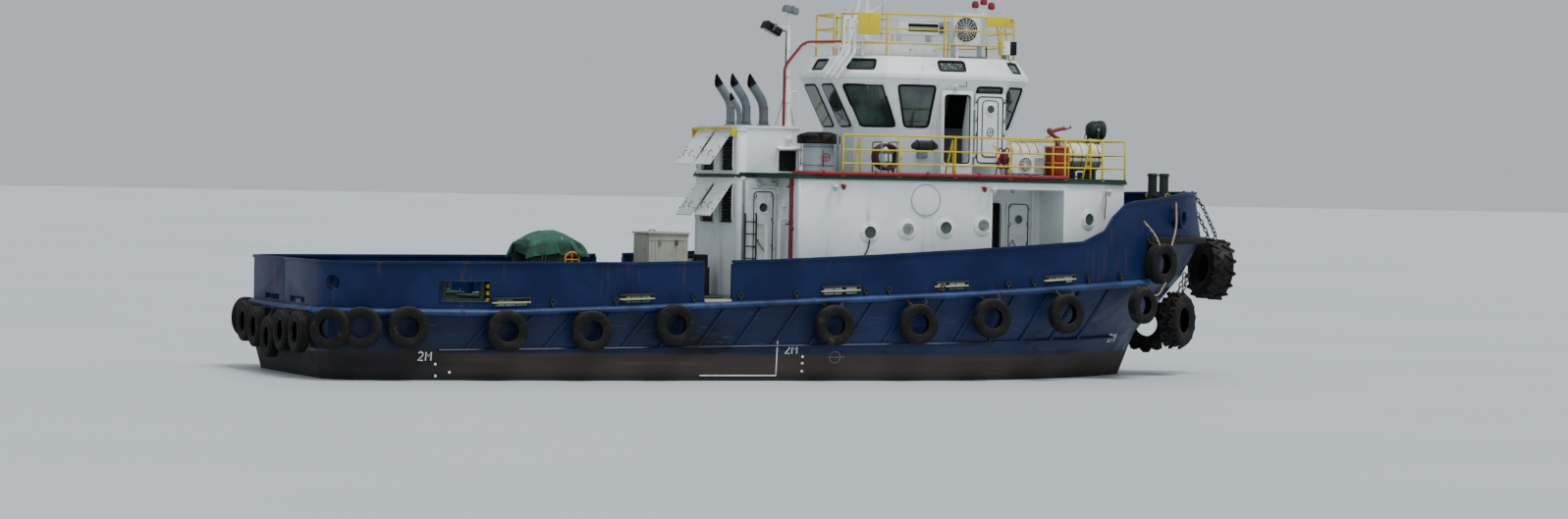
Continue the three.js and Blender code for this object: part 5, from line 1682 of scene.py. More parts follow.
def framed(form: Form, corners: Sequence[Point], glass: Finish, radius: float = 0.07, rim: float = 0.035,
           proud: float = 0.012, frame_finish: Finish | None = None) -> None:
    """Adds a window: a pane with rounded corners in a black gasket that stands a little proud.

    Args:
        form: the form that it joins.
        corners: the pane's four corners on the wall's outer face, as seen from outside.
        glass: the pane's finish.
        radius: how round its corners are.
        rim: the gasket's width.
        proud: how far the gasket stands off the wall.
        frame_finish: a welded frame's finish, or none.
    """
    points = [Vector(corner) for corner in corners]
    normal = (points[1] - points[0]).cross(points[3] - points[0]).normalized()
    outline = rounded(points, radius)
    inner, outer = shifted(outline, -rim, normal), shifted(outline, rim * 0.6, normal)
    form.loft([[p - normal * 0.02 for p in outer], [p + normal * proud for p in outer],
               [p + normal * (proud + 0.004) for p in shifted(outline, rim * 0.3, normal)],
               [p + normal * (proud + 0.002) for p in shifted(outline, -rim * 0.7, normal)],
               [p for p in inner], [p - normal * 0.02 for p in inner]], GASKET, closed=True)
    pane = shifted(outline, -rim * 0.6, normal)
    form.loft([[p - normal * 0.022 for p in pane], [p - normal * 0.008 for p in pane]], glass)
    if frame_finish is not None:
        wide = shifted(outline, rim * 2.2, normal)
        form.loft([[p - normal * 0.01 for p in outer], [p + normal * 0.006 for p in outer],
                   [p + normal * 0.006 for p in wide], [p - normal * 0.01 for p in wide]], frame_finish,
                  closed=True)


@dataclass
class Wheelhouse:
    """Windows and door fittings of the wheelhouse.

    Attributes:
        sill: height of the walls' knuckle.
        eaves: height of the walls' top.
        roof: height of the roof.
        sill_plan: starboard half outline at the sill, aft to forward, y positive.
        eaves_plan: the same at the eaves.
        panes: wall number and shares along it at the top and at the bottom, from and to.
        low: share of the wall's height where a pane starts.
        high: share where it ends.
        fascia: the middle, the outward direction and the half width of each window in the roof's band.
        door: a door opening's x from, x to, foot and top.
        face: the door walls' distance from the middle.
    """

    sill: float = 5.78
    eaves: float = 6.93
    roof: float = 7.45
    sill_plan: tuple = ((1.93, 0.95), (2.89, 1.47), (5.2, 1.47), (5.94, 0.9))
    eaves_plan: tuple = ((1.34, 0.95), (2.36, 1.8), (5.5, 1.8), (6.38, 0.9))
    panes: tuple = ((0, 0.14, 0.9, 0.14, 0.9), (1, 0.08, 0.4, 0.04, 0.3), (1, 0.745, 0.97, 0.83, 0.95),
                    (2, 0.12, 0.88, 0.12, 0.88))
    low: float = 0.03
    high: float = 0.87
    fascia: tuple = (((1.5, 0.0), (-1, 0), 0.33), ((1.96, -1.28), (-0.64, -0.77), 0.33),
                     ((4.06, -1.7), (0, -1), 0.33), ((5.8, -1.25), (0.71, -0.7), 0.3))
    door: tuple[float, float, float, float] = (3.83, 4.5, 4.97, 6.59)
    face: float = 1.83

    def on_wall(self, wall: int, share: float, height: float, side: int = -1) -> Vector:
        """A point on a wall.

        Args:
            wall: the wall's number from aft.
            share: how far along the wall.
            height: share of its height from sill to eaves.
            side: the sign of Y.

        Returns:
            The point on its outer face.
        """
        low = Vector(self.sill_plan[wall]).lerp(Vector(self.sill_plan[wall + 1]), share)
        high = Vector(self.eaves_plan[wall]).lerp(Vector(self.eaves_plan[wall + 1]), share)
        at = low.lerp(high, height)
        return Vector((at.x, side * at.y, self.sill + (self.eaves - self.sill) * height))

    def windows(self) -> None:
        """Glazes every window of the walls and of the sloping band above them."""
        form = Form()
        for side in Side:
            for wall, start, end, low_start, low_end in self.panes:
                pick = [(low_start, self.low), (low_end, self.low), (end, self.high), (start, self.high)]
                corners = [self.on_wall(wall, share, height, side.value) for share, height in pick]
                if side is Side.PORT:
                    corners = [corners[1], corners[0], corners[3], corners[2]]
                framed(form, corners, GLASS, 0.11)
        for y in (-0.52, 0.52):
            for end, out in ((0, -1), (3, 1)):
                low, high = self.sill_plan[end][0], self.eaves_plan[end][0]
                place = [(y + out * a * 0.33, low + (high - low) * h, self.sill + (self.eaves - self.sill)
                          * h) for a, h in ((1, self.low), (-1, self.low), (-1, self.high), (1, self.high))]
                corners = [Vector((x, py, z)) for py, x, z in place]
                framed(form, corners, GLASS, 0.11)
        form.done("wheelhouse_windows", sharp=50)

    def band_windows(self) -> None:
        """Glazes the small windows in the roof's sloping band."""
        form = Form()
        slope = Vector((0.25, self.roof - self.eaves - 0.11))
        for (x, y), (ox, oy), half in self.fascia:
            for side in ((-1, 1) if y else (-1,)):
                out = Vector((ox, oy * -side, 0)).normalized()
                level = Vector((-out.y, out.x, 0))
                rise = (Vector((0, 0, slope.y)) - out * slope.x).normalized()
                base = Vector((x, y * -side, (self.eaves + 0.11 + self.roof) / 2))
                middle = base + out * self.band_offset(base, out)
                corners = [middle + level * half * a + rise * 0.135 * b for a, b in ((-1, -1), (1, -1),
                                                                                     (1, 1), (-1, 1))]
                framed(form, corners, GLASS, 0.07, 0.04)
        form.done("roof_band_windows", sharp=50)

    def band_offset(self, point: Vector, out: Vector) -> float:
        """How far a point is from the middle line of the sloping band that it belongs to.

        Args:
            point: a point near the band at its middle height.
            out: the band's outward direction in plan.

        Returns:
            The distance along out to the band's face.
        """
        plan = [(x, -y) for x, y in self.eaves_plan] + [(x, y) for x, y in reversed(self.eaves_plan)]
        offset = 0.0
        for (x0, y0), (x1, y1) in zip(plan, plan[1:] + plan[:1]):
            span = Vector((x1 - x0, y1 - y0))
            normal = Vector((span.y, -span.x)).normalized()
            if normal.dot(out.to_2d()) > 0.93:
                reach = (Vector((x0, y0)) - point.to_2d()).dot(normal) + 0.03 - 0.14
                offset = reach / normal.dot(out.to_2d())
        return offset

    def door_fittings(self) -> None:
        """Adds the fittings of the wheelhouse's doors and the trim round their openings."""
        start, end, foot, top = self.door
        for side in Side:
            out = side.value
            y = out * self.face
            surround = Form()
            frame_line = rounded(upright_rectangle(start - 0.03, end + 0.03, y, foot - 0.02, top + 0.02),
                                 0.14)
            surround.tube([p + Vector((0, out * 0.004, 0)) for p in frame_line], 0.022, TRIM, 8, True)
            surround.tube([p + Vector((0, out * -0.02, 0))
                           for p in shifted(frame_line, -0.035, Vector(ACROSS))], 0.018, GASKET, 6, True)
            surround.done(f"wheelhouse_door_trim_{side.word}")
            low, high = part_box(f"wheelhouse_door_{side.word}")
            self.leaf(side, low, high, low.y if out < 0 else high.y)

    @staticmethod
    def leaf(side: Side, low: Vector, high: Vector, y: float) -> None:
        """Adds the fittings on one wheelhouse door leaf: gaskets, panel, port, ring handle and dogs.

        Args:
            side: the leaf's side of the boat.
            low: the leaf's lowest corner.
            high: its highest corner.
            y: its outer face.
        """
        out = side.value
        form = Form()
        inset = upright_rectangle(low.x + 0.07, high.x - 0.07, y, low.z + 0.07, high.z - 0.07)
        form.tube(rounded(inset, 0.1), 0.016, GASKET, 6, True)
        panel = rounded(upright_rectangle(low.x + 0.2, high.x - 0.2, y, low.z + 0.22, high.z - 0.17), 0.1)
        form.loft([[p - Vector((0, out * 0.005, 0)) for p in panel],
                   [p + Vector((0, out * 0.014, 0)) for p in shifted(panel, -0.012, Vector(ACROSS))]], TRIM)
        form.tube(shifted(panel, 0.012, Vector(ACROSS)), 0.012, GASKET, 6, True)
        middle = (low.x + high.x) / 2
        port = Vector((middle, y + out * 0.012, high.z - 0.36))
        form.turned([(0.088, -0.01), (0.13, -0.01), (0.135, 0.012), (0.118, 0.026), (0.095, 0.022)], port,
                    (0, out, 0), TRIM, 28, True)
        form.turned([(0, -0.004), (0.096, -0.004), (0.094, 0.008), (0, 0.009)], port, (0, out, 0), GLASS, 28)
        ring = Vector((middle, y + out * 0.03, (low.z + high.z) / 2 - 0.05))
        form.tube([ring + Vector((0.075 * math.cos(a), 0, 0.1 * math.sin(a))) for a in turns(20)], 0.011,
                  STEEL, 6, True)
        form.rod(ring - Vector((0, out * 0.04, 0)), ring + Vector((0, out * 0.02, 0)), 0.02, STEEL, 10)
        for share in (0.12, 0.42, 0.62, 0.88):
            for x, turn in ((low.x + 0.045, -1), (high.x - 0.045, 1)):
                z = low.z + (high.z - low.z) * share
                form.slab(x - 0.03, x + 0.03, y, out * 0.02, z - 0.02, z + 0.02, STEEL, 0.005)
                form.tube([(x, y + out * 0.024, z), (x + turn * 0.015, y + out * 0.03, z + 0.03),
                           (x + turn * 0.02, y + out * 0.026, z + 0.085)], 0.009, STEEL, 6)
        form.done(f"wheelhouse_door_fittings_{side.word}", f"wheelhouse_door_{side.word}")

    def build(self) -> None:
        """Builds the wheelhouse's windows and fittings."""
        self.windows()
        self.band_windows()
        self.door_fittings()


@dataclass
class Rail:
    """A guard rail of round tube in place of its CAD node.

    Attributes:
        node: the CAD node.
        line: its plan.
        foot: height of the deck that it stands on.
        height: height of its top rail.
        courses: the rails' heights as shares of the height.
        spacing: length between posts.
        tube: radius of the top rail and the posts.
        finish: its paint.
    """

    node: str
    line: Sequence[Point]
    foot: float
    height: float
    courses: Sequence[float]
    spacing: float
    tube: float = 0.025
    finish: Finish = YELLOW

    def build(self) -> None:
        """Builds the courses and the posts with their foot plates."""
        form = Form()
        for share in self.courses:
            z = self.foot + self.height * share - self.tube
            radius = self.tube if share == 1 else self.tube * 0.72
            form.tube(bent([(x, y, z) for x, y in self.line], 0.16), radius, self.finish, 10)
        for (x0, y0), (x1, y1) in zip(self.line, self.line[1:]):
            start, end = Vector((x0, y0, self.foot)), Vector((x1, y1, self.foot))
            count = max(1, round((end - start).length / self.spacing))
            for k in range(count + 1):
                post = start.lerp(end, k / count)
                if k == count and (x1, y1) != tuple(self.line[-1]):
                    continue
                form.rod(post, post + Vector((0, 0, self.height - self.tube)), self.tube * 0.9, self.finish,
                         10)
                form.turned([(0.055, 0), (0.055, 0.01), (0.03, 0.014)], post, UP, self.finish, 12)
        form.done(f"{self.node}_tubes", replaces=[self.node], sharp=50)


def stud_growth(finish: Finish) -> Growth:
    """The growth that sets bolt heads along lines, all of them pointing one way.

    Args:
        finish: the bolts' finish.

    Returns:
        The growth, with Pitch, Radius and Height sizes and the direction as X, Y and Z.
    """
    growth = Growth("studs", Pitch=0.1, Radius=0.014, Height=0.014, X=0.0, Y=0.0, Z=1.0)
    head = growth.node("GeometryNodeMeshCylinder", {}, {"Vertices": 6, "Radius": growth.size("Radius"),
                                                        "Depth": growth.size("Height")})
    way = growth.vector(growth.size("X"), growth.size("Y"), growth.size("Z"))
    aimed = growth.node("FunctionNodeAlignRotationToVector", {"axis": "Z"}, {"Vector": way})
    return growth.end("Pitch", head[0], aimed[0], finish)


def slat_growth(finish: Finish) -> Growth:
    """The growth that sets slanted slats along lines, as in a louvre.

    Args:
        finish: the slats' finish.

    Returns:
        The growth, with Count, Long, Deep, Thick, Lean and Turn sizes.
    """
    growth = Growth("slats", Count=8, Long=0.3, Deep=0.05, Thick=0.006, Lean=0.7, Turn=0.0)
    size = growth.vector(growth.size("Long"), growth.size("Deep"), growth.size("Thick"))
    slat = growth.node("GeometryNodeMeshCube", {}, {"Size": size})
    turn = growth.vector(growth.size("Lean"), 0.0, growth.size("Turn"))
    return growth.end("Count", slat[0], turn, finish)


def circle(middle: Point, axis: Point, radius: float, steps: int = 24) -> list[Vector]:
    """Points round a circle.

    Args:
        middle: its middle.
        axis: its axis.
        radius: its radius.
        steps: how many points.

    Returns:
        The points.
    """
    place = Matrix.Translation(Vector(middle)) @ upright(axis)
    return [place @ Vector((radius * math.cos(a), radius * math.sin(a), 0)) for a in turns(steps)]


def lamp(form: Form, foot: Point, axis: Point, radius: float, base: Finish, dome: Finish) -> None:
    """Adds a bulkhead lamp: a base, a glass dome and a wire guard.

    Args:
        form: the form that it joins.
        foot: the middle of its base.
        axis: the way that it points.
        radius: its base's radius.
        base: the base's finish.
        dome: the dome's finish.
    """
    r = radius
    form.turned([(r, -0.01), (r, 0.3 * r), (0.86 * r, 0.42 * r), (0.7 * r, 0.42 * r)], foot, axis, base, 20)
    form.turned([(0.72 * r, 0.35 * r), (0.72 * r, 0.8 * r), (0.6 * r, 1.15 * r), (0.36 * r, 1.4 * r),
                 (0, 1.48 * r)], foot, axis, dome, 20)
    place = Matrix.Translation(Vector(foot)) @ upright(axis)
    for turn in (0, math.pi / 2):
        arc = [place @ Vector((0.84 * r * math.cos(a) * math.cos(turn),
                               0.84 * r * math.cos(a) * math.sin(turn), 0.36 * r + 1.25 * r * math.sin(a)))
               for a in (math.pi * k / 12 for k in range(13))]
        form.tube(arc, 0.06 * r, base, 6)
    form.tube(circle(place @ Vector((0, 0, 0.95 * r)), axis, 0.8 * r), 0.05 * r, base, 6, True)


def handwheel(form: Form, middle: Point, axis: Point, radius: float, finish: Finish) -> None:
    """Adds a valve's handwheel with its spokes and stem.

    Args:
        form: the form that it joins.
        middle: the wheel's middle.
        axis: the stem's direction.
        radius: the wheel's radius.
        finish: its finish.
    """
    form.tube(circle(middle, axis, radius, 20), radius * 0.13, finish, 8, True)
    for point in circle(middle, axis, radius, 4):
        form.rod(middle, point, radius * 0.09, finish, 8)
    form.rod(Vector(middle) - Vector(axis).normalized() * radius, Vector(middle)
             + Vector(axis).normalized() * 0.02, radius * 0.15, finish, 10)


def gooseneck(form: Form, foot: Point, height: float, reach: Point, radius: float, finish: Finish) -> None:
    """Adds a vent pipe that stands up, bends over and ends in a flanged mouth.

    Args:
        form: the form that it joins.
        foot: where it starts.
        height: how high it stands.
        reach: where its mouth is from its pipe, in X and Y.
        radius: its radius.
        finish: its finish.
    """
    x, y, z = foot
    dx, dy = reach
    line = bent([(x, y, z), (x, y, z + height), (x + dx, y + dy, z + height),
                 (x + dx, y + dy, z + height - 2.6 * radius)], math.hypot(dx, dy) * 0.48, 7)
    form.tube(line, radius, finish, 14)
    form.rod((x, y, z), (x, y, z + 0.02), radius * 1.5, finish)
    mouth = Vector((x + dx, y + dy, z + height - 2.6 * radius))
    form.rod(mouth, mouth + Vector((0, 0, 0.03)), radius * 1.35, finish)


@dataclass
class Deckhouse:
    """The portholes, lamps, pipes, trim and door fittings of the deckhouse.

    Attributes:
        ports: x and height of the side portholes, and whether the deadlight shows pale behind the glass.
        wall: the side walls' distance from the middle.
        forward: place of the porthole in the slanted wall, and its outward direction.
        plate: x and height of the round blank plate on each side.
        lamps: x of the lamps under the deck's edge, and how far ahead the red one beside each is, or 0.
    """

    ports: tuple = ((1.64, 3.36, False), (2.58, 3.44, True), (3.54, 3.49, False), (4.49, 3.55, True))
    wall: float = 2.65
    forward: tuple = ((7.35, -2.351, 3.73), (0.354, -0.935, 0))
    plate: tuple[float, float] = (3.03, 4.12)
    lamps: tuple = ((0.7, 0.22), (4.68, -0.22), (7.9, 0.0))

    def porthole(self, form: Form, rings: list[list[Vector]], middle: Vector, out: Vector,
                 pale: bool) -> None:
        """Adds a porthole and notes the circle of its bolts.

        Args:
            form: the form that it joins.
            rings: the bolts' circles, which gain this one.
            middle: its middle on the wall's face.
            out: the way that it looks.
            pale: whether its deadlight is closed.
        """
        form.turned([(0.15, -0.03), (0.228, -0.03), (0.232, 0.008), (0.222, 0.022), (0.17, 0.028),
                     (0.158, 0.046), (0.142, 0.044), (0.14, 0.01)], middle, out, TRIM, 36, True)
        form.tube(circle(middle + out * 0.028, out, 0.146, 32), 0.011, GASKET, 6, True)
        form.turned([(0, 0.006), (0.15, 0.006), (0.15, 0.014), (0, 0.016)], middle, out,
                    DEADLIGHT if pale else GLASS, 32)
        if pale:
            form.turned([(0.0, 0.012), (0.1, 0.012), (0.095, 0.03), (0.0, 0.034)], middle, out, STEEL, 24)
        rings.append(circle(middle + out * 0.026, out, 0.195, 24))

    def portholes(self) -> None:
        """Adds the portholes of both sides and their bolts."""
        bolts = stud_growth(TRIM)
        bolt = {"Pitch": 0.153, "Radius": 0.013}
        for side in Side:
            form, level, ahead = Form(), [], []
            out = Vector((0, side.value, 0))
            for x, z, pale in self.ports:
                self.porthole(form, level, Vector((x, side.value * self.wall, z)), out, pale)
            (fx, fy, fz), (ox, oy, oz) = self.forward
            slant = Vector((ox, -side.value * oy, oz))
            self.porthole(form, ahead, Vector((fx, -side.value * fy, fz)), slant, False)
            form.done(f"portholes_{side.word}", sharp=40)
            grown_piece(bolts, TRIM, f"porthole_bolts_{side.word}", level, True, **bolt, Y=float(side.value))
            grown_piece(bolts, TRIM, f"porthole_bolts_forward_{side.word}", ahead, True, **bolt, X=slant.x,
                        Y=slant.y, Z=0.0)

    def trim(self, side: Side) -> None:
        """Adds one side's blank plate, lamps, cables, gutter, strips and corner pipe.

        Args:
            side: the side.
        """
        s = side.value
        y = s * self.wall
        out = Vector((0, s, 0))
        form = Form()
        x, z = self.plate
        form.turned([(0, -0.01), (0.40, -0.01), (0.40, 0.008), (0.385, 0.014), (0, 0.014)], (x, y, z), out,
                    TRIM, 56)
        form.tube(circle((x, y + s * 0.014, z), out, 0.36, 48), 0.008, BELT, 6, True)
        for lx, offset in self.lamps:
            ly = y if lx < 6.56 else s * (2.65 - (lx - 6.56) * 0.378)
            lamp(form, (lx, ly + s * 0.16, 4.42), DOWN, 0.085, TRIM, DEADLIGHT)
            form.slab(lx - 0.03, lx + 0.03, ly, s * 0.2, 4.42, 4.45, TRIM)
            if offset:
                lamp(form, (lx + offset, ly + s * 0.13, 4.43), DOWN, 0.065, RED, RED)
                form.slab(lx + offset - 0.02, lx + offset + 0.02, ly, s * 0.15, 4.43, 4.455, RED)
        cable = bent([(7.9, s * 2.14, 4.4), (7.92, s * 2.13, 4.1), (7.88, s * 2.14, 3.9),
                      (7.9, s * 2.13, 3.75)], 0.1)
        form.tube(cable, 0.011, GASKET, 6)
        form.tube(bent([(1.63, y + s * 0.02, 3.2), (1.6, y + s * 0.05, 3.0), (1.43, y + s * 0.05, 2.72),
                        (1.4, y + s * 0.05, 2.45), (1.38, y + s * 0.06, 2.1)], 0.2), 0.016, GASKET, 8)
        form.tube([(-0.1, y + s * 0.014, 4.52), (4.6, y + s * 0.014, 4.52)], 0.012, TRIM, 6)
        form.slab(4.66, 6.62, y, s * 0.02, 4.4, 4.46, TRIM, 0.006)
        form.slab(4.66, 4.72, y, s * 0.016, 2.2, 4.4, TRIM, 0.006)
        form.slab(6.555, 6.61, y, s * 0.016, 2.2, 4.4, TRIM, 0.006)
        form.rod((-0.12, y + s * 0.012, 1.95), (-0.12, y + s * 0.012, 4.5), 0.03, TRIM, 12)
        form.done(f"house_trim_{side.word}", sharp=45)

    def fire_line(self) -> None:
        """Adds the red fire main along the upper deck's starboard edge, with its brackets and flanges."""
        form = Form()
        y = -2.74
        run = bent([(-0.2, -2.36, 2.0), (-0.2, -2.36, 4.7), (0.05, -2.6, 4.7), (0.3, y, 4.7), (6.62, y, 4.7),
                    (6.63, -2.45, 4.72), (6.63, -2.32, 4.75)], 0.14, 6)
        form.tube(run, 0.045, RED, 14)
        for x in (0.4, 1.7, 3.0, 4.3, 5.6):
            form.rod((x, y, 4.7), (x + 0.03, y, 4.7), 0.072, RED, 14)
            form.rod((x + 0.035, y, 4.7), (x + 0.06, y, 4.7), 0.072, RED, 14)
        for x in (0.9, 2.3, 3.7, 5.0, 6.2):
            form.box((x, y - 0.055, 4.648), (x + 0.05, y + 0.055, 4.665), RED)
            form.tube([(x + 0.025, y - 0.05, 4.66), (x + 0.025, y - 0.05, 4.71), (x + 0.025, y, 4.755),
                       (x + 0.025, y + 0.05, 4.71), (x + 0.025, y + 0.05, 4.66)], 0.008, RED, 6)
        for z in (2.6, 3.5, 4.35):
            form.box((-0.26, -2.36, z), (-0.14, -2.2, z + 0.04), RED)
            form.rod((-0.2, -2.36, z + 0.06), (-0.2, -2.36, z + 0.09), 0.07, RED, 14)
        form.tube(bent([(-0.2, -2.36, 3.42), (-0.05, -2.5, 3.42), (0.02, -2.5, 3.42)], 0.05), 0.035, RED, 10)
        form.rod((0.0, -2.5, 3.42), (0.09, -2.5, 3.42), 0.055, STEEL, 14)
        form.rod((-0.2, -2.36, 2.02), (-0.02, -2.36, 2.02), 0.05, RED, 14)
        form.done("fire_line", sharp=50)

    def doors(self) -> None:
        """Adds the fittings of the deckhouse's side doors, and the trim of the alcoves that they stand in."""
        for side in Side:
            s = side.value
            low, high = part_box(f"house_door_{side.word}")
            face = low.y if s < 0 else high.y
            form = Form()
            weather_leaf(form, low, high, face, s)
            form.done(f"house_door_fittings_{side.word}", f"house_door_{side.word}", sharp=50)
            around = Form()
            frame_line = rounded(upright_rectangle(4.95 - 0.02, 5.56 + 0.02, s * 1.35, 2.32, 4.1), 0.12)
            around.tube([p + Vector((0, s * 0.01, 0)) for p in frame_line], 0.024, TRIM, 8, True)
            around.tube([(6.35, s * 1.42, 2.3), (6.35, s * 1.42, 4.38)], 0.03, TRIM, 10)
            around.tube([(4.8, s * 1.4, 2.4), (4.8, s * 1.4, 4.38)], 0.022, STEEL, 10)
            lamp(around, (5.6, s * 1.9, 4.43), DOWN, 0.08, TRIM, DEADLIGHT)
            around.done(f"alcove_trim_{side.word}", sharp=50)

    def build(self) -> None:
        """Builds the deckhouse's fittings."""
        self.portholes()
        for side in Side:
            self.trim(side)
        self.fire_line()
        self.doors()


def weather_leaf(form: Form, low: Vector, high: Vector, face: float, out: int) -> None:
    """Dresses a weather-tight leaf in the X-Z plane: gasket, ribs, port ring, dogs and a lever.

    Args:
        form: the form that the fittings join.
        low: the leaf's lowest corner.
        high: its highest corner.
        face: its outer face.
        out: the sign of Y that it faces.
    """
    inset = upright_rectangle(low.x + 0.06, high.x - 0.06, face, low.z + 0.06, high.z - 0.06)
    form.tube(rounded(inset, 0.1), 0.014, GASKET, 6, True)
    middle = (low.x + high.x) / 2
    for share in (0.28, 0.55):
        z = low.z + (high.z - low.z) * share
        form.slab(low.x + 0.12, high.x - 0.12, face, out * 0.016, z, z + 0.04, TRIM, 0.005)
    port = Vector((middle, face + out * 0.004, high.z - 0.42))
    form.turned([(0.1, -0.006), (0.15, -0.006), (0.152, 0.012), (0.138, 0.024), (0.108, 0.022)], port,
                (0, out, 0), TRIM, 30, True)
    form.turned([(0, -0.02), (0.112, -0.02), (0.112, 0.0), (0, 0.001)], port, (0, out, 0), GLASS, 30)
    for share in (0.1, 0.4, 0.66, 0.9):
        for x, way in ((low.x + 0.05, 1), (high.x - 0.05, -1)):
            z = low.z + (high.z - low.z) * share
            form.rod((x, face, z), (x, face + out * 0.035, z), 0.016, STEEL, 10)
            form.tube([(x, face + out * 0.035, z), (x + way * 0.05, face + out * 0.04, z + 0.05),
                       (x + way * 0.06, face + out * 0.038, z + 0.11)], 0.01, STEEL, 6)
    z = low.z + (high.z - low.z) * 0.48
    form.rod((low.x + 0.16, face, z), (low.x + 0.16, face + out * 0.06, z), 0.02, STEEL, 12)
    form.tube(bent([(low.x + 0.16, face + out * 0.055, z), (low.x + 0.16, face + out * 0.07, z - 0.05),
                    (low.x + 0.3, face + out * 0.08, z - 0.24)], 0.04), 0.014, STEEL, 8)


@dataclass
class Casing:
    """The fittings of the engine casing: door, ladder, louvres, vent pipes, flap fittings and lamps.

    Attributes:
        aft: x of its after face.
        half: its half breadth.
        louvre: the side vent's x from, x to, foot and top.
        holes: foot and top of the after openings behind the flaps.
    """

    aft: float = -1.1
    half: float = 1.37
    louvre: tuple[float, float, float, float] = (-0.13, 0.33, 4.7, 5.21)
    holes: tuple = ((4.7, 5.52), (3.5, 4.4))

    def louvres(self) -> None:
        """Adds the side vents' slats, frames, hoods and painted-shade backing, and the after openings' slats.
        """
        slats = slat_growth(GEAR)
        x0, x1, foot, top = self.louvre
        for side in Side:
            y = side.value * (self.half - 0.03)
            line = [((x0 + x1) / 2, y, foot + 0.04), ((x0 + x1) / 2, y, top - 0.04)]
            grown_piece(slats, GEAR, f"side_louvre_{side.word}", [line], Count=9, Long=x1 - x0 - 0.01,
                        Deep=0.07, Lean=-0.75 * side.value)
            form = Form()
            face = side.value * self.half
            form.tube(rounded(upright_rectangle(x0, x1, face, foot, top), 0.03, 2), 0.018, TRIM, 8, True)
            hood = [(face - side.value * 0.01, top + 0.09), (face + side.value * 0.14, top + 0.03),
                    (face + side.value * 0.14, top + 0.015), (face - side.value * 0.01, top + 0.07)]
            form.prism(hood, "x", x0 - 0.05, x1 + 0.05, TRIM)
            # painted shade: a dark sheet behind the slats stands for the shade inside the vent
            form.slab(x0 + 0.01, x1 - 0.01, face - side.value * 0.1, side.value * 0.025, foot, top, GASKET,
                      0.002)
            form.turned([(0.075, -0.01), (0.075, 0.02), (0.062, 0.06), (0.03, 0.085), (0, 0.09)],
                        (0.12, face, 5.46), (0, side.value, 0), TRIM, 20)
            form.done(f"side_vent_{side.word}", sharp=45)
        x = self.aft + 0.07
        paths = [[(x, y, low + 0.05), (x, y, high - 0.05)] for low, high in self.holes for y in (-0.6, 0.6)]
        grown_piece(slats, GEAR, "aft_louvres", paths, Count=12, Long=0.85, Deep=0.06, Lean=0.8,
                    Turn=-math.pi / 2)

    def flap_fittings(self) -> None:
        """Adds each flap's bolts and handles on the flap's own body."""
        for level, length in (("upper", 0.99), ("lower", 0.95)):
            for side in Side:
                node = f"casing_flap_{level}_{side.word}"
                low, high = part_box(node)
                form = Form()
                lean = math.radians(35)
                hinge = high.z - 0.03
                along_flap = Vector((-math.sin(lean), 0, -math.cos(lean)))
                skin_out = Vector((-math.cos(lean), 0, math.sin(lean)))
                top = Vector((self.aft - 0.06, 0, hinge)) + skin_out * 0.03
                for share in (0.22, 0.5, 0.78):
                    middle = top + along_flap * (length * share)
                    for y in (low.y + 0.05, high.y - 0.05):
                        bolt = middle + Vector((0, y, 0))
                        form.rod(bolt - skin_out * 0.01, bolt + skin_out * 0.012, 0.016, STEEL, 10)
                middle = top + along_flap * (length * 0.62) + skin_out * 0.005
                for y in (low.y + 0.3, high.y - 0.3):
                    upper = middle + Vector((0, y, 0))
                    lower = middle + along_flap * 0.14 + Vector((0, y, 0))
                    arch = [upper, upper + skin_out * 0.05, lower + skin_out * 0.05, lower]
                    form.tube(bent(arch, 0.02, 3), 0.01, STEEL, 8)
                form.done(f"{node}_fittings", node, sharp=50)

    def stays(self) -> None:
        """Adds the yellow beam over the flaps, its brackets, and the pipes and rims at the after openings."""
        form = Form()
        form.box((self.aft - 0.16, -self.half + 0.1, 5.655), (self.aft - 0.075, self.half - 0.1, 5.72),
                 YELLOW, 0.008)
        for y in (-1.25, 1.25):
            form.box((self.aft - 0.15, y - 0.03, 5.5), (self.aft + 0.02, y + 0.03, 5.66), YELLOW, 0.006)
            for low, high in self.holes:
                form.tube(bent([(self.aft - 0.01, y * 0.93, high - 0.02),
                                (self.aft - 0.07, y * 0.93, high - 0.08),
                                (self.aft - 0.07, y * 0.93, low + 0.1),
                                (self.aft - 0.01, y * 0.93, low + 0.05)], 0.03, 3), 0.014, TRIM, 8)
        for low, high in self.holes:
            for side in (-1, 1):
                rim = [Vector((self.aft, side * 0.17, low)), Vector((self.aft, side * 1.03, low)),
                       Vector((self.aft, side * 1.03, high)), Vector((self.aft, side * 0.17, high))]
                form.tube(rounded(rim, 0.05, 3), 0.02, TRIM, 8, True)
        form.done("flap_stays", sharp=50)

    def ladder(self) -> None:
        """Adds the dark ladder on the starboard side."""
        form = Form()
        y = -self.half - 0.09
        for x in (-0.95, -0.68):
            form.tube(bent([(x, -self.half, 3.75), (x, y, 3.72), (x, y, 1.9)], 0.04), 0.019, GEAR, 10)
        for k in range(6):
            form.rod((-0.95, y, 2.15 + 0.28 * k), (-0.68, y, 2.15 + 0.28 * k), 0.013, GEAR, 10)
        form.done("casing_ladder", sharp=50)

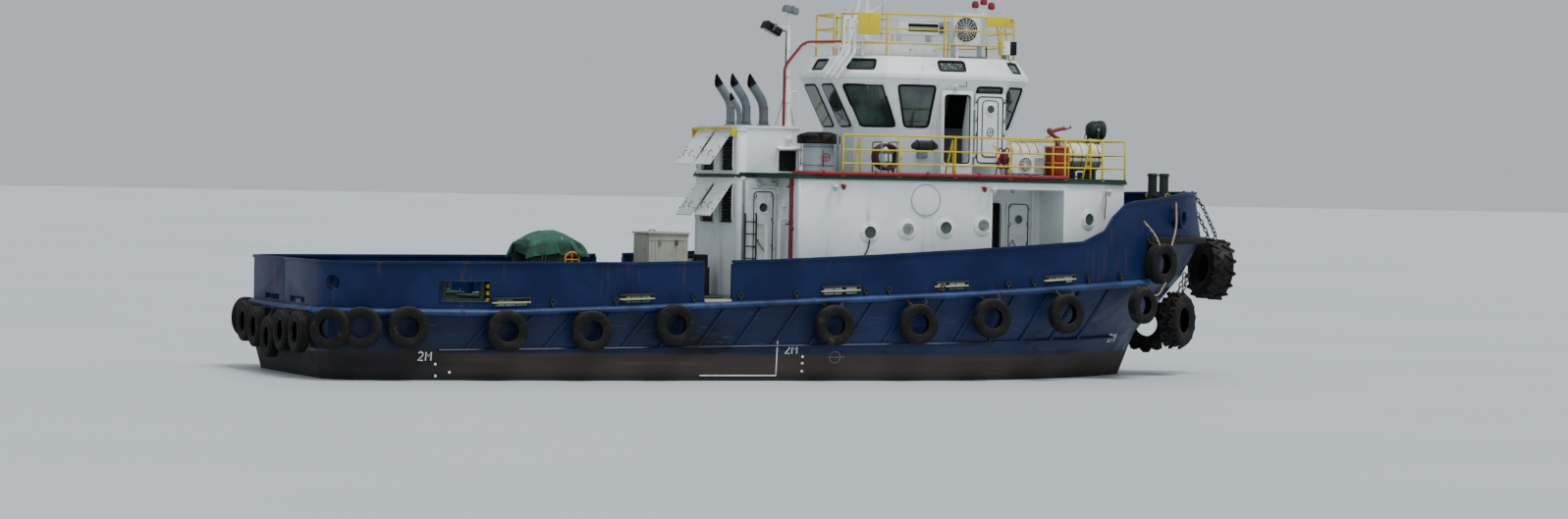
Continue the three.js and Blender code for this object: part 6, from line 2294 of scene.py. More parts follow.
    def door(self) -> None:
        """Adds the casing door's fittings on its leaf, the pipes over and beside it, and a dark block of
        painted shade at its foot.
        """
        low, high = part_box("casing_door")
        leaf = Form()
        weather_leaf(leaf, low, high, low.y, -1)
        leaf.done("casing_door_fittings", "casing_door", sharp=50)
        form = Form()
        y = -self.half
        form.tube(bent([(-0.82, y - 0.06, 4.36), (-0.16, y - 0.06, 4.36), (-0.16, y - 0.06, 4.2)], 0.06),
                  0.03, TRIM, 10)
        gooseneck(form, (-0.17, y - 0.32, 1.9), 2.15, (0.0, -0.2), 0.055, TRIM)
        gooseneck(form, (-0.32, y - 0.62, 1.88), 1.75, (0.2, 0.0), 0.05, TRIM)
        form.tube(bent([(-0.6, y - 0.52, 1.88), (-0.6, y - 0.52, 3.5), (-0.6, y - 0.02, 3.5)], 0.12), 0.035,
                  TRIM, 10)
        handwheel(form, (-0.17, y - 0.42, 2.5), TO_STARBOARD, 0.09, RED)
        lamp(form, (-0.62, y, 4.42), TO_STARBOARD, 0.1, TRIM, DEADLIGHT)
        lamp(form, (-0.26, y, 4.44), TO_STARBOARD, 0.085, TRIM, DEADLIGHT)
        form.rod((-0.98, y - 0.02, 1.88), (-0.98, y - 0.02, 4.5), 0.035, GREY, 12)
        # painted shade: a dark block on the deck at the casing's foot stands for the shade in the recess
        # there
        form.box((-1.04, y - 0.9, 1.86), (-0.3, y - 0.2, 2.02), GEAR, 0.02)
        form.done("casing_pipes", sharp=50)

    def build(self) -> None:
        """Builds the casing's fittings."""
        self.louvres()
        self.flap_fittings()
        self.stays()
        self.ladder()
        self.door()


@dataclass
class Exhausts:
    """The casing's roof plate and its bent exhausts with slanted, sooty mouths.

    Attributes:
        pipes: x, y, radius, height of the bend and height of the mouth.
        lean: how far the head leans aft for each metre that it rises.
        plan: starboard half outline of the roof plate, y positive.
        top: height of the plate's upper face.
    """

    pipes: tuple = ((-0.76, -0.48, 0.062, 6.12, 6.48), (-0.56, -0.42, 0.1, 6.3, 6.9),
                    (-0.62, 0.42, 0.1, 6.3, 6.9), (-0.08, -0.3, 0.108, 6.3, 6.9))
    lean: float = 0.72
    plan: tuple = ((-1.13, 1.18), (-1.05, 1.33), (-0.91, 1.4), (0.42, 1.4))
    top: float = 5.76

    def build(self) -> None:
        """Builds the plate and the exhausts in place of their CAD node."""
        form = Form()
        outline = [(x, -y) for x, y in self.plan] + [(x, y) for x, y in reversed(self.plan)]
        form.prism(outline, "z", self.top - 0.0597, self.top, WHITE)
        for x, y, radius, bend, mouth in self.pipes:
            run = mouth - bend
            shift = self.lean * run
            line = bent([(x, y, self.top - 0.01), (x, y, bend), (x - shift, y, mouth)], radius * 2.2, 8)
            form.tube(line[:-1] + [line[-2].lerp(line[-1], 0.55)], radius, GREY, 24)
            base = line[-2].lerp(line[-1], 0.5)
            ahead = (line[-1] - line[-2]).normalized()
            side = Vector(ACROSS)
            other = ahead.cross(side)
            start, outer, inner = [], [], []
            for a in turns(24):
                way = side * math.cos(a) + other * math.sin(a)
                point = base + way * radius
                reach = (line[-1] - base).length * (0.55 + 0.45 * -math.sin(a)) + radius * 0.2
                start.append(point)
                outer.append(point + ahead * max(0.03, reach))
                inner.append(point - way * radius * 0.12 + ahead * max(0.03, reach))
            deep = [base + (p - base) * 0.86 for p in start]
            form.loft([start, outer, inner, deep], SOOT)
            form.turned([(radius + 0.045, 0), (radius + 0.045, 0.03), (radius + 0.02, 0.04)],
                        (x, y, self.top), UP, GREY, 28)
            form.turned([(radius + 0.018, 0), (radius + 0.018, 0.025)], (x, y, self.top + 0.09), UP, GREY, 28)
            form.tube(circle((x, y, bend - 0.1), UP, radius + 0.004, 28), 0.008, GREY, 6, True)
        form.done("exhausts", replaces=["exhaust_stacks"], sharp=45)
        for x, y, radius, bend, mouth in self.pipes[1:]:
            grown_piece(stud_growth(STEEL), STEEL, f"exhaust_bolts_{round(abs(x * 100))}",
                        [circle((x, y, self.top + 0.045), UP, radius + 0.032)], True, Pitch=0.09,
                        Radius=0.012)


# What stands on the upper deck and on the wheelhouse

@dataclass
class Ventilator:
    """A mushroom ventilator: a grey trunk with welded bands under a wide dark cap.

    Attributes:
        side: its side of the boat.
        place: its x and its distance from the middle.
        radius: the trunk's radius.
        cap: the cap's radius.
        foot: height of the deck.
        neck: height where the cap starts.
    """

    side: Side
    place: tuple[float, float] = (0.62, 1.96)
    radius: float = 0.36
    cap: float = 0.5
    foot: float = UPPER_DECK
    neck: float = 5.37

    def build(self) -> None:
        """Builds the ventilator in place of its CAD node."""
        x, y = self.place[0], self.side.value * self.place[1]
        form = Form()
        r, c = self.radius, self.cap
        form.turned([(r * 0.99, 0), (r * 0.99, self.neck - self.foot + 0.05)], (x, y, self.foot), UP, PALE,
                    48)
        for z, wide in ((self.foot, 1.16), (self.foot + 0.22, 1.02), (5.28, 1.03)):
            form.turned([(r * 0.98, 0), (r * wide, 0.004), (r * wide, 0.026), (r * 0.98, 0.03)], (x, y, z),
                        UP, GREY, 48)
        form.turned([(r * 0.9, 0.02), (c - 0.012, 0.02), (c - 0.012, 0), (c, 0), (c, 0.165),
                     (c - 0.012, 0.19), (0.42, 0.225), (0.25, 0.27), (0, 0.275)], (x, y, self.neck), UP, SOOT,
                    56)
        for k in range(3):
            a = 2 * math.pi * k / 3 + 0.4
            px, py = x + (r + 0.05) * math.cos(a), y + (r + 0.05) * math.sin(a)
            form.rod((px, py, self.foot + 0.2), (px, py, self.neck + 0.05), 0.014, STEEL, 10)
        handwheel(form, (x, y + self.side.value * (r + 0.1), self.foot + 0.42), (0, self.side.value, 0), 0.09,
                  RED)
        form.done(f"ventilator_{self.side.word}_shape", replaces=[f"ventilator_{self.side.word}"], sharp=40)
        grown_piece(stud_growth(STEEL), STEEL, f"ventilator_bolts_{self.side.word}",
                    [circle((x, y, self.foot + 0.028), UP, r * 1.08, 40)], True, Pitch=0.14, Radius=0.013)


@dataclass
class Liferaft:
    """A liferaft canister: ribbed shells over a grey lower half, strapped into its cradle.

    Attributes:
        side: its side of the boat.
        start: x of its after end.
        end: x of its fore end.
        place: its distance from the middle.
        axis: height of its middle.
        radius: its radius.
        saddles: x of the cradle's saddles.
        deck: height of the deck.
    """

    side: Side
    start: float = 6.96
    end: float = 7.93
    place: float = 1.65
    axis: float = 5.2
    radius: float = 0.33
    saddles: tuple[float, float] = (7.18, 7.71)
    deck: float = UPPER_DECK

    def shell(self) -> list[tuple[float, float]]:
        """Radius and height rows of the canister, with its end dishes and its moulded ribs."""
        length, r = self.end - self.start, self.radius
        rows = [(0, 0), (r - 0.12, 0.0), (r - 0.085, 0.012), (r - 0.02, 0.055), (r - 0.006, 0.085)]
        for share in (0.2, 0.36, 0.64, 0.8):
            z = length * share
            rows += [(r - 0.006, z - 0.035), (r, z - 0.025), (r, z + 0.025), (r - 0.006, z + 0.035)]
        return [*rows, (r - 0.006, length - 0.085), (r - 0.02, length - 0.055), (r - 0.085, length - 0.012),
                (r - 0.12, length), (0, length)]

    def build(self) -> None:
        """Builds the canister, its straps and its cradle in place of the CAD node."""
        y = self.side.value * self.place
        form = Form()
        form.turned(self.shell(), (self.start, y, self.axis), AHEAD, CANISTER, 56)
        r = self.radius
        form.box((self.start + 0.03, y - r - 0.004, self.axis - 0.018),
                 (self.end - 0.03, y + r + 0.004, self.axis + 0.018), GASKET, 0.006)
        for x in (7.1, 7.34, 7.56, 7.79):
            form.tube(circle((x, y, self.axis), AHEAD, r + 0.004, 40), 0.007, GASKET, 6, True)
        for x in self.saddles:
            outline = [(y - 0.26, self.deck), (y + 0.26, self.deck), (y + 0.26, self.axis - 0.17)]
            outline += [(y + r * 1.01 * math.sin(a), self.axis - r * 1.01 * math.cos(a))
                        for a in (math.radians(d) for d in (50, 30, 10, -10, -30, -50))]
            outline += [(y - 0.26, self.axis - 0.17)]
            form.prism(outline, "x", x - 0.03, x + 0.03, GEAR)
            for end in (-1, 1):
                form.box((x - 0.05, y + end * 0.26 - 0.02, self.deck), (x + 0.05, y + end * 0.26 + 0.02,
                                                                        self.deck + 0.02), GEAR, 0.004)
        for end in (-1, 1):
            form.rod((self.saddles[0], y + end * 0.22, self.deck + 0.1), (self.saddles[1], y + end * 0.22,
                                                                          self.deck + 0.1), 0.02, GEAR, 10)
        form.box((7.4, y - 0.05, self.deck), (7.5, y + 0.05, self.deck + 0.2), GEAR, 0.01)
        form.rod((7.45, y - self.side.value * 0.3, 4.9), (7.45, y - self.side.value * 0.42, 4.9), 0.05, TRIM,
                 16)
        form.done(f"liferaft_{self.side.word}_shape", replaces=[f"liferaft_{self.side.word}"], sharp=40)


@dataclass
class CoolingUnit:
    """The face of an outdoor cooling unit: fan, guard, side fins, seams, pipes, and a dark disc behind the
    fan as painted shade.

    Attributes:
        node: its CAD node.
        fan: x of the fan's middle.
    """

    node: str
    fan: float

    def build(self) -> None:
        """Builds the unit's fittings on its CAD node."""
        low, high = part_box(self.node)
        foot = high.z - (0.45 if self.node.startswith("deck") else 0.76)
        middle, radius = (foot + high.z) / 2, (high.z - foot) * 0.4
        y = low.y
        form = Form()
        hub = Vector((self.fan, y + 0.045, middle))
        face = Vector((self.fan, y - 0.004, middle))
        # painted shade: a dark disc behind the blades stands for the shade inside the fan's opening
        form.turned([(0, 0), (radius * 0.97, 0), (radius * 0.97, 0.01), (0, 0.01)],
                    (self.fan, y + 0.056, middle), TO_STARBOARD, GASKET, 32)
        form.turned([(0, 0), (radius * 0.2, 0), (radius * 0.2, 0.03), (0, 0.036)],
                    (self.fan, y + 0.04, middle), TO_STARBOARD, GEAR, 24)
        for k in range(4):
            turn = Matrix.Translation(hub) @ Matrix.Rotation(math.pi / 2 * k + 0.3, 4,
                                                             "Y") @ Matrix.Rotation(0.45, 4, "X")
            form.box((radius * 0.1, -0.006, -radius * 0.28), (radius * 0.88, 0.006, radius * 0.28), GEAR,
                     0.003, turn)
        for share in (0.25, 0.42, 0.59, 0.76, 0.93):
            form.tube(circle((self.fan, y - 0.006, middle), ACROSS, radius * share, 32), 0.004, TRIM, 5, True)
        for k in range(8):
            a = math.pi * k / 8
            reach = Vector((math.cos(a), 0, math.sin(a))) * radius * 0.98
            form.rod(face - reach, face + reach, 0.004, TRIM, 6)
        form.tube(circle((self.fan, y - 0.002, middle), ACROSS, radius * 1.01, 40), 0.012, TRIM, 8, True)
        form.box((low.x - 0.006, y - 0.006, foot - 0.004), (high.x + 0.006, y + 0.012, foot + 0.03), GREY,
                 0.004)
        form.box((low.x - 0.004, y - 0.004, high.z - 0.016), (high.x + 0.004, high.y + 0.004, high.z + 0.006),
                 TRIM, 0.006)
        for z in (foot + 0.1, foot + 0.2):
            form.rod((high.x, high.y - 0.08, z), (high.x + 0.05, high.y - 0.08, z), 0.014, BRONZE, 10)
            form.tube(bent([(high.x + 0.04, high.y - 0.08, z), (high.x + 0.1, high.y - 0.08, z),
                            (high.x + 0.1, high.y - 0.08, low.z + 0.02)], 0.04), 0.014, GASKET, 8)
        form.done(f"{self.node}_face", sharp=50)
        edge = self.fan + radius * 1.15
        if high.x - edge > 0.08:
            x = (edge + high.x) / 2
            line = [(x, y - 0.003, foot + 0.06), (x, y - 0.003, high.z - 0.06)]
            grown_piece(slat_growth(GREY), GREY, f"{self.node}_fins", [line], Count=14,
                        Long=high.x - edge - 0.04, Deep=0.012, Thick=0.006, Lean=0.5)


@dataclass
class FireMonitor:
    """The fire monitor's cabinet with its yellow frame, and the small red monitor on top of it.

    Attributes:
        low: the cabinet's lowest corner.
        high: its highest corner.
    """

    low: tuple[float, float, float] = (6.4, -2.32, UPPER_DECK)
    high: tuple[float, float, float] = (6.85, -1.88, 5.44)

    def build(self) -> None:
        """Builds the cabinet and the monitor in place of the CAD node."""
        form = Form()
        (x0, y0, z0), (x1, y1, z1) = self.low, self.high
        form.box((x0 + 0.03, y0 + 0.03, z0), (x1 - 0.03, y1 - 0.03, z1 - 0.02), RED, 0.012)
        for x in (x0, x1 - 0.045):
            for y in (y0, y1 - 0.045):
                form.box((x, y, z0), (x + 0.045, y + 0.045, z1), AMBER, 0.005)
        for z in (z0 + 0.02, (z0 + z1) / 2 - 0.02, z1 - 0.045):
            for y in (y0 + 0.003, y1 - 0.043):
                form.box((x0 + 0.01, y, z), (x1 - 0.01, y + 0.04, z + 0.04), AMBER, 0.005)
            for x in (x0 + 0.003, x1 - 0.043):
                form.box((x, y0 + 0.01, z), (x + 0.04, y1 - 0.01, z + 0.04), AMBER, 0.005)
        form.box((x0 + 0.09, y0 + 0.012, z0 + 0.1), (x1 - 0.09, y0 + 0.034, z0 + 0.34), RED, 0.006)
        form.box((x0 + 0.09, y0 + 0.012, z0 + 0.45), (x1 - 0.09, y0 + 0.034, z0 + 0.68), RED, 0.006)
        form.rod((x1 - 0.13, y0 + 0.02, z0 + 0.22), (x1 - 0.13, y0 - 0.015, z0 + 0.22), 0.018, STEEL, 10)
        form.rod((6.63, -2.1, 5.4), (6.63, -2.1, 5.66), 0.058, RED, 24)
        for z in (5.43, 5.55):
            form.turned([(0.05, 0), (0.098, 0), (0.098, 0.02), (0.05, 0.022)], (6.63, -2.1, z), UP, RED, 28)
        line = bent([(6.63, -2.1, 5.62), (6.52, -2.1, 5.68), (6.45, -2.1, 5.76), (6.6, -2.1, 5.82),
                     (6.84, -2.1, 5.87)], 0.09, 6)
        form.tube(line, 0.045, RED, 18)
        form.turned([(0.046, 0), (0.055, 0.0), (0.055, 0.05), (0.046, 0.055), (0.036, 0.15), (0.044, 0.17),
                     (0.03, 0.17)], (6.8, -2.1, 5.86), (0.96, 0, 0.2), STEEL, 22)
        form.tube(bent([(6.5, -2.1, 5.68), (6.38, -2.04, 5.64), (6.33, -2.0, 5.58)], 0.05), 0.014, STEEL, 8)
        handwheel(form, (6.63, -2.26, 5.52), TO_STARBOARD, 0.075, STEEL)
        form.turned([(0.05, 0), (0.07, 0.05), (0.07, 0.12), (0.04, 0.16)], (6.47, -2.1, 5.71),
                    (-0.5, 0, 0.86), RED, 20)
        form.done("fire_monitor_shape", replaces=["fire_monitor"], sharp=45)


@dataclass
class Searchlight:
    """The dark searchlight on its yoke and post.

    Attributes:
        place: its pivot.
        radius: its barrel's radius.
        foot: height of the deck that its post stands on.
    """

    place: tuple[float, float, float] = (8.35, -0.5, 5.86)
    radius: float = 0.23
    foot: float = UPPER_DECK

    def build(self) -> None:
        """Builds the searchlight in place of its CAD node."""
        x, y, z = self.place
        r = self.radius
        form = Form()
        barrel = [(0, 0), (0.09, 0.0), (0.15, 0.03), (0.19, 0.08), (0.2, 0.1), (r - 0.02, 0.12),
                  (r - 0.02, 0.3), (r, 0.31), (r, 0.40), (r - 0.012, 0.42), (r - 0.03, 0.42),
                  (r - 0.03, 0.385), (0, 0.38)]
        form.turned(barrel, (x - 0.17, y, z), AHEAD, GEAR, 40)
        form.turned([(0, 0), (r - 0.032, 0), (r - 0.034, 0.012), (0, 0.024)], (x + 0.212, y, z), AHEAD,
                    DEADLIGHT, 40)
        for k in range(5):
            form.turned([(0.2, 0), (0.218, 0.002), (0.218, 0.012), (0.2, 0.014)], (x - 0.03 + 0.03 * k, y, z),
                        AHEAD, GEAR, 40)
        for end in (-1, 1):
            form.box((x - 0.03, y + end * 0.27 - 0.018, z - 0.32), (x + 0.03, y + end * 0.27 + 0.018,
                                                                    z + 0.05), GEAR, 0.008)
            form.rod((x, y + end * 0.2, z), (x, y + end * 0.3, z), 0.035, STEEL, 16)
        form.box((x - 0.035, y - 0.288, z - 0.35), (x + 0.035, y + 0.288, z - 0.31), GEAR, 0.008)
        form.rod((x, y, self.foot), (x, y, z - 0.33), 0.045, TRIM, 20)
        form.turned([(0.11, 0), (0.11, 0.015), (0.06, 0.03)], (x, y, self.foot), UP, TRIM, 24)
        form.turned([(0.05, 0), (0.075, 0.01), (0.075, 0.09), (0.05, 0.1)], (x, y, z - 0.45), UP, GEAR, 24)
        form.tube(bent([(x - 0.15, y, z - 0.05), (x - 0.24, y, z - 0.15), (x - 0.1, y, z - 0.45),
                        (x - 0.055, y, z - 0.6), (x - 0.055, y, self.foot + 0.03)], 0.1), 0.012, GASKET, 8)
        form.done("searchlight_shape", replaces=["searchlight"], sharp=42)


@dataclass
class LampPole:
    """The white pole behind the wheelhouse with its two floodlights and the pipes beside it.

    Attributes:
        place: its x and y.
        foot: height that it stands on.
        top: height of its head.
    """

    place: tuple[float, float] = (0.155, -1.15)
    foot: float = CASING_TOP
    top: float = 8.5

    def floodlight(self, form: Form, middle: Point, turn: Matrix, wide: float, finish: Finish) -> None:
        """Adds a floodlight: a finned housing, a hood and a dark glass.

        Args:
            form: the form that it joins.
            middle: its middle.
            turn: how it is turned.
            wide: its width.
            finish: the housing's finish.
        """
        place = Matrix.Translation(Vector(middle)) @ turn
        w = wide
        form.box((-0.5 * w, -0.34 * w, -0.2 * w), (0.5 * w, 0.34 * w, 0.2 * w), finish, 0.012, place)
        form.box((-0.46 * w, -0.3 * w, -0.23 * w), (0.46 * w, 0.3 * w, -0.19 * w), GLASS, 0.004, place)
        for k in range(6):
            x = (-0.4 + 0.16 * k) * w
            form.box((x, -0.28 * w, 0.19 * w), (x + 0.03 * w, 0.28 * w, 0.27 * w), finish, 0.002, place)
        for end in (-1, 1):
            form.box((-0.03, end * 0.36 * w - 0.008, -0.05), (0.03, end * 0.36 * w + 0.008, 0.3 * w), STEEL,
                     0.004, place)

    def build(self) -> None:
        """Builds the pole in place of its CAD node."""
        x, y = self.place
        form = Form()
        form.turned([(0.13, 0), (0.13, 0.02), (0.065, 0.03), (0.062, 0.9), (0.05, 0.93), (0.046, 2.2),
                     (0.036, 2.24), (0.034, self.top - self.foot)], (x, y, self.foot), UP, TRIM, 28)
        form.box((x - 0.24, y - 0.02, 8.03), (x + 0.02, y + 0.02, 8.07), TRIM, 0.006)
        self.floodlight(form, (-0.27, y, 8.0), Matrix.Rotation(math.radians(28), 4, "Y"), 0.44, SOOT)
        self.floodlight(form, (x + 0.04, y, 8.44), Matrix.Rotation(math.radians(14), 4, "Y"), 0.34, GREY)
        form.tube(bent([(x - 0.07, y, self.foot), (x - 0.06, y, 7.2), (x - 0.05, y, 7.95),
                        (x - 0.16, y, 7.97)], 0.08), 0.014, GASKET, 8)
        for z in (6.3, 6.9, 7.5):
            form.tube(circle((x - 0.02, y, z), UP, 0.075, 16), 0.006, STEEL, 6, True)
        form.tube(bent([(x + 0.07, y - 0.02, self.foot), (x + 0.07, y - 0.02, 6.57),
                        (x + 0.27, y - 0.02, 6.57), (x + 0.27, y - 0.02, self.foot)], 0.1, 6), 0.02, TRIM, 10)
        for dx, dy in ((-0.35, -0.16), (0.3, 0.3)):
            form.tube([(x + dx, y + dy, self.foot), (x, y, 6.75)], 0.008, STEEL, 6)
        form.done("lamp_pole_shape", replaces=["lamp_pole"], sharp=45)


@dataclass
class RoofPipes:
    """The red and white pipe and the white goosenecks at the wheelhouse's starboard after corner."""

    def build(self) -> None:
        """Builds the pipes."""
        form = Form()
        y = -1.28
        red = bent([(0.02, y, CASING_TOP), (0.02, y, 7.15), (0.5, y, 7.72), (1.42, y, 7.76)], 0.16, 6)
        form.tube(red, 0.032, RED, 12)
        form.tube([p + Vector((0.03, 0.07, -0.09)) for p in red], 0.032, TRIM, 12)
        for k in (3, 8, 12):
            form.rod(red[k] - Vector((0, 0.03, 0)), red[k] + Vector((0.0, 0.1, -0.06)), 0.012, STEEL, 8)
        for k, x in enumerate((1.5, 1.64, 1.78)):
            line = bent([(x - 0.5, y - 0.02 - 0.03 * k, 6.9), (x - 0.05, y - 0.02 - 0.03 * k, 7.5),
                         (x, y + 0.02, 7.66), (x, y + 0.02, 8.3 - 0.05 * k),
                         (x + 0.16, y + 0.02, 8.32 - 0.05 * k), (x + 0.2, y + 0.02, 8.12 - 0.05 * k)], 0.09,
                        6)
            form.tube(line, 0.033, TRIM, 12)
        form.box((1.42, y - 0.03, 7.62), (1.9, y + 0.09, 7.65), TRIM, 0.006)
        form.box((1.0, y - 0.1, 6.98), (1.26, y - 0.02, 7.0), TRIM, 0.004)
        form.done("roof_pipes", sharp=50)


@dataclass
class RoofGear:
    """What stands on the wheelhouse's top: screens, locker doors, boxes, aerials, a beacon and the radar.

    Attributes:
        roof: height of the wheelhouse's top.
    """

    roof: float = WHEELHOUSE_TOP

    def screens(self) -> None:
        """Adds the yellow screens on the rail."""
        form = Form()
        form.box((1.79, -1.43, 7.93), (2.33, -1.405, 8.43), YELLOW, 0.005)
        for x, y, turn in ((5.1, -1.53, 0.0), (5.72, -1.15, 0.9)):
            place = Matrix.Translation((x, y, 0)) @ Matrix.Rotation(turn, 4, "Z")
            form.box((-0.1, -0.012, 8.2), (0.5, 0.012, 8.43), YELLOW, 0.004, place)
        for x in (5.45, 5.8):
            form.tube([(x, -1.42 + (x - 5.45) * 0.9, self.roof), (x - 0.12, -1.42 + (x - 5.45) * 0.9, 8.2)],
                      0.02, YELLOW, 8)
        form.done("rail_screens", sharp=45)

    def locker(self) -> None:
        """Adds the roof locker's doors, seams and latches, and the case's slot above it as a dark patch of
        painted shade.
        """
        form = Form()
        for x0, x1 in ((2.16, 2.74), (2.78, 3.36), (3.4, 3.97)):
            form.box((x0, -1.008, 7.5), (x1, -0.995, 7.76), TRIM, 0.005)
            form.rod((x1 - 0.06, -1.0, 7.63), (x1 - 0.06, -1.03, 7.63), 0.016, STEEL, 10)
        form.box((2.1, -1.03, 7.785), (4.03, -0.42, 7.805), TRIM, 0.006)
        # painted shade: a dark patch with a bar across stands for the slot's shaded inside
        form.box((3.24, -1.012, 8.06), (4.0, -0.992, 8.24), GASKET, 0.004)
        form.box((3.24, -1.022, 8.14), (4.0, -1.004, 8.155), TRIM, 0.003)
        form.box((4.02, -1.012, 8.02), (4.2, -0.994, 8.28), GREY, 0.006)
        form.rod((4.1, -1.0, 8.13), (4.1, -1.05, 8.13), 0.06, GEAR, 20)
        form.box((2.98, -1.02, 8.318), (4.26, -0.43, 8.334), TRIM, 0.005)
        form.done("roof_locker_fittings", sharp=45)

    def boxes(self) -> None:
        """Adds the loudhailer's box, the cable trays, a lamp on the rail, the aerials and a dome."""
        form = Form()
        form.box((5.55, -1.3, 7.56), (5.74, -1.0, 7.88), TRIM, 0.01)
        form.box((5.74, -1.28, 7.56), (5.92, -1.02, 7.88), GASKET, 0.012)
        form.box((5.6, -1.2, self.roof), (5.7, -1.1, 7.57), GREY, 0.006)
        form.box((2.2, 0.3, self.roof), (5.3, 0.42, self.roof + 0.05), GREY, 0.006)
        form.box((4.3, -1.36, self.roof), (5.1, -1.3, self.roof + 0.05), GREY, 0.006)
        lamp(form, (1.72, -0.86, 8.45), UP, 0.06, TRIM, DEADLIGHT)
        form.rod((1.72, -0.86, 8.4), (1.72, -0.86, 8.46), 0.02, TRIM, 10)
        for x, y, height in ((2.0, -1.2, 1.55), (2.62, 1.2, 1.9), (3.3, 1.35, 1.3), (4.3, -1.42, 1.25),
                             (5.2, 1.3, 2.1), (5.75, -0.9, 1.35)):
            foot = Vector((x, y, self.roof))
            form.turned([(0.035, 0), (0.035, 0.1), (0.018, 0.14), (0.012, 0.3), (0.006, height * 0.9),
                         (0.004, height)], foot, UP, TRIM, 12)
        form.turned([(0.08, 0), (0.1, 0.03), (0.1, 0.12), (0.07, 0.2), (0, 0.24)],
                    (3.0, 0.95, self.roof + 0.8), UP, TRIM, 28)
        form.rod((3.0, 0.95, self.roof), (3.0, 0.95, self.roof + 0.82), 0.022, TRIM, 12)
        form.done("roof_fittings", sharp=45)

    def beacon(self) -> None:
        """Adds the red beacon cluster on a short stand above the fore rail."""
        form = Form()
        stand = Vector((5.38, -0.5, self.roof))
        form.rod(stand, stand + Vector((0, 0, 1.2)), 0.03, TRIM, 16)
        for dx, dz in ((-0.2, 1.22), (0.02, 1.3), (0.22, 1.2)):
            foot = stand + Vector((dx, 0, dz))
            form.turned([(0.05, 0), (0.085, 0.02), (0.085, 0.1), (0.06, 0.16), (0, 0.18)], foot, UP, RED, 22)
        form.box((5.15, -0.53, 8.6), (5.64, -0.47, 8.65), TRIM, 0.006)
        form.done("roof_beacon", sharp=45)

    def mast(self) -> None:
        """Adds the mast's lights, rungs and aerials."""
        form = Form()
        for z in (9.75, 10.25, 10.75):
            form.turned([(0.05, 0), (0.1, 0.01), (0.1, 0.03), (0.078, 0.035), (0.078, 0.13), (0.1, 0.135),
                         (0.1, 0.155), (0.04, 0.19), (0, 0.2)], (2.66, 0, z - 0.02), UP, GASKET, 24)
            form.turned([(0.079, 0.04), (0.086, 0.05), (0.086, 0.115), (0.079, 0.125)], (2.66, 0, z - 0.02),
                        UP, DEADLIGHT, 24, True)
        for y in (-1.1, -0.75, 0.75, 1.1):
            form.turned([(0.03, 0), (0.03, 0.08), (0.012, 0.1), (0.007, 0.75), (0.005, 0.9)], (2.6, y, 9.92),
                        UP, TRIM, 12)
            form.rod((2.6, y, 9.9), (2.6, y, 9.86), 0.018, STEEL, 8)
        for k in range(9):
            z = 7.9 + 0.28 * k
            form.tube(bent([(2.53, -0.09, z), (2.43, -0.13, z), (2.43, 0.13, z), (2.53, 0.09, z)], 0.02),
                      0.009, TRIM, 6)
        form.turned([(0.03, 0), (0.03, 0.05), (0.01, 0.08), (0.006, 0.35)], (2.6, 0, 11.3), UP, GASKET, 12)
        form.done("mast_fittings", sharp=45)

    def radar(self) -> None:
        """Adds the scanner's smooth housing on its own body, in place of the CAD node."""
        low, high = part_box("radar_scanner")
        middle = (low + high) / 2
        form = Form()
        rings = []
        angles = [2 * math.pi * (k + 0.5) / 16 for k in range(16)]
        for share, thick in ((-1, 0.5), (-0.985, 0.8), (-0.93, 1.0), (0.93, 1.0), (0.985, 0.8), (1, 0.5)):
            y = middle.y + share * (high.y - low.y) / 2
            deep, tall = (high.x - low.x) / 2 * (0.6 + 0.4 * thick), 0.055 * thick
            rings.append([(middle.x + deep * math.cos(a) * abs(math.cos(a)) ** -0.4, y,
                           high.z - 0.06 + tall * math.sin(a)) for a in angles])
        form.loft(rings, TRIM)
        form.turned([(0.09, 0), (0.09, 0.03), (0.06, 0.05), (0.06, high.z - 0.1 - low.z)],
                    (middle.x, middle.y, low.z), UP, GREY, 28)
        form.done("radar_scanner_shape", "radar_scanner", ["radar_scanner"], sharp=42)

    def build(self) -> None:
        """Builds the gear on the wheelhouse's top."""
        self.screens()
        self.locker()
        self.boxes()
        self.beacon()
        self.mast()
        self.radar()


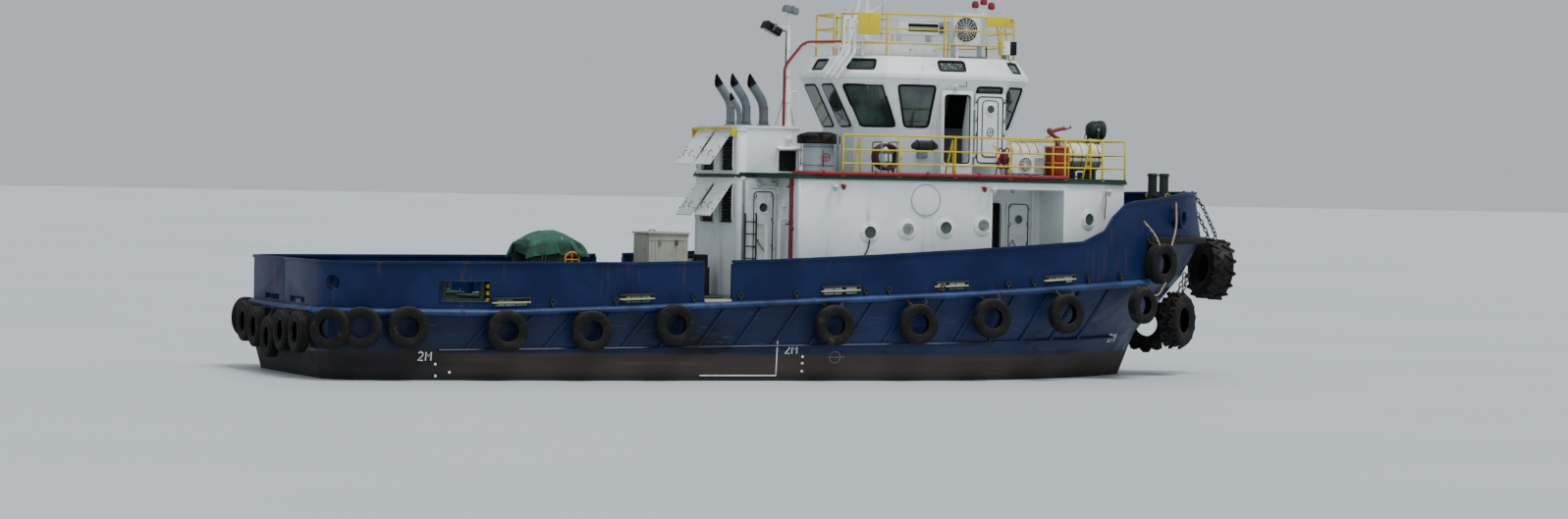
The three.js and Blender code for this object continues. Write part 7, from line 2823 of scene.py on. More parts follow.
@dataclass
class WalkwayGear:
    """What hangs and stands along the upper deck's rail: coiled hose, float, reel, braces and boxes.

    Attributes:
        deck: height of the upper deck.
    """

    deck: float = UPPER_DECK

    def bundle(self) -> None:
        """Adds the coiled hose and the rack that it hangs in."""
        rounds, wide, tall, pitch, radius = 5, 0.27, 0.28, 0.074, 0.033
        steps = 40
        path = [Vector((2.15 + wide, -2.14, self.deck + 0.02)), Vector((2.15 + wide, -2.14, 4.9))]
        path += [Vector((2.15 + wide * math.cos(a), -2.14 - pitch * a / (2 * math.pi),
                         5.1 + tall * math.sin(a))) for a in (2 * math.pi * k / steps
                                                              for k in range(rounds * steps + 1))]
        coil = Form()
        coil.tube(path, radius, HOSE, 12)
        piece = coil.done("hose_coil", sharp=60)
        form = Form()
        for x in (1.95, 2.35):
            form.tube(bent([(x, -2.02, self.deck), (x, -2.02, 5.44), (x, -2.55, 5.44)], 0.06), 0.02, GREY, 10)
            form.rod((x, -2.52, 5.44), (x, -2.52, self.deck), 0.016, GREY, 10)
        form.rod((1.95, -2.3, 5.2), (2.35, -2.3, 5.2), 0.03, GREY, 12)
        form.box((1.86, -2.52, 4.7), (2.44, -2.08, 4.74), GREY, 0.008)
        form.done("hose_rack", sharp=60)

    def float_and_reel(self) -> None:
        """Adds the dark float hung on the rail and the red hose reel."""
        form = Form()
        rings = []
        for share, size in ((-1, 0.12), (-0.92, 0.5), (-0.7, 0.82), (-0.3, 0.98), (0.3, 0.98), (0.7, 0.82),
                            (0.92, 0.5), (1, 0.12)):
            x = 3.04 + 0.34 * share
            droop = 0.02 if size < 0.6 else 0
            rings.append([(x, -2.5 + 0.12 * size * math.cos(a), 5.38 + 0.12 * size * math.sin(a) - droop)
                          for a in turns(18)])
        form.loft(rings, GEAR)
        for x in (2.85, 3.22):
            form.tube(circle((x, -2.5, 5.38), AHEAD, 0.124, 24), 0.012, GASKET, 6, True)
        for x in (5.05, 5.21):
            hub = Vector((x, -2.36, 5.12))
            form.tube(circle(hub, AHEAD, 0.24, 32), 0.018, RED, 8, True)
            for k in range(3):
                a = math.pi * k / 3
                reach = Vector((0, math.cos(a), math.sin(a))) * 0.24
                form.rod(hub - reach, hub + reach, 0.011, RED, 8)
        form.turned([(0.11, 0), (0.13, 0.02), (0.13, 0.12), (0.11, 0.14)], (5.06, -2.36, 5.12), AHEAD, HOSE,
                    28)
        for x in (5.0, 5.26):
            form.tube([(x, -2.56, self.deck), (x, -2.36, 5.14), (x, -2.16, self.deck)], 0.016, RED, 8)
        form.done("float_and_reel", sharp=50)

    def braces(self) -> None:
        """Adds the braces inside the rail, the grey gate posts, and the boxes and the lamp on the wall."""
        form = Form()
        for x in (1.36, 3.7, 7.42):
            y = -2.65 if x < 6.5 else -2.28
            for dx in (-0.11, 0.11):
                form.tube([(x + dx, y + 0.22, self.deck), (x, y + 0.03, 5.52)], 0.022, YELLOW, 10)
            form.rod((x - 0.07, y + 0.13, 4.98), (x + 0.07, y + 0.13, 4.98), 0.014, YELLOW, 8)
        for x in (0.86, 0.99):
            form.rod((x, -2.52, self.deck), (x, -2.52, 5.6), 0.03, GREY, 14)
        form.box((3.3, -1.56, 5.1), (3.55, -1.47, 5.42), GREY, 0.012)
        form.box((2.5, -1.48, 5.0), (2.75, -1.3, 5.3), TRIM, 0.012)
        lamp(form, (4.1, -1.815, 6.76), (0, -0.9, -0.3), 0.075, TRIM, DEADLIGHT)
        form.tube([(4.1, -1.8, 6.78), (4.4, -1.8, 6.78), (4.4, -1.8, 6.9)], 0.009, GASKET, 6)
        form.tube(bent([(4.72, -2.62, 5.42), (4.84, -2.66, 5.3), (4.8, -2.63, 5.05)], 0.06), 0.02, YELLOW, 8)
        form.done("walkway_fittings", sharp=50)

    def edge(self) -> None:
        """Adds the pipe along the upper deck's edge, on both sides and across the front."""
        form = Form()
        for side in Side:
            s = side.value
            line = [(-1.1, s * 1.42, 4.66), (-0.8, s * 1.42, 4.66), (-0.8, s * 2.08, 4.66),
                    (-0.22, s * 2.68, 4.66), (6.57, s * 2.69, 4.66), (7.78, s * 2.23, 4.66),
                    (8.68, s * 1.62, 4.66)]
            form.tube(bent(line, 0.05, 3), 0.022, DECK_GREEN, 8)
        form.tube([(8.68, -1.62, 4.66), (8.68, 1.62, 4.66)], 0.022, DECK_GREEN, 8)
        form.done("deck_edge", sharp=60)

    def build(self) -> None:
        """Builds the gear along the walkway."""
        self.bundle()
        self.float_and_reel()
        self.braces()
        self.edge()


# Bulwark, bow fender and deck gear

def stanchion_growth(finish: Finish) -> Growth:
    """The growth that sets tapered knees along a line, each across it.

    Args:
        finish: the knees' finish.

    Returns:
        The growth, with Pitch, Tall, Deep, Thick and Lean sizes.
    """
    growth = Growth("stanchions", Pitch=0.85, Tall=0.9, Deep=0.22, Thick=0.014, Lean=0.7)
    tall, deep = growth.size("Tall"), growth.size("Deep")
    plate = growth.node("GeometryNodeMeshCube", {}, {"Size": growth.vector(deep, growth.size("Thick"), tall)})
    where = growth.node("GeometryNodeInputPosition")
    place = growth.node("ShaderNodeSeparateXYZ", {}, {0: where[0]})
    half = growth.maths("MULTIPLY", tall, 0.5)
    rise = growth.maths("DIVIDE", growth.maths("ADD", place[2], half), tall)
    inner = growth.maths("LESS_THAN", place[0], 0.0)
    shift = growth.maths("MULTIPLY", growth.maths("MULTIPLY", rise, inner),
                         growth.maths("MULTIPLY", deep, growth.size("Lean")))
    shaped = growth.node("GeometryNodeSetPosition", {}, {"Geometry": plate[0],
                                                         "Offset": growth.vector(shift, 0.0, half)})
    tangent = growth.node("GeometryNodeInputTangent")
    aimed = growth.node("FunctionNodeAxesToRotation", {"primary_axis": "Z", "secondary_axis": "Y"},
                        {"Primary Axis": UP, "Secondary Axis": tangent[0]})
    return growth.end("Pitch", shaped[0], aimed[0], finish)


@dataclass
class Bulwark:
    """The bulwark's knees, freeing-port bars, fairlead rims, padeyes and gate sill.

    Attributes:
        ports: x from, x to of the freeing ports on each side.
        bottom: how far a port's foot is above the deck.
        height: how far its top is above the deck.
        padeyes: x of the lugs on the upper belt.
        gate: x of the gate's two posts.
    """

    ports: tuple = ((-7.65, -6.89), (-4.71, -4.01), (0.12, 0.96), (2.92, 3.64), (5.75, 6.5))
    bottom: float = 0.04
    height: float = 0.21
    padeyes: tuple = (-6.32, -4.86, -3.02, -1.9, -0.55, 1.15, 1.72, 3.05, 4.72, 5.4, 6.92, 7.9)
    gate: tuple[float, float] = (-2.78, -2.08)

    def rim(self, form: Form, x0: float, x1: float, low: float, high: float, side: int, radius: float,
            finish: Finish) -> None:
        """Adds a round bar round an opening in the side.

        Args:
            form: the form that it joins.
            x0: where the opening starts.
            x1: where it ends.
            low: its foot above the deck.
            high: its top above the deck.
            side: the sign of Y.
            radius: the bar's radius.
            finish: its finish.
        """
        corners = [Vector((x, side * (LINES.breadth(x) + 0.004), LINES.deck(x) + z))
                   for x, z in ((x0, low), (x1, low), (x1, high), (x0, high))]
        form.tube(rounded(corners, 0.03, 3), radius, finish, 8, True)

    def openings(self, side: Side) -> None:
        """Builds what frames one side's openings, and the lugs on its belt.

        Args:
            side: the side.
        """
        s = side.value
        form = Form()
        for x0, x1 in self.ports:
            self.rim(form, x0, x1, self.bottom, self.height, s, 0.016, BLUE)
            middle = self.bottom + (self.height - self.bottom) * 0.45
            bar = [Vector((x, s * (LINES.breadth(x) - 0.012), LINES.deck(x) + middle))
                   for x in (x0 + 0.01, x1 - 0.01)]
            form.rod(bar[0], bar[1], 0.018, SILL, 10)
            for share in (0.33, 0.66):
                x = x0 + (x1 - x0) * share
                y = s * (LINES.breadth(x) - 0.012)
                form.rod((x, y, LINES.deck(x) + self.bottom), (x, y, LINES.deck(x) + self.height), 0.012,
                         BLUE, 8)
            for x in (x0 - 0.03, x1 + 0.03):
                form.rod((x, s * LINES.breadth(x), LINES.deck(x) + self.height + 0.02),
                         (x, s * (LINES.breadth(x) + 0.1), LINES.deck(x) + self.height - 0.02), 0.018, GEAR,
                         8)
            for out, up, thick, finish in ((0.05, 0.01, 0.024, GEAR), (0.03, -0.08, 0.02, SILL)):
                form.rod((x0 - 0.06, s * (LINES.breadth(x0) + out), LINES.deck(x0) + self.height + up),
                         (x1 + 0.06, s * (LINES.breadth(x1) + out), LINES.deck(x1) + self.height + up), thick,
                         finish, 10)
        self.rim(form, -8.88, -7.75, 0.14, 0.6, s, 0.02, BLUE)
        for x in self.padeyes:
            ahead, out = LINES.outward(x)
            top = LINES.belt(x) + 0.06
            y = LINES.breadth(x)
            place = Matrix.Translation((x + 0.05 * ahead, s * (y + 0.05 * out), top)) @ Matrix.Rotation(
                math.atan2(-s * ahead, out), 4, "Z")
            form.rod(place @ Vector((0, 0, -0.04)), place @ Vector((0, 0, 0.11)), 0.026, GEAR, 12)
            form.turned([(0.035, -0.016), (0.062, -0.016), (0.066, 0), (0.062, 0.016), (0.035, 0.016)],
                        place @ Vector((0, 0, 0.14)), place.to_3x3() @ Vector(ACROSS), GEAR, 18, True)
        for x in self.gate:
            form.rod((x, s * (LINES.breadth(x) - 0.05), LINES.deck(x)), (x, s * (LINES.breadth(x) - 0.05),
                                                                         2.62), 0.035, BLUE, 14)
        x0, x1 = self.gate
        form.slab(x0 + 0.03, x1 - 0.03, s * 3.45, s * 0.18, LINES.deck(x0), LINES.deck(x1) + 0.035, SILL)
        form.done(f"bulwark_openings_{side.word}", sharp=50)

    def eyes(self) -> None:
        """Adds the heavy round rims of the quarter and bow fairleads."""
        form = Form()
        for side in Side:
            s = side.value
            for middle, axis, radius in (((-11.06, s * 3.02, 2.11), (-1.15, s * 0.9, 0), 0.185),
                                         ((9.93, s * 2.04, 3.79), (1.3, s * 1.4, 0), 0.18)):
                way = Vector(axis).normalized()
                point = Vector(middle)
                form.turned([(radius, -0.1), (radius + 0.055, -0.1), (radius + 0.06, 0.0),
                             (radius + 0.055, 0.1), (radius, 0.1), (radius - 0.02, 0.0)], point, way, BLUE,
                            40, True)
        form.done("fairlead_rims", sharp=45)

    def knees(self) -> None:
        """Grows the knees inside the bulwark, on both sides of the gate, and across the stern."""
        growth = stanchion_growth(BLUE)
        for side in Side:
            paths = []
            for x0, x1 in ((-10.2, -9.1), (-6.8, -3.0), (-1.9, 8.3)):
                count = round((x1 - x0) / 0.3)
                stations = [x0 + (x1 - x0) * k / count for k in range(count + 1)]
                path = [(x, side.value * (LINES.breadth(x) - 0.14), LINES.deck(x)) for x in stations]
                paths.append(path[::-side.value])
            grown_piece(growth, BLUE, f"bulwark_knees_{side.word}", paths, Deep=0.2)
        stern = [(-11.27, y, 1.58) for y in (-2.3, -0.1)], [(-11.27, y, 1.58) for y in (0.1, 2.3)]
        grown_piece(growth, BLUE, "bulwark_knees_stern", [path[::-1] for path in stern], Deep=0.2)

    def build(self) -> None:
        """Builds the bulwark's fittings."""
        for side in Side:
            self.openings(side)
        self.eyes()
        self.knees()


@dataclass
class BowFender:
    """The rubber ledge round the bow with its side tyres, chains and ropes.

    Attributes:
        low: height of the ledge's foot.
        high: height of its top.
        depth: how far it stands off.
        start: x of its after ends.
        tyre: the starboard tyre under it.
    """

    low: float = 3.18
    high: float = 3.34
    depth: float = 0.13
    start: float = 8.77
    tyre: Tyre = Tyre((9.12, -2.69, 2.72), (0.43, -0.9, 0), 3.28, 0.48, 0.33, 0.6)

    def line(self) -> list[tuple[float, float]]:
        """The starboard half line that the ledge follows, y positive."""
        edge = LINES.deck_plane.points()
        return [(self.start, along(edge, self.start)), *[(x, y) for x, y in edge if x > self.start + 0.08]]

    def ledge(self) -> list[list[Point]]:
        """Sections of the ledge from the starboard end round the stem to the port end."""
        half = [(x, y, *LINES.outward(x)) for x, y in self.line()]
        stem = half[-1]
        rings = []
        stations = [(x, -y, a, -o) for x, y, a, o in half] + [(stem[0], 0.0, 1.0, 0.0)] + [
            (x, y, a, o) for x, y, a, o in reversed(half)]
        for x, y, ax, ay in stations:
            section = [(0.0, self.low), (self.depth * 0.8, self.low), (self.depth, self.low + 0.03),
                       (self.depth, self.high - 0.03), (self.depth * 0.8, self.high), (0.0, self.high)]
            rings.append([(x + d * ax, y + d * ay, z) for d, z in section])
        return rings

    def build(self) -> None:
        """Builds the ledge, tyres and ropes in place of the CAD node."""
        form = Form()
        form.loft(self.ledge(), FENDER)
        paths = []
        ropes = Form()
        for side in Side:
            flip = Matrix.Diagonal((1, -side.value, 1, 1))
            paths += self.tyre.join(form, flip, 40)
            for start, mid, end in (((9.62, -2.42, 4.16), (9.58, -2.55, 3.6), (9.33, -2.8, 3.16)),
                                    ((8.55, -2.86, 3.72), (8.8, -2.95, 3.42), (8.93, -2.96, 3.17))):
                line = bent([flip @ Vector(p) for p in (start, mid, end)], 0.25, 6)
                ropes.tube(line, 0.022, ROPE, 10)
            low = flip @ Vector((9.16, -2.86, 2.28))
            ropes.tube(bent([low, low + Vector((-0.18, 0, -0.3)), flip @ Vector((8.72, -2.92, 1.98))], 0.1),
                       0.02, ROPE, 10)
        form.done("bow_fender_shape", replaces=["bow_fender"], sharp=50)
        ropes.done("tyre_lashings", sharp=60)
        hang_chains("bow_fender_chains", paths)


@dataclass
class WinchCanvas:
    """The green canvas over the towing winch, dropped over the winch's hoops as cloth.

    Attributes:
        middle: x of the winch.
        flat: the cut cloth's width across the boat and length along it.
        hoops: x and height of the hoops that hold it up.
        reach: half the hoops' span across the boat.
        foot: height of the hoops' feet.
        cells: cells of the cloth along each side.
        frames: steps of the drop.
    """

    middle: float = -5.25
    flat: tuple[float, float] = (2.05, 1.85)
    hoops: tuple = ((-0.5, 3.06), (-0.18, 3.24), (0.16, 3.26), (0.5, 3.05))
    reach: float = 0.66
    foot: float = 2.9
    cells: int = 56
    frames: int = 34

    def on_hoop(self, shift: float, top: float, angle: float) -> tuple[float, float, float]:
        """A point of a hoop's line.

        Args:
            shift: the hoop's x from the winch's.
            top: height of its head.
            angle: where along it, from 0 at port to pi at starboard.

        Returns:
            The point.
        """
        height = self.foot + (top - self.foot) * abs(math.sin(angle)) ** 0.7
        return self.middle + shift, self.reach * math.cos(angle), height

    def stand(self) -> None:
        """Builds the steel hoops under the canvas."""
        form = Form()
        for shift, top in self.hoops:
            form.tube([self.on_hoop(shift, top, math.pi * k / 16) for k in range(17)], 0.016, STEEL, 8)
        for share in (0.25, 0.5, 0.75):
            form.tube([self.on_hoop(shift, top, math.pi * share) for shift, top in self.hoops], 0.012, STEEL,
                      8)
        form.done("winch_hoops", sharp=50)

    def collider(self) -> bpy.types.Object:
        """A mound over the hoops and the winch's top that the cloth lands on."""
        mesh = bmesh.new()
        loops = []
        for shift, top in ((-0.56, 2.91), *self.hoops, (0.56, 2.91)):
            line = [self.on_hoop(shift, top, math.pi * k / 16) for k in range(17)]
            loops.append([mesh.verts.new((x, y, z + (0.0 if k % 4 else 0.012) - 0.004))
                          for k, (x, y, z) in enumerate(line)])
        for one, other in zip(loops, loops[1:]):
            for k in range(16):
                mesh.faces.new((one[k], one[k + 1], other[k + 1], other[k]))
        for edge in ([loop[0] for loop in loops], [loop[-1] for loop in loops]):
            lower = [mesh.verts.new((v.co.x, v.co.y, 2.3)) for v in edge]
            for a, b, c, d in zip(edge, edge[1:], lower[1:], lower):
                mesh.faces.new((a, b, c, d))
        bmesh.ops.recalc_face_normals(mesh, faces=mesh.faces)
        mound = object_of(mesh, "mound")
        bpy.context.scene.collection.objects.link(mound)
        mound.modifiers.new("land", "COLLISION")
        mound.collision.thickness_outer = 0.008
        mound.collision.cloth_friction = 25
        return mound

    def sheet(self) -> bpy.types.Object:
        """The flat cloth above the winch, with a faint unevenness that decides where it folds."""
        width, length = self.flat
        mesh = bmesh.new()
        grid = [[mesh.verts.new((self.middle + (k / self.cells - 0.5) * length, (n / self.cells - 0.5)
                                 * width, 3.3 + 0.004 * math.sin(7.1 * k / self.cells + 3)
                                 * math.cos(9.3 * n / self.cells))) for k in range(self.cells + 1)]
                for n in range(self.cells + 1)]
        for row, following in zip(grid, grid[1:]):
            for k in range(self.cells):
                mesh.faces.new((row[k], row[k + 1], following[k + 1], following[k]))
        cloth = object_of(mesh, "winch_canvas")
        bpy.context.scene.collection.objects.link(cloth)
        return cloth

    def drop(self, cloth: bpy.types.Object) -> None:
        """Lets the cloth fall and keeps the mesh that results.

        Args:
            cloth: the flat cloth.
        """
        modifier = cloth.modifiers.new("drape", "CLOTH")
        settings = modifier.settings
        settings.quality = 8
        settings.mass = 0.45
        settings.tension_stiffness = settings.compression_stiffness = 40
        settings.shear_stiffness = 12
        settings.bending_stiffness = 2.5
        settings.air_damping = 4
        modifier.collision_settings.use_self_collision = True
        modifier.collision_settings.self_distance_min = 0.006
        modifier.collision_settings.distance_min = 0.008
        modifier.collision_settings.collision_quality = 3
        scene = bpy.context.scene
        modifier.point_cache.frame_start, modifier.point_cache.frame_end = 1, self.frames
        for step in range(1, self.frames + 1):
            scene.frame_set(step)
        data = bpy.data.meshes.new_from_object(cloth.evaluated_get(bpy.context.evaluated_depsgraph_get()))
        cloth.modifiers.remove(modifier)
        cloth.data = data
        scene.frame_set(1)

    def build(self) -> None:
        """Builds the hoops and the canvas in place of the CAD cover."""
        self.stand()
        cloth, mound = self.sheet(), self.collider()
        self.drop(cloth)
        bpy.data.objects.remove(mound)
        data = cloth.data
        bpy.data.objects.remove(cloth)
        data.name = "winch_canvas"
        piece = bpy.data.objects.new("winch_canvas", data)
        for face in data.polygons:
            face.use_smooth = True
        finished(piece, [TARPAULIN], replaces=["winch_cover"], sharp=75)
        area = sum(face.area for face in data.polygons)
        width, length = self.flat
        log.info("canvas: %.2f of %.2f square metres", area, width * length)


@dataclass
class WinchGear:
    """The towing winch's drum, wire, gearbox, brake and controls.

    Attributes:
        x: the drum's x.
        axis: height of its shaft.
        inner: half the drum's length.
        radius: its flanges' radius.
    """

    x: float = -5.25
    axis: float = 2.33
    inner: float = 0.5297
    radius: float = 0.43

    def drum(self) -> None:
        """Builds the smooth drum with its wound wire, in place of the CAD node and on its body."""
        form = Form()
        inner, r = self.inner, self.radius
        start = (self.x, -inner, self.axis)
        profile = [(0.0, 0), (0.088, 0), (0.088, 0.034), (r, 0.036), (r, 0.085), (0.26, 0.087)]
        form.turned([*profile, (0.256, 0.11), (0.256, 2 * inner - 0.11),
                     *[(a, 2 * inner - b) for a, b in reversed(profile)]], start, ACROSS, GEAR, 48)
        rounds = 23
        pitch = (2 * inner - 0.22) / rounds
        rows = []
        for k in range(rounds):
            for a in range(5):
                angle = math.pi * a / 4
                rows.append((0.315 + 0.019 * math.sin(angle), 0.11 + pitch * (k + 0.5
                                                                              - 0.5 * math.cos(angle))))
        form.turned([(0.25, 0.105), *rows, (0.25, 2 * inner - 0.105)], start, ACROSS, STEEL, 48)
        for end in (0.06, 2 * inner - 0.06):
            for a in turns(8):
                middle = Vector((self.x + 0.36 * math.cos(a), -inner + end, self.axis + 0.36 * math.sin(a)))
                form.rod(middle - Vector((0, 0.034, 0)), middle + Vector((0, 0.034, 0)), 0.016, STEEL, 8)
        form.done("winch_drum_shape", "winch_drum", ["winch_drum"], sharp=42)

    def controls(self) -> None:
        """Adds the brake wheel, levers, gearbox covers, hydraulic pipes and bolts on the winch's frame."""
        form = Form()
        x = self.x
        for y in (-0.66, 0.66):
            out = -1 if y < 0 else 1
            face = y + out * 0.004
            form.turned([(0.11, 0), (0.17, 0.002), (0.165, 0.03), (0.1, 0.05), (0, 0.055)],
                        (x, face, self.axis), (0, out, 0), GEAR, 36)
            for a in turns(6):
                point = Vector((x + 0.14 * math.cos(a), face + out * 0.028, self.axis + 0.14 * math.sin(a)))
                form.rod(point, point + Vector((0, out * 0.014, 0)), 0.014, STEEL, 6)
        form.rod((x - 0.05, 0.95, 2.2), (x - 0.05, 1.08, 2.2), 0.16, GEAR, 28)
        form.turned([(0.11, 0), (0.11, 0.16), (0.08, 0.2), (0.08, 0.3), (0, 0.31)], (x - 0.05, 1.06, 2.2),
                    ACROSS, GREY, 28)
        for k, dx in enumerate((-0.3, -0.22, 0.12)):
            line = bent([(x + dx, 1.0, 2.45), (x + dx, 1.14, 2.52), (x + dx, 1.2, 2.3),
                         (x + dx + 0.1, 1.2, 1.75), (x + dx + 0.5, 1.1 + 0.05 * k, 1.7)], 0.12)
            form.tube(line, 0.02, GASKET, 10)
        handwheel(form, (x + 0.35, -0.78, 2.62), TO_STARBOARD, 0.17, AMBER)
        form.rod((x + 0.35, -0.78, 2.62), (x + 0.35, -0.66, 2.62), 0.024, STEEL, 12)
        for dx in (-0.36, -0.28):
            form.tube(bent([(x + dx, -0.72, 2.5), (x + dx, -0.78, 2.7), (x + dx - 0.05, -0.8, 2.86)], 0.05),
                      0.014, STEEL, 8)
            form.turned([(0.0, 0), (0.022, 0.012), (0.022, 0.03), (0, 0.042)], (x + dx - 0.05, -0.8, 2.85),
                        UP, RED, 14)
        form.box((x - 0.44, -0.74, 2.36), (x - 0.2, -0.665, 2.56), GREY, 0.012)
        for dx in (-0.535, 0.515):
            form.rod((x + dx, -0.62, 1.95), (x + dx, 0.62, 1.95), 0.035, GEAR, 14)
        form.done("winch_controls", sharp=45)
        line = [(x - 0.54, -0.662, 2.86), (x + 0.54, -0.662, 2.86)]
        grown_piece(stud_growth(STEEL), STEEL, "winch_bolts", [line], Pitch=0.12, Radius=0.013, Y=-1.0, Z=0.0)

    def build(self) -> None:
        """Builds the winch's details."""
        self.drum()
        self.controls()


@dataclass
class DeckGear:
    """Bitts, windlass, locker and fairlead details, with hatches, vents and pipes on the decks.

    Attributes:
        fore: height of the foredeck.
        aft: height of the after deck.
    """

    fore: float = FOREDECK
    aft: float = AFTER_DECK

    def posts(self, name: str, x: float, foot: float, top: float, gap: float, radius: float,
              cap: Finish) -> None:
        """Builds a pair of bitt posts with a crossbar in place of their CAD node.

        Args:
            name: the CAD node.
            x: the posts' x.
            foot: height of the deck.
            top: height of their tops.
            gap: half the distance between them.
            radius: their radius.
            cap: the finish of the crossbar's ends.
        """
        form = Form()
        r = radius
        z = foot + (top - foot) * 0.65
        for y in (-gap, gap):
            form.turned([(r, 0), (r, top - foot - 0.075), (r + 0.022, top - foot - 0.07),
                         (r + 0.022, top - foot - 0.02), (r * 0.8, top - foot - 0.004), (0, top - foot)],
                        (x, y, foot), UP, GEAR, 36)
            form.turned([(r, 0), (r + 0.05, 0.0), (r + 0.05, 0.018), (r, 0.04)], (x, y, foot), UP, GEAR, 36)
        reach = gap + r + 0.13
        form.rod((x, -reach, z), (x, reach, z), r * 0.54, GEAR, 28)
        for end in (-1, 1):
            form.turned([(r * 0.3, 0), (r * 0.56, 0.0), (r * 0.62, 0.012), (r * 0.62, 0.05), (0, 0.055)],
                        (x, end * (reach - 0.055), z), (0, end, 0), cap, 28)
        form.done(f"{name}_shape", replaces=[name], sharp=45)

    def fairleads(self) -> None:
        """Adds turned rollers, hazard stripes and pins to the fairlead frames."""
        for side in Side:
            s = side.value
            y = s * 3.33
            form = Form()
            for x in (-8.77, -7.87):
                form.turned([(0.075, 0), (0.09, 0.02), (0.074, 0.06), (0.074, 0.42), (0.09, 0.46),
                             (0.075, 0.5)], (x, y, 1.7), UP, GEAR, 28)
                form.turned([(0.05, 0), (0.05, 0.03), (0, 0.036)], (x, y, 2.252), UP, GEAR, 20)
            form.turned([(0.062, 0), (0.075, 0.015), (0.064, 0.05), (0.064, 0.83), (0.075, 0.87),
                         (0.062, 0.885)], (-8.762, y, 1.73), AHEAD, GEAR, 28)
            for x in (-8.9, -7.74):
                for k in range(4):
                    z = 1.66 + 0.15 * k
                    form.box((x - 0.062, y - 0.115, z), (x + 0.062, y + 0.115, z + 0.07), SOOT, 0.004)
            form.done(f"fairlead_details_{side.word}", sharp=45)

    def locker(self) -> None:
        """Adds the locker's panel ribs, vents, latches and lid handle."""
        form = Form()
        for x in (-3.3, -3.05, -2.8, -2.62):
            form.box((x, -1.909, 1.85), (x + 0.03, -1.895, 3.16), BEIGE, 0.004)
        for z in (1.85, 3.1):
            form.box((-3.44, -1.912, z), (-2.54, -1.896, z + 0.05), BEIGE, 0.004)
        for y in (-1.7, -1.4, -1.1):
            form.box((-3.469, y, 1.85), (-3.455, y + 0.03, 3.16), BEIGE, 0.004)
        for x in (-3.2, -2.8):
            form.box((x - 0.03, -1.935, 3.0), (x + 0.03, -1.9, 3.12), STEEL, 0.006)
        form.done("locker_ribs", sharp=45)
        lid = Form()
        lid.tube(bent([(-3.2, -1.6, 3.285), (-3.2, -1.6, 3.33), (-3.2, -1.2, 3.33), (-3.2, -1.2, 3.285)],
                      0.04), 0.012, STEEL, 10)
        for y in (-1.75, -1.4, -1.05):
            lid.box((-3.44, y - 0.015, 3.284), (-2.54, y + 0.015, 3.297), BEIGE, 0.004)
        lid.done("locker_lid_fittings", "deck_locker_lid", sharp=45)

    def deck_fittings(self) -> None:
        """Adds the hatches, vent goosenecks, small bollards and pipes on the main deck and the foredeck."""
        form = Form()
        for x, y, wide, z in ((-3.9, 1.5, 0.42, self.aft + 0.12), (-7.3, 1.2, 0.36, self.aft),
                              (-7.3, -1.3, 0.36, self.aft)):
            form.box((x - wide, y - wide, z - 0.1), (x + wide, y + wide, z + 0.22), DECK_GREEN, 0.02)
            form.box((x - wide - 0.03, y - wide - 0.03, z + 0.2), (x + wide + 0.03, y + wide + 0.03,
                                                                   z + 0.25), DECK_GREEN, 0.02)
            for dx in (-0.25, 0.25):
                form.rod((x + dx, y - wide - 0.05, z + 0.2), (x + dx, y - wide - 0.05, z + 0.3), 0.016, STEEL,
                         10)
            form.tube(circle((x, y, z + 0.29), UP, 0.12, 24), 0.014, STEEL, 8, True)
            form.rod((x, y, z + 0.25), (x, y, z + 0.29), 0.02, STEEL, 10)
        for side in (-1, 1):
            gooseneck(form, (-4.4, side * 2.9, 1.66), 0.8, (0.2, 0.0), 0.06, DECK_GREEN)
            gooseneck(form, (-6.6, side * 2.95, 1.58), 0.75, (0.2, 0.0), 0.05, DECK_GREEN)
            gooseneck(form, (9.0, side * 1.2, 3.3), 0.6, (-0.18, 0.0), 0.05, DECK_GREEN)
            for x in (-10.1, 2.2):
                foot = LINES.deck(x)
                y = side * (LINES.breadth(x) - 0.42)
                for dx in (-0.24, 0.24):
                    form.turned([(0.09, 0), (0.09, 0.36), (0.115, 0.365), (0.115, 0.4), (0, 0.41)],
                                (x + dx, y, foot), UP, GEAR, 28)
                form.box((x - 0.42, y - 0.14, foot - 0.02), (x + 0.42, y + 0.14, foot + 0.02), GEAR, 0.006)
            form.tube(bent([(-1.0, side * 3.1, 1.95), (3.0, side * 3.1, 2.1), (6.5, side * 2.95, 2.3)], 0.5),
                      0.035, DECK_GREEN, 12)
        for y in (-1.9, -2.0):
            form.tube([(-1.7, y, 1.83), (-4.9, y, 1.72)], 0.03, DECK_GREEN, 12)
        form.done("deck_fittings", sharp=45)

    def windlass(self) -> None:
        """Builds the windlass drum with its chain wheel, and its frame's details."""
        form = Form()
        x, z, inner = 9.45, 3.76, 0.4497
        r, wide = 0.3, 0.04
        rows = [(0, 0), (r, 0), (r, wide), (0.17, wide + 0.01), (0.16, 0.2), (0.16, 2 * inner - 0.2),
                (0.17, 2 * inner - wide - 0.01), (r, 2 * inner - wide), (r, 2 * inner), (0, 2 * inner)]
        form.turned(rows, (x, -inner, z), ACROSS, GEAR, 44)
        for k in range(14):
            turn = k * math.pi / 7
            form.tube(circle((x, -0.26 + 0.037 * k, z), (0.02 * math.sin(turn), 1, 0), 0.183, 32), 0.02, ROPE,
                      8, True)
        form.done("windlass_drum_shape", "windlass_drum", ["windlass_drum"], sharp=42)
        side = Form()
        for y in (-0.58, 0.58):
            out = -1 if y < 0 else 1
            side.turned([(0.1, 0), (0.15, 0.0), (0.14, 0.03), (0, 0.04)], (x, y - out * 0.012, z),
                        (0, out, 0), GEAR, 28)
        handwheel(side, (x + 0.1, 0.7, 3.8), ACROSS, 0.15, RED)
        side.rod((x - 0.2, 0.56, 3.62), (x - 0.2, 0.8, 3.62), 0.13, GREY, 28)
        side.done("windlass_details", sharp=45)

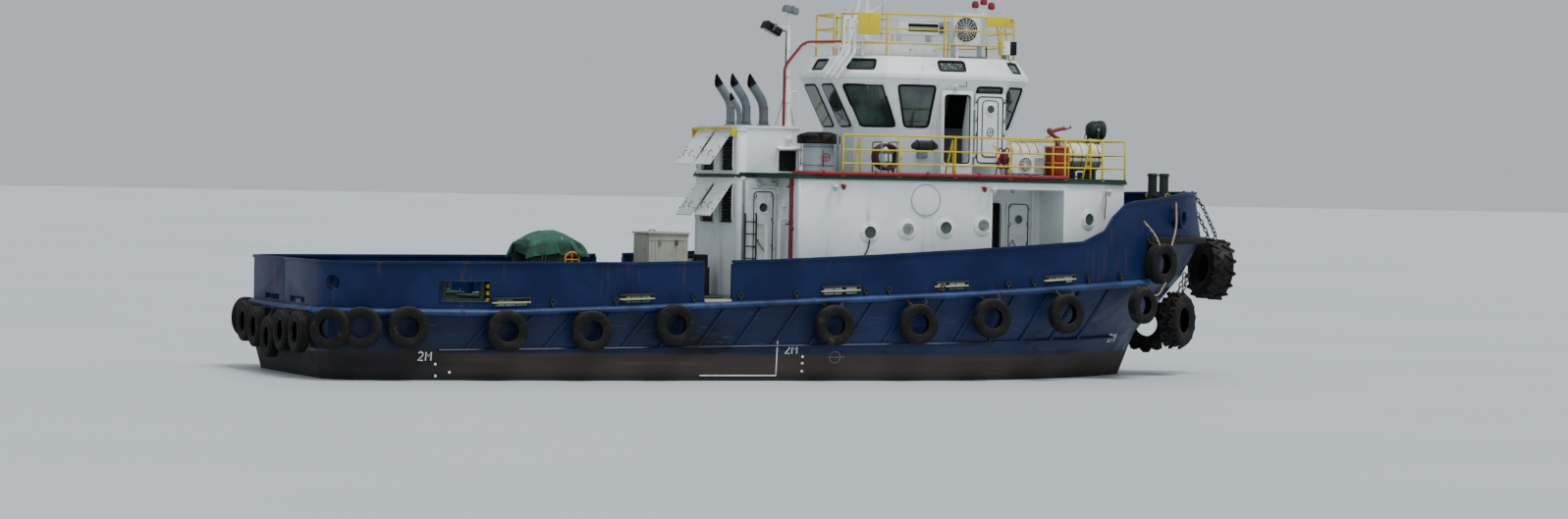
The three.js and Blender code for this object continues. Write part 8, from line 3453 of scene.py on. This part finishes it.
    def build(self) -> None:
        """Builds the deck gear."""
        self.posts("towing_bitt", -9.0, self.aft, 2.48, 0.42, 0.13, GEAR)
        self.posts("bow_bitt", 10.38, self.fore, 4.86, 0.3, 0.11, LIME)
        self.fairleads()
        self.locker()
        self.deck_fittings()
        self.windlass()


@dataclass
class SternGear:
    """The anodes on the hull's bottom."""

    def build(self) -> None:
        """Builds both rows of anodes."""
        form = Form()
        for side in (-1, 1):
            for x in (-9.0, -6.0, -3.0, 0.0, 3.0):
                form.box((x - 0.2, side * 0.6 - 0.05, -2.3), (x + 0.2, side * 0.6 + 0.05, -2.24), STEEL,
                         0.015)
        form.done("hull_anodes", sharp=45)


@dataclass
class Marks:
    """Plain draught figures, dots, a load line's ring and a painted corner line on the hull's sides.

    Attributes:
        glyphs: each figure's strokes in its own height and width.
        groups: x and height of each draught group.
        dots: x and height of the dots under the groups.
        ring: x, height and radius of the load line's ring.
        corner: x from, x to, foot and head of the painted corner line.
    """

    glyphs: tuple = (((-0.13, 0.16), (-0.08, 0.19), (-0.03, 0.16), (-0.03, 0.11), (-0.13, 0.0), (-0.02, 0.0)),
                     ((0.04, 0.0), (0.04, 0.19), (0.1, 0.09), (0.16, 0.19), (0.16, 0.0)))
    groups: tuple[tuple[float, float], ...] = ((-0.64, 0.62), (-9.2, 0.44), (8.4, 0.84))
    dots: tuple[tuple[float, float], ...] = ((-0.33, 0.55), (-0.33, 0.4), (-0.33, 0.22), (-8.93, 0.36),
                                             (-8.91, 0.1), (-8.6, 0.18))
    ring: tuple[float, float, float] = (0.46, 0.54, 0.13)
    corner: tuple[float, float, float, float] = (-2.8, -0.96, 0.12, 0.92)

    def __post_init__(self) -> None:
        """Takes the hull's own surface to lay the marks on."""
        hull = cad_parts["hull"].data
        self.skin = BVHTree.FromPolygons([v.co for v in hull.vertices], [f.vertices for f in hull.polygons])

    def on_side(self, x: float, z: float, side: int) -> Vector:
        """A point just off the hull's side.

        Args:
            x: its x.
            z: its height.
            side: the sign of Y.

        Returns:
            The point.
        """
        spot, normal = self.skin.ray_cast(Vector((x, side * 6, z)), Vector((0, -side, 0)))[:2]
        return spot + normal * 0.004

    def build(self) -> None:
        """Builds the marks of both sides."""
        for side in Side:
            s = side.value
            form = Form()
            for x, z in self.groups:
                for strokes in self.glyphs:
                    form.tube([self.on_side(x - s * dx, z + dz, s) for dx, dz in strokes], 0.016, TRIM, 6)
            for x, z in self.dots:
                form.turned([(0.03, -0.02), (0.03, 0.006), (0, 0.009)], self.on_side(x, z, s), (0, s, 0),
                            TRIM, 14)
            x, z, radius = self.ring
            ring = [self.on_side(x + radius * math.cos(a), z + radius * math.sin(a), s) for a in turns(32)]
            form.tube(ring, 0.012, GREY, 6, True)
            form.tube([self.on_side(x + dx, z, s) for dx in (-0.22, 0.0, 0.22)], 0.012, GREY, 6)
            x0, x1, low, high = self.corner
            line = [self.on_side(x0 + (x1 - x0) * k / 6, low, s) for k in range(7)]
            line += [self.on_side(x1, low + (high - low) * k / 5, s) for k in range(1, 6)]
            form.tube(line, 0.014, TRIM, 6)
            form.done(f"hull_marks_{side.word}", sharp=60)


# Mast, casing corners and the shapes that keep the CAD's outline

CARRIED = (
    *(Carried(f"propeller_{side.word}", BRONZE, f"propeller_{side.word}", 0.006, 30) for side in Side),
    *(Carried(f"rudder_{side.word}", NAVY, f"rudder_{side.word}", 0.012, 30) for side in Side),
    Carried("hook_pedestal", GEAR, edge=0.012),
    Carried("tow_hook", STEEL, "tow_hook", 0.02),
    *(Carried(f"{gear}_frame", GEAR, edge=0.01) for gear in ("winch", "windlass")),
    Carried("deck_locker", BEIGE),
    Carried("deck_locker_lid", BEIGE, "deck_locker_lid", 0.008),
    *(Carried(f"fairlead_frame_{side.word}", YELLOW, edge=0.01) for side in Side),
    *(Carried(f"bulwark_{end}", BLUE, edge=0.008) for end in ("fore", "aft_starboard", "aft_port")),
    *(Carried(node, WHITE, edge=edge)
      for node, edge in (("deckhouse", 0.01), ("casing_lower", 0.01), ("casing_upper", 0.01),
                         ("wheelhouse", 0.008), ("wheelhouse_roof", 0.012))),
    Carried("mast", TRIM, edge=0.006, sharp=50),
    *(Carried(node, TRIM, edge=edge)
      for node, edge in (("roof_locker", 0.015), ("deck_cooling_unit", 0.02), ("roof_cooling_unit", 0.02))),
)


@dataclass
class MastGear:
    """The mast's lamps, halyards, steps, whip aerials and instrument heads.

    Attributes:
        x: the mast's x.
        foot: height of its lowest halyard ends.
        yard: height of the yard.
    """

    x: float = 2.6
    foot: float = 7.51
    yard: float = 9.9

    def build(self) -> None:
        """Builds the mast's fittings."""
        form = Form()
        x = self.x
        for z in (9.79, 10.29, 10.79):
            form.turned([(0.055, 0), (0.085, 0.004), (0.085, 0.05), (0.07, 0.055), (0.07, 0.16),
                         (0.088, 0.165), (0.07, 0.2), (0, 0.21)], (x + 0.06, 0, z - 0.04), UP, GASKET, 24)
        for side in (-1, 1):
            for y, tall in ((1.1, 0.9), (0.7, 0.35)):
                form.rod((x, side * y, self.yard), (x, side * y, self.yard + 0.09), 0.028, GREY, 12)
                form.rod((x, side * y, self.yard + 0.09), (x, side * y, self.yard + tall), 0.008, TRIM, 8)
            form.tube([(x, side * 0.95, self.yard - 0.03), (x + 0.02, side * 0.9, 8.7),
                       (x, side * 0.85, self.foot + 0.05)], 0.006, STEEL, 6)
            form.turned([(0.02, 0), (0.05, 0.02), (0.05, 0.1), (0, 0.13)], (x, side * 0.45, self.yard + 0.03),
                        UP, TRIM, 18)
        for k in range(7):
            z = 7.95 + 0.28 * k
            form.tube(bent([(x - 0.06, -0.06, z), (x - 0.2, -0.06, z), (x - 0.2, 0.12, z),
                            (x - 0.06, 0.12, z)], 0.03), 0.01, TRIM, 8)
        form.done("mast_rig", sharp=50)


@dataclass
class CasingTrim:
    """The casing's round after corners with their rings.

    Attributes:
        aft: x of the after face.
        half: half the casing's breadth.
        top: height of its top.
    """

    aft: float = -1.1
    half: float = 1.37
    top: float = 5.7

    def build(self) -> None:
        """Builds both corners."""
        form = Form()
        for side in (-1, 1):
            middle = (self.aft + 0.1, side * (self.half - 0.1))
            form.rod((*middle, 1.9), (*middle, self.top - 0.02), 0.125, WHITE, 36)
            for z in (4.56, 5.66):
                form.turned([(0.12, -0.03), (0.15, -0.02), (0.15, 0.02), (0.12, 0.03)], (*middle, z), UP,
                            TRIM, 36, True)
            form.turned([(0.12, 0), (0.16, 0.0), (0.16, 0.02), (0.12, 0.05)], (*middle, 1.86), UP, DECK_GREEN,
                        36, True)
        form.done("casing_corners", sharp=45)


# Camera, floor and light

@dataclass(frozen=True)
class Studio:
    """The camera at the photograph's angle, the pale floor at the waterline and the soft light.

    Attributes:
        eye: the camera's place, in metres.
        heading: degrees from abeam towards the bow.
        pitch: degrees up.
        roll: degrees that the frame leans.
        lens: focal length on a 36 mm frame.
        reach: half the floor's width.
        sky: the colour all round.
    """

    eye: tuple[float, float, float] = (-37.46, -92.72, 4.5)
    heading: float = 22.33
    pitch: float = -1.049
    roll: float = 1.106
    lens: float = 98.51
    reach: float = 900.0
    sky: Colour = (0.60, 0.66, 0.72)

    def camera(self) -> None:
        """Adds the camera."""
        data = bpy.data.cameras.new("camera")
        data.lens = self.lens
        data.clip_end = 3000
        data.dof.use_dof = False
        camera = bpy.data.objects.new("camera", data)
        camera.matrix_world = (Matrix.Translation(self.eye) @ Matrix.Rotation(math.radians(-self.heading), 4,
                                                                              "Z")
                               @ Matrix.Rotation(math.radians(90 + self.pitch), 4, "X")
                               @ Matrix.Rotation(math.radians(self.roll), 4, "Z"))
        bpy.context.scene.collection.objects.link(camera)
        bpy.context.scene.camera = camera

    def floor(self) -> None:
        """Adds the floor at the waterline."""
        mesh = bmesh.new()
        bmesh.ops.create_grid(mesh, x_segments=1, y_segments=1, size=self.reach)
        floor = object_of(mesh, "floor")
        shader = Shader("floor_pale")
        tone = shader.noise(0.05, 2).rise(0.3, 0.7)
        colour = shader.mix(tone, (0.50, 0.545, 0.57), (0.54, 0.58, 0.60))
        floor.data.materials.append(shader.surface(Base_Color=colour, Roughness=0.55))
        bpy.context.scene.collection.objects.link(floor)

    def light(self) -> None:
        """Adds the high soft sun and the even sky."""
        world = bpy.data.worlds.new("sky")
        world.use_nodes = True
        background = world.node_tree.nodes["Background"]
        background.inputs["Color"].default_value = (*self.sky, 1)
        background.inputs["Strength"].default_value = 0.85
        bpy.context.scene.world = world
        for name, turn, energy, spread in (("sun", (18, 14, 0), 2.6, 24), ("fill", (62, 0, -28), 0.55, 60)):
            data = bpy.data.lights.new(name, "SUN")
            data.energy = energy
            data.angle = math.radians(spread)
            lamp = bpy.data.objects.new(name, data)
            lamp.rotation_euler = [math.radians(angle) for angle in turn]
            bpy.context.scene.collection.objects.link(lamp)

    def build(self) -> None:
        """Sets up the camera, the floor and the light."""
        self.camera()
        self.floor()
        self.light()


def main() -> None:
    """Builds the scene, one assembly after another."""
    logging.basicConfig(level=logging.INFO, format="%(name)s: %(message)s")
    Studio().build()
    Finishes().dress()
    for assembly in ASSEMBLIES:
        assembly.build()


ASSEMBLIES = [
    Fenders(),
    BowTyre("bow_tyre_stem", (11.86, 0, 2.56), (1, 0, -0.1), 0.74, 0.62, 30,
            [[(11.22, y * 0.23, 4.38), (11.5, y * 0.23, 4.05), (11.86, y * 0.2, 3.4), (11.87, y * 0.2, 3.2)]
             for y in (-1, 1)]),
    BowTyre("bow_tyre_low_starboard", (10.56, -0.83, 1.33), (0.62, -0.78, 0), 0.64, 0.46, 26,
            (((10.9, -0.66, 2.42), (10.69, -0.73, 1.9)), ((10.62, -1.0, 2.42), (10.43, -0.94, 1.86)))),
    BowTyre("bow_tyre_low_port", (10.56, 0.83, 1.18), (0.62, 0.78, 0), 0.64, 0.46, 26,
            (((10.9, 0.66, 2.42), (10.69, 0.73, 1.75)), ((10.62, 1.0, 2.42), (10.43, 0.94, 1.71)))),
    Wheelhouse(),
    Deckhouse(),
    Casing(),
    Exhausts(),
    Ventilator(Side.STARBOARD),
    Ventilator(Side.PORT),
    Liferaft(Side.STARBOARD),
    Liferaft(Side.PORT),
    CoolingUnit("deck_cooling_unit", 5.82),
    CoolingUnit("roof_cooling_unit", 4.59),
    FireMonitor(),
    Searchlight(),
    LampPole(),
    RoofPipes(),
    RoofGear(),
    WalkwayGear(),
    Bulwark(),
    BowFender(),
    WinchCanvas(),
    WinchGear(),
    DeckGear(),
    SternGear(),
    Marks(),
    MastGear(),
    CasingTrim(),
    *CARRIED,
    Rail("rail_upper_deck", [(0.93, -2.67), (6.56, -2.67), (7.76, -2.215), (8.66, -1.6), (8.66, 1.6),
                             (7.76, 2.215), (6.56, 2.67), (0.93, 2.67)], 4.64, 0.97, (1, 0.65, 0.33), 1.5),
    Rail("rail_wheelhouse_top", [(1.65, -0.76), (2.48, -1.5), (5.4, -1.5), (6.08, -0.76), (6.08, 0.76),
                                 (5.4, 1.5), (2.48, 1.5), (1.65, 0.76), (1.65, -0.3)], 7.45, 1.0,
         (1, 0.66, 0.33), 1.25),
]

if __name__ == "__main__":
    main()
